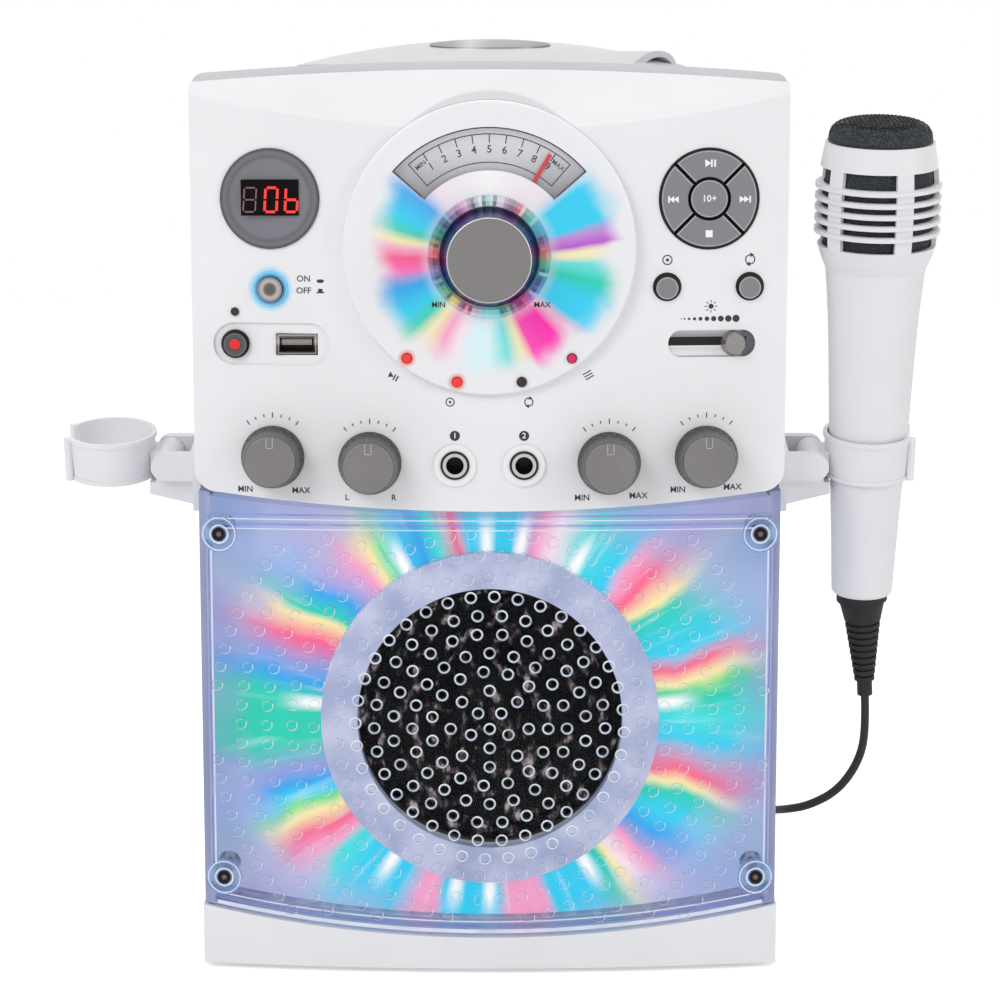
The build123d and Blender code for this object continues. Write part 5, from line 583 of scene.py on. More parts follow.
# Rings of holes and dimples: reach, count and the first one's angle.
HOLE_RINGS = ((7.45, 5, 270), (14.8, 8, 0), (22.2, 15, 0), (29.3, 20, 0), (36.7, 24, 7.5),
              (43.8, 30, 0), (51.0, 36, 8))
DIMPLE_RINGS = ((58.1, 45, 90), (67.0, 50, 115), (75.4, 60, 137.5), (85.0, 72, 4.6),
                (94.9, 80, -0.5), (105.0, 90, -0.6))


def pressed(rings, profile):
    """One bmesh with that profile turned at each place of the rings that the pane has room for."""
    mesh = bmesh.new()
    for reach, count, first in rings:
        for step in range(count):
            a = math.radians(first + 360 * step / count)
            px, pz = reach * math.cos(a), SPEAKER_Z + reach * math.sin(a)
            roomy = abs(px) <= 104.5 and 22.0 < pz < 171.5 - 0.00045 * px * px
            if roomy and from_screw(px, pz) >= 9.0:
                made = bmesh.new()
                turned(made, profile, (px, PANE_Y + bow(px), pz), (0, 1, 0), 14)
                scrap = bpy.data.meshes.new("rim")
                made.to_mesh(scrap)
                made.free()
                mesh.from_mesh(scrap)
                bpy.data.meshes.remove(scrap)
    return mesh


def holes_and_dimples():
    """Bright rims of the sound holes, and the dimples round them, both with painted highlights."""
    bright = Finish("hole rims with painted highlights", roughness=0.12, coat_weight=0.5, coat_roughness=0.03)
    lower = bright.soft_step(bright.facing()[2], -0.5, 0.4)
    patch = bright.soft_step(bright.noise(5.0), 0.3, 0.6)
    # Painted highlight: the rims are white where they face up.
    bright.set("Base Color", bright.mix(lower, srgb(168, 186, 206), srgb(246, 252, 255)))
    bright.set("Alpha", 0.55 + 0.4 * patch)
    rim = Finish("clear dimples with painted highlights", roughness=0.08, coat_weight=0.5, coat_roughness=0.03)
    across, deep, up = rim.facing()
    slant = rim.soft_step(1.0 - abs(deep), 0.02, 0.4)
    painted_shine = rim.soft_step(across * 0.6 - up * 0.8, -0.1, 0.35)
    # Painted highlight: the dimples are bright where they face down and to the right.
    rim.set("Base Color", rim.mix(painted_shine, srgb(104, 118, 168), srgb(250, 254, 255)))
    rim.set("Alpha", (0.03 + slant * (0.32 + 0.66 * painted_shine)).clamped())
    holes = pressed(((0.0, 1, 0), *HOLE_RINGS),
                    [(1.68, 0.3), (1.7, -0.1), (1.95, -0.3), (2.2, -0.22), (2.4, 0.05)])
    dimples = pressed(DIMPLE_RINGS, [(1.35, 0.02), (1.7, -0.12), (2.0, -0.32), (2.3, 0.02)])
    shaped(holes, "hole_rims", "cabinet_body", bright, 60.0)
    shaped(dimples, "window_dimples", "cabinet_body", rim, 60.0)


def pane_lines():
    """Bright and dark lines where the pane's edges bend the light."""
    light = speckled("edge light", 16.0, srgb(250, 252, 255), srgb(206, 214, 246), roughness=0.2)
    light.set("Alpha", light.soft_step(light.noise(22.0), 0.2, 0.5) * 0.5 + 0.4)
    shade = speckled("edge shade", 16.0, srgb(96, 116, 196), srgb(150, 164, 226), roughness=0.2)
    shade.set("Alpha", shade.soft_step(shade.noise(22.0), 0.3, 0.6) * 0.4 + 0.2)
    # The plinth's upper edge rises from sill_z at the middle by sill_rise at half_width.
    sill_z, sill_rise, half_width, run = 14.3, 10.9, 110.5, 7.5
    # Each finish has its side lines' x, then a level and a width for lines and rings.
    for name, finish, side_x, tops, sills, rings in (
            ("pane_glints", light, 105.3, ((176.3, 0.5), (172.6, 0.4)),
             ((6.4, 0.5), (2.6, 1.5)), ((3.7, 0.6), (6.4, 0.4))),
            ("pane_shades", shade, 106.3, ((178.0, 0.9), (174.4, 1.0)),
             ((4.9, 1.5), (8.6, 0.5)), ((7.1, 0.5), (3.0, 0.5)))):
        mesh = bmesh.new()
        for side in (-1, 1):
            bar(mesh, side * side_x, 103.0, 0.6, 122.0)
            for rise in (-SCREW_RISE, SCREW_RISE):
                for outer, width in rings:
                    hoop(mesh, side * SCREW_X, SCREW_MIDDLE_Z + rise, outer, width)
        for part in range(-14, 14):
            px = (part + 0.5) * run
            for top_z, thick in tops:
                bar(mesh, px, top_z, run, thick)
            sill = sill_z + sill_rise * (px / half_width) ** 2
            slope = math.atan(2 * sill_rise * px / half_width ** 2)
            for above, thick in sills:
                bar(mesh, px, sill + above, run / math.cos(slope), thick, math.degrees(slope))
        lay(mesh, lambda x: PANE_Y + bow(x) - 0.05)
        shaped(mesh, name, "cabinet_body", finish)


def speaker(glow):
    """Lit ring, crinkled film with painted glints, basket and the boards of the lamps."""
    halo = Finish("milky ring", roughness=0.3, coat_weight=0.4)
    haze = halo.soft_step(halo.noise(16.0, 3.0), 0.3, 0.7)
    tone = halo.mix(haze, srgb(158, 168, 204), srgb(196, 200, 226))
    halo.set("Base Color", tone).set("Emission Color", tone)
    halo.set("Emission Strength", glow.window * 0.15).wear("speaker_ring")
    cone = Finish("crinkled speaker film with painted glints", specular_ior_level=0.06)
    painted_glints = cone.noise(4.5, 3.0, stretch=(1, 1, 0.6))
    # Painted glints: pale spots on the black film stand for lamps reflected in its crinkles.
    cone.set("Base Color", cone.ramp(painted_glints, [
        (0.0, BLACK), (0.5, srgb(3, 2, 3)), (0.57, srgb(26, 23, 24)),
        (0.63, srgb(84, 76, 78)), (0.72, srgb(196, 182, 182))]))
    cone.set("Roughness", 0.12 + 0.2 * painted_glints).bump(cone.noise(7.0, 5.0), 3.0).wear("speaker_cone")
    moulded("speaker basket", srgb(120, 121, 126), 0.4, metallic=0.6).wear("speaker_frame")
    moulded("lamp board", srgb(238, 240, 238), 0.5, depth=0.005).wear("light_boards")


class KARAOKE_OT_window(bpy.types.Operator):
    """Speaker window, the coloured light behind it, the lit ring and the speaker"""
    bl_idname = "karaoke.window"
    bl_label = "Speaker window"

    def execute(self, context):
        glow = context.scene.karaoke_glow
        clear_pane()
        beams_behind(glow)
        holes_and_dimples()
        pane_lines()
        speaker(glow)
        return {"FINISHED"}


# ---- Dial ----
# Light round the knob: angle, colour, strength and how far it reaches.
WEDGES = [(-180, "rose", 1, 41), (-171, "magenta", 0.7, 40), (-166, "lilac", 0.9, 42),
          (-160, "blue", 1, 42), (-146, "cyan", 1, 42), (-137, "teal", 0.9, 43),
          (-129, "cream", 0.7, 40), (-119, "pink", 0.95, 42), (-110, "blush", 0.7, 44),
          (-101, "ice", 0.7, 44), (-90, "ice", 0.8, 43), (-80, "aqua", 0.75, 43),
          (-72, "cream", 0.7, 40), (-66, "magenta", 0.9, 45), (-50, "magenta", 1, 43),
          (-43, "pink", 0.6, 42), (-36, "cyan", 1, 47), (-24, "cyan", 1, 49),
          (-13, "teal", 1, 49), (-4, "aqua", 0.8, 46), (0, "cream", 0.7, 44),
          (3, "cream", 0.6, 44), (7, "violet", 1, 49), (13, "violet", 0.7, 48),
          (19, "cyan", 1, 49), (37, "cyan", 1, 49), (50, "blush", 0.3, 47),
          (90, "white", 0.5, 45), (128, "blush", 0.3, 44), (141, "blue", 0.9, 45),
          (155, "cyan", 1, 45), (163, "teal", 0.9, 43), (169, "cream", 0.8, 42),
          (174, "pink", 0.9, 41), (180, "rose", 1, 41)]


def lit_disc(shell, glow):
    """The white disc with the coloured light round its knob."""
    lit = Finish("lit dial", roughness=0.32, coat_weight=0.25, coat_roughness=0.2)
    x, y, z = lit.place()
    dz = z - KNOB_Z
    radius = span(x, dz)
    turn = dz.angle_to(x) + (lit.noise(26.0) - 0.5) * 0.02
    farthest = 60.0
    colour = lit.fan(turn, [(a, HUES[hue]) for a, hue, amount, far in WEDGES])
    strength = lit.fan(turn, [(a, level(amount)) for a, hue, amount, far in WEDGES])
    reach = lit.fan(turn, [(a, level(far / farthest)) for a, hue, amount, far in WEDGES])
    edge = reach * farthest + (lit.noise(11.0) - 0.5) * 9.0
    fall = lit.soft_step(edge - radius, -3.0, 8.0)
    rim = lit.soft_step(radius, 22.0, 27.0) * 0.55 + 0.45
    front = y < DIAL_FACE_Y + 0.5
    amount = (fall * strength * rim * front).clamped()
    hue = lit.mix(amount, shell.colour, colour)
    lit.set("Base Color", lit.mix(amount * glow.dial, hue, BLACK))
    lit.set("Emission Color", lit.mix(amount, BLACK, colour))
    lit.set("Emission Strength", glow.dial).bump(lit.noise(0.35, 3.0), 0.008)
    lit.wear("dial_disc")


def gauge(marks):
    """Silvered gauge with its scale, outlines, glass and red needle."""
    face = Finish("gauge face", metallic=0.35, roughness=0.34)
    # Painted reflection: the silvered face is pale at the top and darker towards the bottom.
    low = face.soft_step(face.place()[2], 318.0, 296.0)
    grain = face.noise(0.4, stretch=(1, 1, 0.05))
    face.set("Base Color", face.mix((low * 0.8 + grain * 0.2).clamped(), srgb(226, 227, 231),
                                    srgb(146, 142, 152)))
    face.bump(grain, 0.006).wear("gauge_face")
    lens = speckled("gauge glass", 8.0, srgb(250, 250, 252), srgb(240, 242, 248), roughness=0.04,
                    coat_weight=0.2)
    lens.set("Alpha", 0.03 + 0.4 * (1.0 - abs(lens.facing()[1]))).wear("gauge_lens")
    speckled("red needle", 2.0, srgb(226, 24, 28), srgb(198, 14, 22),
             roughness=0.35).wear("gauge_needle")
    ink = printed("printed ink", marks.ink)
    scale = bmesh.new()
    for step in range(9):
        turn = 33.0 - 8.25 * step
        bar(scale, *spoke(43.0, turn), 0.42, 3.2, turn)
        words(scale, str(step + 1), *spoke(39.0, turn), 2.7, turn)
    for side, text in ((1, "MIN"), (-1, "MAX")):
        words(scale, text, *spoke(41.6, side * 37.2), 1.7, side * 39.0)
    lay(scale, lambda x: GAUGE_Y - PRINT)
    shaped(scale, "gauge_scale", "cabinet_body", ink)
    outline = bmesh.new()
    count = 40
    for radius, width, half in ((46.9, 0.45, 48.6), (34.3, 0.4, 41.5), (44.6, 0.4, 41.5)):
        chord = 2 * radius * math.tan(math.radians(half / count)) * 1.04
        for step in range(count):
            turn = half - 2 * half * (step + 0.5) / count
            bar(outline, *spoke(radius, turn), chord, width, turn)
    for half, inner, outer in ((48.6, 33.0, 46.9), (41.5, 34.1, 44.8)):
        for turn in (-half, half):
            bar(outline, *spoke((inner + outer) / 2, turn), 0.4, outer - inner, turn)
    lay(outline, lambda x: GAUGE_Y - PRINT + 0.01)
    shaped(outline, "gauge_outline", "cabinet_body", ink)
    labels = bmesh.new()
    for text, px in (("MIN", -18.7), ("MAX", 19.4)):
        words(labels, text, px, 257.9, marks.height * 900)
    lay(labels, lambda x: DIAL_FACE_Y - PRINT)
    shaped(labels, "dial_labels", "cabinet_body", ink)


def crystal_ring(glow):
    """Bright and dark facets in the colours of the light under them."""
    facets = Finish("faceted crystal", roughness=0.08, coat_weight=0.6, coat_roughness=0.04)
    x, y, z = facets.place()
    dz = z - KNOB_Z
    turn = dz.angle_to(x)
    cell = turn.math("FLOOR", turn * 96.0)
    chance, other = [facets.add("ShaderNodeTexWhiteNoise", {"noise_dimensions": "1D"},
                                {"W": cell + shift}, "Value") for shift in (0.0, 0.5)]
    band = facets.ramp(turn, [
        (0.0, srgb(196, 66, 92)), (0.03, srgb(120, 90, 170)), (0.09, srgb(52, 150, 130)),
        (0.14, srgb(200, 190, 90)), (0.18, srgb(220, 80, 120)), (0.24, srgb(120, 210, 214)),
        (0.3, srgb(70, 190, 180)), (0.34, srgb(214, 40, 100)), (0.4, srgb(90, 90, 190)),
        (0.45, srgb(50, 120, 170)), (0.48, srgb(40, 160, 110)), (0.52, srgb(190, 60, 80)),
        (0.57, srgb(70, 130, 170)), (0.63, srgb(60, 170, 150)), (0.66, srgb(200, 70, 90)),
        (0.7, srgb(214, 190, 214)), (0.76, srgb(160, 210, 190)), (0.82, srgb(200, 130, 180)),
        (0.88, srgb(60, 80, 130)), (0.94, srgb(40, 140, 90)), (0.98, srgb(220, 90, 80))])
    tone = facets.mix(facets.soft_step(chance, 0.75, 1.0) * 0.55, band, HUES["ice"])
    tone = facets.mix(facets.soft_step(other, 0.45, 0.9) * 0.75, tone, srgb(30, 28, 84))
    outer = facets.soft_step(span(x, dz), 22.0, 22.6) * 0.5
    tone = facets.mix(outer, tone, srgb(150, 176, 206))
    facets.set("Base Color", tone).set("Emission Color", tone)
    facets.set("Emission Strength", glow.dial * 0.4).wear("crystal_ring")


def volume_knob():
    """Knob with a brushed face, a bright edge round it, and a dark indigo side that is a painted
    reflection.
    """
    knob = Finish("volume knob")
    x, y, z = knob.place()
    top = y < KNOB_FACE_Y
    bevel = top * knob.soft_step(span(x, z - KNOB_Z), 14.9, 15.2)
    speck = knob.noise(0.5)
    sweep = knob.noise(24.0, 1.0)
    brushed = knob.mix((speck * 0.7 + sweep * 0.3).clamped(), srgb(112, 108, 106), srgb(150, 148, 148))
    # Painted reflection: the glossy side is painted dark indigo in place of what it mirrors.
    side = knob.mix(knob.noise(5.0), srgb(18, 12, 62), srgb(40, 28, 104))
    knob.set("Base Color", knob.mix(bevel, knob.mix(top, side, brushed), srgb(226, 226, 230)))
    knob.set("Metallic", top * 0.6).set("Roughness", 0.3 + top * 0.12)
    knob.bump(speck, 0.02).wear("volume_knob")


class KARAOKE_OT_dial(bpy.types.Operator):
    """Lit disc, gauge, crystal ring and volume knob"""
    bl_idname = "karaoke.dial"
    bl_label = "Dial"

    def execute(self, context):
        scene = context.scene
        lit_disc(scene.karaoke_shell, scene.karaoke_glow)
        gauge(scene.karaoke_marks)
        crystal_ring(scene.karaoke_glow)
        volume_knob()
        moulded("white gear", srgb(236, 236, 236), 0.5).wear("idler_gear")
        return {"FINISHED"}


# ---- Controls of the panel ----
def keys(shell):
    """Satin keys with painted highlights along their face edges, and near-black painted shade on their
    sides and round their faces, so that the gaps between them read black.
    """
    cross = (CLUSTER_X, CLUSTER_Z)
    # Each finish has its keys, their middle, the face's radius and how far the face's circle is moved
    # down, so that the painted shade round it is thicker at the top.
    for name, nodes, middle, face_radius, shadow_shift in (
            ("keypad", ("up_key", "down_key", "left_key", "right_key"), cross, 17.55, 0.0),
            ("skip_key", ("skip_key",), cross, 6.75, 0.0),
            ("source_button", ("source_button",), SOURCE, 4.05, 0.45),
            ("repeat_button", ("repeat_button",), REPEAT, 4.05, 0.45),
            ("record_button", ("record_button",), RECORD, 4.25, 0.2)):
        key = Finish(name, metallic=0.25)
        x, y, z = key.place()
        dx, dz = x - middle[0], z - (middle[1] - shadow_shift)
        radius = span(dx, dz)
        speck = key.noise(0.45)
        colour = srgb(88, 86, 86) if name == "record_button" else shell.key_colour
        light = scaled(colour, 1.9)
        shade = key.mix(speck, scaled(colour, 0.8), colour)
        # Painted highlight: a light line just inside each face's edge.
        rim = key.soft_step(radius, face_radius - 0.55, face_radius - 0.2) * 0.8
        shade = key.mix(rim, shade, light)
        if name == "keypad":
            # Painted highlight along the edges of the gaps between the keypad's keys.
            gap = abs(abs(dx) - abs(dz)) * math.sqrt(0.5)
            shade = key.mix(key.soft_step(gap, 1.25, 1.0) * 0.75, shade, light)
        # Painted shade: sides and the band outside each face are near black.
        face = (key.soft_step(abs(key.facing()[1]), 0.6, 0.9)
                * key.soft_step(radius, face_radius + 0.1, face_radius - 0.1))
        key.set("Base Color", key.mix(face, srgb(9, 9, 10), shade))
        key.set("Roughness", 0.42 + 0.12 * speck).bump(speck, 0.02).wear(*nodes)


def key_wells():
    """Black rims of the keys' holes, and dark sheets of painted shade behind the keys."""
    black = moulded("black surround and painted shade", srgb(9, 9, 10), 0.45, depth=0.006)
    rims, wells = bmesh.new(), bmesh.new()
    for centre, inner, outer, well in ((SOURCE, 4.65, 5.3, 5.25), (REPEAT, 4.65, 5.3, 5.25),
                                       (RECORD, 4.65, 5.3, 5.25),
                                       ((CLUSTER_X, CLUSTER_Z), 18.25, 18.7, 18.5)):
        hoop(rims, *centre, outer, outer - inner, 64)
        plate(wells, *centre, 48, well)
    shaped(lay(rims, on_panel(0.25)), "button_surrounds", "cabinet_body", black)
    # The wells are dark sheets of painted shade behind the keys.
    shaped(lay(wells, on_panel(-4.8)), "button_wells", "cabinet_body", black)


def key_symbols():
    """White play, stop and skip signs on the keys, and the red dot on the record button."""
    white = speckled("white print", 0.6, srgb(250, 250, 250), srgb(222, 222, 224), 0.4,
                     roughness=0.5)
    symbols = {name: bmesh.new() for name in ("up", "down", "left", "right", "skip")}
    play_x, play_z, side_z = 79.9, 309.4, 296.2
    arrow(symbols["up"], play_x, play_z, 1.45, 1)
    for offset in (1.7, 2.9):
        bar(symbols["up"], play_x + offset, play_z, 0.65, 2.7)
    bar(symbols["left"], 65.9, side_z, 0.6, 2.5)
    for px in (67.2, 68.9):
        arrow(symbols["left"], px, side_z, 1.25, -1)
    for px in (92.7, 94.4):
        arrow(symbols["right"], px, side_z, 1.25, 1)
    bar(symbols["right"], 96.0, side_z, 0.6, 2.5)
    bar(symbols["down"], CLUSTER_X, 283.6, 2.6, 2.6)
    words(symbols["skip"], "10+", CLUSTER_X, CLUSTER_Z, 2.4)
    for name, mesh in symbols.items():
        shaped(lay(mesh, on_panel(0.86)), name + "_symbol", name + "_press_body", white)
    red = speckled("red dot", 1.0, srgb(240, 36, 40), srgb(214, 24, 32), roughness=0.4)
    mesh = bmesh.new()
    plate(mesh, *RECORD, 24, 2.0)
    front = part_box("record_button")[0].y * 1000
    lay(mesh, lambda x: front - 0.05)
    shaped(mesh, "record_symbol", "record_press_body", red)


# A digit's bars: its letter, then its place across and up, and whether it lies flat.
SEGMENTS = (("a", 0, 2, True), ("b", 1, 1, False), ("c", 1, -1, False), ("d", 0, -2, True),
            ("e", -1, -1, False), ("f", -1, 1, False), ("g", 0, 0, True))


def display():
    """Smoked lens, the dark glass in it and its lit and unlit bars."""
    smoke = Finish("smoked lens", roughness=0.2, coat_weight=0.5, coat_roughness=0.05)
    tone = smoke.ramp(smoke.around(-CLUSTER_X, CLUSTER_Z) / 20.0, [
        (0.0, srgb(122, 121, 130)), (0.7, srgb(118, 117, 126)), (0.77, srgb(92, 92, 100)),
        (0.85, srgb(108, 108, 116)), (0.9, srgb(62, 62, 68)), (1.0, srgb(40, 40, 44))])
    smoke.set("Base Color", smoke.mix(smoke.noise(12.0) * 0.25, tone, srgb(96, 95, 104)))
    smoke.wear("display_lens")
    glass = speckled("display glass", 3.0, srgb(4, 1, 3), srgb(18, 5, 10), roughness=0.3,
                     specular_ior_level=0.1)
    mesh = bmesh.new()
    bar(mesh, -80.6, 296.9, 21.2, 13.2)
    glass_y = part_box("display_lens")[0].y * 1000 - 0.05
    shaped(lay(mesh, lambda x: glass_y), "display_window", "cabinet_body", glass)
    bright = Finish("lit segments", roughness=0.4, emission_strength=1.0)
    bright.set("Emission Color", bright.mix(bright.noise(1.2), srgb(255, 74, 48), srgb(250, 40, 34)))
    bright.set("Base Color", srgb(120, 20, 16))
    pale = speckled("unlit segments", 1.2, srgb(150, 112, 116), srgb(112, 80, 86), roughness=0.4)
    for name, finish, thick, digits in (
            ("lit", bright, 0.95, ((-80.1, "abcdef"), (-72.6, "cdefg"))),
            ("unlit", pale, 0.5, ((-87.9, "abcdefg"),))):
        mesh = bmesh.new()
        for px, shown in digits:
            for letter, sideways, up, is_flat in SEGMENTS:
                if letter in shown:
                    centre = px + sideways * 2.2 + up * 0.14, 296.1 + up * 2.2
                    size = (3.4, thick, 0.0) if is_flat else (3.7, thick, 86.4)
                    bar(mesh, *centre, *size)
        shaped(lay(mesh, lambda x: glass_y - 0.05), name + "_segments", "cabinet_body", finish)


def power_and_lamps():
    """Power button, its glowing ring and the small lamps, with soft halos round the lit ones."""
    power = Finish("power button", metallic=0.8)
    speck = power.noise(0.6)
    # Painted reflection: a bright ring a little inside the edge, darker in the middle and at the edge.
    power.set("Base Color", power.ramp(power.around(*POWER) / 5.0, [
        (0.0, srgb(96, 92, 92)), (0.4, srgb(112, 108, 108)), (0.6, srgb(196, 190, 188)),
        (0.85, srgb(150, 148, 150)), (1.0, srgb(60, 60, 66))]))
    power.set("Roughness", 0.25 + 0.15 * speck).bump(speck, 0.01).wear("power_button")

    # One node holds the power button's ring, at the far left, and the lamps.
    lamp = Finish("lamps", roughness=0.15, coat_weight=0.6, emission_strength=0.6)
    x, y, z = lamp.place()
    at_left = x < -70.0
    ring = (at_left * (z > 256.5)).clamped()
    lit_pair = (x > -40.0) * (x < -5.0)
    far_right = (x > 22.0) * 1.0
    tone = lamp.mix(lit_pair, srgb(36, 12, 12), srgb(236, 30, 26))
    tone = lamp.mix(far_right, tone, srgb(196, 8, 76))
    tone = lamp.mix(ring, tone, lamp.ramp((span(x - POWER[0], z - POWER[1]) - 4.6) / 2.0, [
        (0.0, srgb(44, 96, 132)), (0.4, srgb(70, 150, 196)), (0.75, srgb(112, 190, 226)),
        (1.0, srgb(150, 212, 238))]))
    nearest = span(x - LAMPS[0][0], z - LAMPS[0][1])
    for px, pz in LAMPS[1:]:
        nearest = nearest.smaller(span(x - px, z - pz))
    edge = lamp.soft_step(nearest, 1.1, 1.75) * (1.0 - at_left) * 0.8
    tone = lamp.mix(edge, tone, srgb(40, 10, 14))
    lamp.set("Base Color", tone).wear("indicator_lights")
    glow = (lit_pair + ring * 0.35 + far_right * 0.5).clamped()
    lamp.set("Emission Color", lamp.mix(glow, BLACK, tone))

    soft = Finish("halo of light", roughness=0.5, emission_strength=0.2)
    x, y, z = soft.place()
    mesh = bmesh.new()
    glows = []
    for px, pz, inner, outer in ((*POWER, 6.35, 9.0), (*LAMPS[0], 1.95, 4.0),
                                 (*LAMPS[1], 1.95, 4.0)):
        hoop(mesh, px, pz, outer, outer - inner, 40)
        glows.append(soft.soft_step(span(x - px, z - pz), outer, inner - 0.8))
    hue = soft.mix(x > -60.0, srgb(120, 212, 244), srgb(250, 120, 96))
    soft.set("Base Color", hue).set("Emission Color", hue)
    soft.set("Alpha", (glows[0].larger(glows[1]).larger(glows[2]) * 0.6).clamped())
    dial_reach = 54
    lay(mesh, lambda x: DIAL_FACE_Y - 0.05 if abs(x) < dial_reach else PANEL_Y + bow(x) - 0.05)
    shaped(mesh, "lamp_halos", "cabinet_body", soft)


def socket_and_slider():
    """Data socket with its tongue, and the light slider's cap."""
    chrome = Finish("socket metal", metallic=0.9)
    x, y, z = chrome.place()
    # Painted reflection: the metal is dark low down and brightest a little above the middle.
    painted_shine = chrome.ramp((z - 238.8) / 7.8, [
        (0.0, srgb(40, 38, 36)), (0.4, srgb(90, 84, 80)), (0.6, srgb(236, 228, 222)),
        (1.0, srgb(150, 146, 142))])
    half_width, half_height = 6.0, 2.4
    inset = (half_width - abs(x - USB[0])).smaller(half_height - abs(z - USB[1]))
    # Painted shade and highlight: near black round the socket's edge and in its mouth, a bright line
    # between.
    outline = chrome.ramp(inset + 1.5, [
        (0.0, srgb(12, 11, 11)), (0.25, srgb(22, 20, 20)), (0.5, srgb(232, 226, 220)),
        (0.8, srgb(92, 86, 82)), (1.0, srgb(30, 28, 27))])
    chrome.set("Base Color", chrome.mix(0.6, painted_shine, outline))
    chrome.set("Roughness", 0.2 + 0.1 * chrome.noise(1.0)).wear("usb_socket")
    mesh = bmesh.new()
    bar(mesh, USB[0], 243.55, 10.9, 2.2)
    lay(mesh, lambda x: PANEL_Y + bow(USB[0]) + 1.9)
    cream = moulded("socket tongue", srgb(240, 228, 218), 0.5)
    shaped(mesh, "usb_tongue", "cabinet_body", cream)
    cap = Finish("slider cap", metallic=0.7)
    speck = cap.noise(0.5)
    cap.set("Base Color", cap.mix(speck, srgb(128, 124, 122), srgb(172, 168, 166)))
    cap.set("Roughness", 0.3 + 0.15 * speck).bump(speck, 0.02).wear("light_slider")


class KARAOKE_OT_controls(bpy.types.Operator):
    """Display, keys, buttons, socket, slider and lights of the panel"""
    bl_idname = "karaoke.controls"
    bl_label = "Panel controls"

    def execute(self, context):
        keys(context.scene.karaoke_shell)
        key_wells()
        key_symbols()
        display()
        power_and_lamps()
        socket_and_slider()
        return {"FINISHED"}


# ---- Print ----
def letters_and_scales(mesh, tall):
    """Words and scales of the knobs, the power switch's signs and the light slider's marks."""
    for text, px, pz in (("MIN", -91.4, 188.2), ("MAX", -70.4, 188.0), ("L", -53.2, 185.6),
                         ("R", -35.7, 185.6), ("MIN", 34.5, 185.6), ("MAX", 55.5, 186.2),
                         ("MIN", 70.3, 188.3), ("MAX", 90.9, 189.0), ("ON", -68.6, 267.0),
                         ("OFF", -68.6, 262.6)):
        words(mesh, text, px, pz, tall)
    for centre in KNOBS.values():
        for step in range(7):
            turn = 36 - 12 * step
            bar(mesh, *spoke(15.6, turn, *centre), 0.4, 1.9 if step % 3 == 0 else 1.1, turn)
    # A switch pressed in beside ON, and one that stands out beside OFF.
    switch_x = -62.4
    plate(mesh, switch_x, 266.2, 16, 1.4, 0.0, 1.0, 0.5)
    bar(mesh, switch_x, 262.0, 2.8, 0.5)
    bar(mesh, switch_x, 262.8, 1.6, 1.2)
    for place in range(10):
        plate(mesh, 71.0 + 20.4 * (place / 9) ** 1.3, 252.2, 20, 0.22 + 0.125 * place)
    sun = (82.0, 256.8)
    plate(mesh, *sun, 20, 0.95)
    for turn in range(0, 360, 45):
        bar(mesh, *spoke(1.9, turn - 90, *sun), 0.9, 0.32, turn)


def ring_signs(mesh, left, right, radius, width, dot, tip, tip_offset):
    """A disc sign, and a repeat sign with its two arrow tips."""
    hoop(mesh, *left, radius, width, 28)
    plate(mesh, *left, *dot)
    hoop(mesh, *right, radius, width, 28)
    for way in (1, -1):
        plate(mesh, right[0] + way * tip_offset[0], right[1] + way * tip_offset[1], 3, tip, -90.0 * way)


class KARAOKE_OT_marks(bpy.types.Operator):
    """Printed marks and plain symbols of the panel"""
    bl_idname = "karaoke.marks"
    bl_label = "Marks"

    def execute(self, context):
        marks = context.scene.karaoke_marks
        ink = printed("panel ink", marks.ink)
        mesh = bmesh.new()
        letters_and_scales(mesh, marks.height * 1000)
        sign_z = 274.0
        ring_signs(mesh, (SOURCE[0], sign_z), (REPEAT[0], sign_z), 1.9, 0.42, (16, 0.6), 1.0,
                   (0.5, 1.7))
        shaped(lay(mesh, on_panel()), "panel_marks", "cabinet_body", ink)

        pale = speckled("reversed print", 0.6, srgb(248, 248, 248), srgb(222, 222, 224), 0.4,
                        roughness=0.5)
        dots, numbers = bmesh.new(), bmesh.new()
        for px, text in zip(JACKS, "12"):
            plate(dots, px, JACK_SIGN_Z, 32, 1.9)
            words(numbers, text, px, JACK_SIGN_Z, 2.0)
        shaped(lay(dots, on_panel()), "jack_dots", "cabinet_body", ink)
        shaped(lay(numbers, on_panel(2 * PRINT)), "jack_numbers", "cabinet_body", pale)

        # Signs under the four lamps of the dial: play and pause, disc, repeat and a list.
        mesh = bmesh.new()
        outer_x, outer_z, tilt = 36.6, 231.6, 30.0
        plate(mesh, -outer_x, outer_z, 3, 1.3, -120.0)
        for offset in (1.6, 2.7):
            bar(mesh, *spoke(offset, -tilt - 90, -outer_x, outer_z), 0.5, 2.3, -tilt)
        for row in (-1, 0, 1):
            bar(mesh, *spoke(row * 1.1, tilt, outer_x, outer_z), 3.4, 0.42, tilt)
        ring_signs(mesh, (-14.6, 221.6), (14.6, 221.6), 1.7, 0.4, (14, 0.5), 0.85, (0.4, 1.5))
        shaped(lay(mesh, on_panel()), "lamp_signs", "cabinet_body", ink)
        return {"FINISHED"}


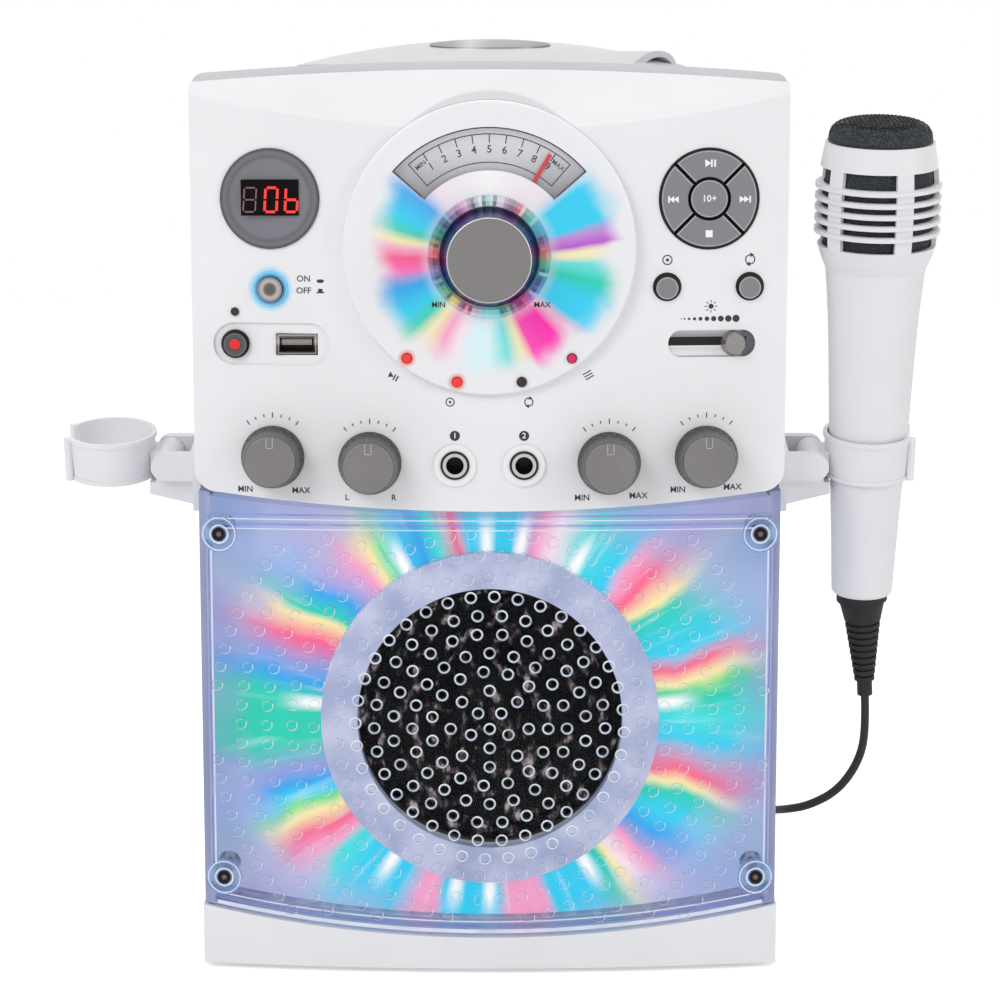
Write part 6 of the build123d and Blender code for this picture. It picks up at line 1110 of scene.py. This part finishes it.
# ---- Knobs and jacks ----
def small_knob(name, centre):
    """A grey knob, dark round its side, with a pale pointer on its face."""
    node = name + "_knob"
    knob = Finish(node, metallic=0.3)
    front = knob.soft_step(abs(knob.facing()[1]), 0.75, 0.92)
    speck = knob.noise(0.5)
    cloud = (speck * 0.6 + knob.noise(14.0) * 0.4).clamped()
    grey = knob.mix(cloud, srgb(104, 101, 101), srgb(146, 142, 142))
    skirt = knob.soft_step(knob.around(*centre), 9.8, 11.4)
    dark = knob.mix(skirt, srgb(92, 90, 92), srgb(16, 16, 18))
    knob.set("Base Color", knob.mix(front, dark, grey))
    knob.set("Roughness", 0.36 + 0.14 * speck).bump(speck, 0.02).wear(node)
    line = speckled(name + " pointer", 1.0, srgb(206, 202, 200), srgb(168, 164, 162),
                    metallic=0.4, roughness=0.35)
    mesh = bmesh.new()
    px, pz = centre
    for side in (-1, 1):
        bar(mesh, px + side * 1.15, pz + 7.0, 0.34, 3.6)
    bar(mesh, px, pz + 5.2, 2.6, 0.34)
    face_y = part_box(node)[0].y * 1000
    lay(mesh, lambda x: face_y - 0.08)
    bmesh.ops.solidify(mesh, geom=mesh.faces[:], thickness=-0.12)
    shaped(mesh, name + "_pointer", name + "_body", line)


def jacks():
    """White nuts, bright bushes and black bores of the two microphone jacks."""
    jack = Finish("microphone jack")
    x, y, z = jack.place()
    radius = span(abs(x) - JACKS[1], z - JACK_Z)
    metal = radius < 4.5
    tone = jack.mix(jack.soft_step(radius, 5.35, 5.5), srgb(8, 8, 9), srgb(238, 238, 240))
    tone = jack.mix(metal, tone, srgb(206, 204, 204))
    bore = 3.3
    jack.set("Base Color", jack.mix(radius < bore, tone, srgb(14, 14, 15)))
    jack.set("Metallic", metal * (radius > bore) * 0.9)
    jack.set("Roughness", 0.24 + 0.1 * jack.noise(1.0)).wear("mic_jacks")


class KARAOKE_OT_knobs(bpy.types.Operator):
    """Four small knobs with their pointers, and the two microphone jacks"""
    bl_idname = "karaoke.knobs"
    bl_label = "Knobs and jacks"

    def execute(self, context):
        for name, centre in KNOBS.items():
            small_knob(name, centre)
        jacks()
        return {"FINISHED"}


# ---- Mechanism ----
def cabinet_screws():
    """Blackened screws. The front ones' shanks are lost in the window's clear posts."""
    screw = Finish("blackened screws", metallic=0.6, roughness=0.35)
    x, y, z = screw.place()
    tone = screw.ramp(from_screw(x, z) / 2.7, [
        (0.0, srgb(158, 136, 122)), (0.34, srgb(104, 90, 84)), (0.44, srgb(14, 12, 12)),
        (0.8, srgb(12, 11, 12)), (1.0, srgb(28, 27, 30))])
    screw.set("Base Color", screw.mix(screw.noise(0.9) * 0.5, tone, srgb(30, 27, 27)))
    screw.set("Alpha", 1.0 - (y > -85.6) * (y < 0.0)).wear("cabinet_screws")


class KARAOKE_OT_disc_side(bpy.types.Operator):
    """Turntable, pickup, clamp and the mechanism under the lid"""
    bl_idname = "karaoke.disc_side"
    bl_label = "Disc mechanism"

    def execute(self, context):
        black = moulded("black mechanism plastic", srgb(26, 26, 28), 0.45)
        black.wear("turntable", "laser_sled", "disc_clamp")
        steel = Finish("plated steel", metallic=0.9)
        grain = steel.noise(0.8, 3.0, stretch=(0.15, 1, 1))
        steel.set("Base Color", steel.mix(grain, srgb(150, 152, 156), srgb(196, 198, 202)))
        steel.set("Roughness", 0.28 + 0.2 * grain).bump(grain, 0.01)
        steel.wear("mechanism_chassis", "spindle_motor", "potentiometers")
        cabinet_screws()

        upward = (0, 0, 1)
        rubber = moulded("spindle cushion", srgb(30, 30, 31), 0.8)
        mesh = bmesh.new()
        top, crown = 331.0, 331.25
        turned(mesh, [(10.5, top), (10.7, crown), (14.2, crown), (14.4, top)], (0, 2.0, 0), upward)
        shaped(mesh, "spindle_cushion", "turntable_body", rubber)
        glass = speckled("pickup lens", 2.0, srgb(40, 44, 96), srgb(66, 60, 130),
                         roughness=0.03, coat_weight=1.0, coat_roughness=0.02)
        mesh = bmesh.new()
        low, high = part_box("laser_sled")
        middle_y = (low.y + high.y) / 2 / MM
        turned(mesh, [(0.01, 321.6), (1.6, 321.45), (2.6, 321.05)], (0, middle_y, 0), upward, 24)
        shaped(mesh, "pickup_lens", "sled_body", glass)
        return {"FINISHED"}


# ---- Microphone ----
def celled(name, scale, stops, depth, strength, roughness):
    """Foam or knitted cloth: fine cells, with painted shade that makes them darkest in their sunken
    middles.
    """
    finish = Finish(name, roughness=roughness)
    cells = finish.add("ShaderNodeTexVoronoi", {}, {"Vector": finish.object, "Scale": scale},
                       "Distance")
    return finish.set("Base Color", finish.ramp(cells, stops)).bump(cells, depth, strength)


def round_microphone(name, profile, finish):
    """A piece turned about the microphone's axis from its (radius, height) points."""
    mesh = bmesh.new()
    axis = Matrix.Rotation(MIC_LEAN, 3, "X") @ Vector((0, 0, 1))
    turned(mesh, profile, MIC_FOOT, axis, 64)
    shaped(mesh, name, "microphone_body", finish)


def woven_head():
    """A domed net of black wire, lifted at every other crossing."""
    wire = Finish("black woven wire", coat_weight=0.3, metallic=0.6)
    glint = wire.soft_step(wire.noise(0.9), 0.5, 0.72)
    wire.set("Base Color", wire.mix(glint, srgb(10, 11, 13), srgb(104, 110, 116)))
    wire.set("Roughness", 0.24 + 0.2 * glint)

    mesh = bmesh.new()
    count, half = 37, 20.0
    pitch = 2 * half / count
    bmesh.ops.create_grid(mesh, x_segments=count, y_segments=count, size=half,
                          matrix=Matrix.Rotation(math.radians(45), 4, "Z"))
    outside = [v for v in mesh.verts if v.co.xy.length > 19.3]
    bmesh.ops.delete(mesh, geom=outside, context="VERTS")
    back = Matrix.Rotation(math.radians(-45), 3, "Z")
    for vertex in mesh.verts:
        flat = back @ vertex.co
        odd = (round((flat.x + half) / pitch) + round((flat.y + half) / pitch)) % 2
        r = min(vertex.co.xy.length / 19.4, 1.0)
        vertex.co.z = HEAD_RIM + 0.5 + 7.8 * (1 - r ** 4) ** 0.38 + 0.24 * odd
    bmesh.ops.wireframe(mesh, faces=mesh.faces[:], thickness=0.24, offset=0.0,
                        use_replace=True, use_boundary=True, use_even_offset=False)
    lean = Matrix.Translation(MIC_FOOT) @ Matrix.Rotation(MIC_LEAN, 4, "X")
    bmesh.ops.transform(mesh, matrix=lean, verts=mesh.verts)
    shaped(mesh, "woven_head", "microphone_body", wire, 60.0)


class KARAOKE_OT_microphone(bpy.types.Operator):
    """Holders, and the microphone with its woven head and foam"""
    bl_idname = "karaoke.microphone"
    bl_label = "Microphone and holders"

    def execute(self, context):
        roughness = context.scene.karaoke_shell.roughness + 0.02
        white = moulded("microphone white", srgb(231, 231, 234), roughness, coat_weight=0.15)
        white.wear("mic_handle", "head_shell")
        holder = moulded("holder white", srgb(232, 232, 235), 0.42)
        holder.wear("holder_brackets", "left_holder_ring", "right_holder_ring")
        foam = celled("open foam", 1100.0, [(0.1, srgb(20, 22, 24)), (0.6, srgb(62, 66, 70))],
                      0.5, 0.9, 0.95)
        foam.wear("mic_foam", "mic_grille", "mic_capsule")
        woven_head()
        band = moulded("head band", srgb(20, 20, 22), 0.4)
        round_microphone("head_band", [(19.2, HEAD_RIM - 0.2), (19.6, HEAD_RIM + 0.1),
                                       (19.6, HEAD_RIM + 0.6), (19.2, HEAD_RIM + 0.8)], band)
        # A cloth sleeve lines the slotted head.
        cloth = celled("head lining", 1500.0, [(0.2, srgb(10, 12, 13)), (0.7, srgb(50, 56, 60))],
                       0.3, 0.8, 0.8)
        round_microphone("head_lining", [(18.9, 78.6), (19.7, 81.2), (20.4, 88.0),
                                         (20.4, 104.0), (19.6, 112.6)], cloth)
        moulded("relief rubber", srgb(22, 22, 23), 0.6, depth=0.02).wear("strain_relief")
        return {"FINISHED"}


# ---- Cord. Its way is in metres: from the handle's relief, into its coil, out to the plug ----
CORD_RADIUS = 0.0017
COIL = (0.058, 0.144)
WAY_DOWN = [(0.149013, -0.04319, 0.098306), (0.150095, -0.040905, 0.083014),
            (0.1479, -0.0386, 0.0695), (0.1400, -0.0364, 0.0568), (0.1286, -0.0330, 0.0496),
            (0.1200, -0.0240, 0.0456), (0.1166, -0.0060, 0.0405), (0.1162, 0.0200, 0.0310),
            (0.1168, 0.0510, 0.0185), (0.1172, 0.0820, 0.0076), (0.1125, 0.1040, 0.0025),
            (0.1025, 0.1175, 0.0019), (0.0920, 0.1212, 0.0019), (0.0780, 0.1202, 0.0019)]
WAY_OUT = [(0.058, 0.1202, 0.0121), (0.048, 0.1193, 0.0118), (0.041, 0.1215, 0.0090),
           (0.0370, 0.1253, 0.0068), (0.0330, 0.1253, 0.0068)]


def coil():
    """Points of four layers of turns, wound in and out by turns, each lifting on to the next."""
    points = []
    width = 2 * CORD_RADIUS
    angle, reach, height = -90.0, 0.0238, 0.0019
    layers = 4
    for layer in range(layers):
        way = 1 if layer % 2 else -1
        steps = [(24.0, way * width * 24.0 / 360, 0.0)] * 56
        if layer < layers - 1:
            steps += [(22.5, 0.0, width / 4)] * 4
        for turn, outward, lift in steps:
            points.append((COIL[0] + reach * math.cos(math.radians(angle)),
                           COIL[1] + reach * math.sin(math.radians(angle)), height))
            angle -= turn
            reach += outward
            height += lift
    return points


def cord_tie():
    """A loop of hook tape round the far side of the coil."""
    tape = Finish("hook tape", roughness=0.85)
    pile = tape.noise(0.35, 3.0)
    tape.set("Base Color", tape.mix(pile, srgb(18, 18, 19), srgb(44, 44, 46))).bump(pile, 0.15)
    mesh = bmesh.new()
    bmesh.ops.create_cube(mesh, size=1.0)
    bmesh.ops.scale(mesh, vec=(7.0, 17.0, 13.75), verts=mesh.verts)
    corners = [e for e in mesh.edges if abs(e.verts[0].co.x - e.verts[1].co.x) > 1]
    bmesh.ops.bevel(mesh, geom=corners, offset=2.4, segments=4, profile=0.5, material=-1,
                    affect="EDGES")
    ends = [f for f in mesh.faces if abs(f.normal.x) > 0.9]
    bmesh.ops.delete(mesh, geom=ends, context="FACES")
    bmesh.ops.solidify(mesh, geom=mesh.faces[:], thickness=0.5)
    place = (COIL[0] / MM, COIL[1] / MM + 17.3, 7.0)
    bmesh.ops.translate(mesh, vec=place, verts=mesh.verts)
    shaped(mesh, "cord_tie", "cabinet_body", tape)


def cord_plug():
    """A black plug with its bright pin."""
    plug = Finish("cord plug")
    x, y, z = plug.place()
    pin = x < -13.2
    plug.set("Base Color", plug.mix(pin, srgb(24, 24, 26), srgb(206, 204, 200)))
    plug.set("Metallic", pin * 0.95).set("Roughness", 0.42 - pin * 0.2)
    plug.bump(plug.noise(0.4), 0.01).wear("mic_plug")


class KARAOKE_OT_cord(bpy.types.Operator):
    """Microphone cord with its coil, tie and plug"""
    bl_idname = "karaoke.cord"
    bl_label = "Microphone cord"

    def execute(self, context):
        route = WAY_DOWN + coil() + WAY_OUT
        curve = bpy.data.curves.new("microphone_cord", "CURVE")
        curve.dimensions, curve.bevel_depth, curve.bevel_resolution = "3D", CORD_RADIUS, 3
        curve.use_fill_caps, curve.resolution_u = True, 6
        spline = curve.splines.new("NURBS")
        spline.points.add(len(route) - 1)
        for point, place in zip(spline.points, route):
            point.co = (*place, 1.0)
        spline.order_u = 3
        spline.use_endpoint_u = True
        cord = bpy.data.objects.new("microphone_cord", curve)
        context.scene.collection.objects.link(cord)
        jacket = moulded("cord jacket", srgb(24, 24, 25), 0.5, grain=0.3, depth=0.01)
        curve.materials.append(jacket.material)
        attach(cord, "cabinet_body")
        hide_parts("mic_cord", "cord_coil")
        cord_tie()
        cord_plug()
        return {"FINISHED"}


# ---- Inside and rear ----
class KARAOKE_OT_inside(bpy.types.Operator):
    """Boards inside and the sockets of the rear"""
    bl_idname = "karaoke.inside"
    bl_label = "Inside and rear"

    def execute(self, context):
        board = Finish("circuit board", roughness=0.45, coat_weight=0.3)
        trace = board.noise(3.0, 4.0, stretch=(0.4, 1, 1))
        board.set("Base Color", board.ramp(trace, [
            (0.46, srgb(22, 84, 52)), (0.5, srgb(60, 128, 84)), (0.56, srgb(24, 90, 56))],
            "CONSTANT"))
        board.wear("control_board", "amplifier_board")

        sockets = Finish("rear sockets")
        x, y, z = sockets.place()
        tone = srgb(18, 18, 19)
        for px, colour in ((20.0, srgb(226, 190, 40)), (40.0, srgb(238, 238, 238)),
                           (60.0, srgb(206, 34, 38))):
            collar = (span(x - px, z - 62.0) < 4.4) * (y > 95.2)
            tone = sockets.mix(collar, tone, colour)
        sockets.set("Base Color", tone)
        sockets.set("Roughness", 0.4 + 0.1 * sockets.noise(1.0)).wear("rear_sockets")
        return {"FINISHED"}


# ---- Stage ----
def lay_floor(scene):
    """A pale floor that shines a little to the camera only."""
    mesh = bmesh.new()
    bmesh.ops.create_grid(mesh, x_segments=1, y_segments=1, size=3.0)
    data = bpy.data.meshes.new("floor")
    mesh.to_mesh(data)
    mesh.free()
    floor = bpy.data.objects.new("floor", data)
    scene.collection.objects.link(floor)
    finish = speckled("floor", 30.0, srgb(244, 244, 245), srgb(248, 248, 248), roughness=0.8)
    seen = finish.add("ShaderNodeLightPath", {}, {}, "Is Camera Ray")
    finish.set("Emission Color", finish.mix(seen, BLACK, level(0.42))).set("Emission Strength", 1.0)
    data.materials.append(finish.material)


def light_from_all_around(scene, fill):
    """A white world, dimmed to fill for the light that it throws on surfaces."""
    world = scene.world or bpy.data.worlds.new("surroundings")
    scene.world = world
    world.use_nodes = True
    tree = world.node_tree
    tree.nodes.clear()
    path = tree.nodes.new("ShaderNodeLightPath")
    camera, glossy, clear = [Value(tree, path.outputs[name]) for name in (
        "Is Camera Ray", "Is Glossy Ray", "Is Transmission Ray")]
    full = (camera + glossy * 0.85 + clear).clamped()
    strength = full * (1.0 - fill) + fill
    background = tree.nodes.new("ShaderNodeBackground")
    background.inputs["Color"].default_value = (1, 1, 1, 1)
    tree.links.new(strength.socket, background.inputs["Strength"])
    output = tree.nodes.new("ShaderNodeOutputWorld")
    tree.links.new(background.outputs[0], output.inputs["Surface"])


def hang_lamps(scene, power):
    """Three round soft lamps that look at the machine's middle."""
    aim = Vector((0, 0, 0.17))
    for name, place, size, share in (("key", (-0.9, -1.3, 1.15), 0.9, 1.0),
                                     ("side", (1.3, -0.9, 0.7), 0.8, 0.45),
                                     ("top", (0.1, 0.25, 1.5), 0.9, 0.5)):
        lamp = bpy.data.lights.new(name, "AREA")
        lamp.shape, lamp.size, lamp.energy = "DISK", size, power * share
        holder = bpy.data.objects.new(name, lamp)
        holder.location = place
        holder.rotation_euler = (aim - Vector(place)).to_track_quat("-Z", "Y").to_euler()
        scene.collection.objects.link(holder)


def stand_camera(scene):
    """A camera in front of the machine, a little above its middle."""
    lens = bpy.data.cameras.new("camera")
    lens.lens, lens.sensor_width, lens.clip_start = 97.3, 36.0, 0.01
    camera = bpy.data.objects.new("camera", lens)
    camera.location = (0.0039, -1.0939, 0.3393)
    camera.rotation_euler = (math.radians(90 - 8.82), 0, 0)
    scene.collection.objects.link(camera)
    scene.camera = camera


class KARAOKE_OT_stage(bpy.types.Operator):
    """Pale floor, soft lamps, surroundings and camera"""
    bl_idname = "karaoke.stage"
    bl_label = "Stage"

    def execute(self, context):
        scene = context.scene
        settings = scene.karaoke_stage
        scene.view_settings.view_transform = "Standard"
        lay_floor(scene)
        light_from_all_around(scene, settings.fill)
        hang_lamps(scene, settings.key)
        stand_camera(scene)
        return {"FINISHED"}


class KARAOKE_PT_panel(bpy.types.Panel):
    """Lists the settings and the building steps in the sidebar"""
    bl_idname = "KARAOKE_PT_panel"
    bl_label = "Karaoke machine"
    bl_space_type = "VIEW_3D"
    bl_region_type = "UI"
    bl_category = "Karaoke"

    def draw(self, context):
        for group in GROUPS:
            settings = getattr(context.scene, group)
            for name in settings.bl_rna.properties.keys():
                if name not in ("rna_type", "name"):
                    self.layout.prop(settings, name)
        for step in STEPS:
            self.layout.operator(step.bl_idname)


GROUPS = {"karaoke_shell": ShellSettings, "karaoke_glow": GlowSettings,
          "karaoke_marks": MarkSettings, "karaoke_stage": StageSettings}
STEPS = (KARAOKE_OT_stage, KARAOKE_OT_cord, KARAOKE_OT_cabinet, KARAOKE_OT_window,
         KARAOKE_OT_dial, KARAOKE_OT_controls, KARAOKE_OT_marks, KARAOKE_OT_knobs,
         KARAOKE_OT_disc_side, KARAOKE_OT_microphone, KARAOKE_OT_inside)


def register():
    for kind in (*GROUPS.values(), *STEPS, KARAOKE_PT_panel):
        bpy.utils.register_class(kind)
    for name, kind in GROUPS.items():
        setattr(bpy.types.Scene, name, bpy.props.PointerProperty(type=kind))


def unregister():
    for name in GROUPS:
        delattr(bpy.types.Scene, name)
    for kind in (KARAOKE_PT_panel, *reversed(STEPS), *reversed(GROUPS.values())):
        bpy.utils.unregister_class(kind)


def main():
    register()
    for step in STEPS:
        call = bpy.ops
        for part in step.bl_idname.split("."):
            call = getattr(call, part)
        call()


if __name__ == "__main__":
    main()
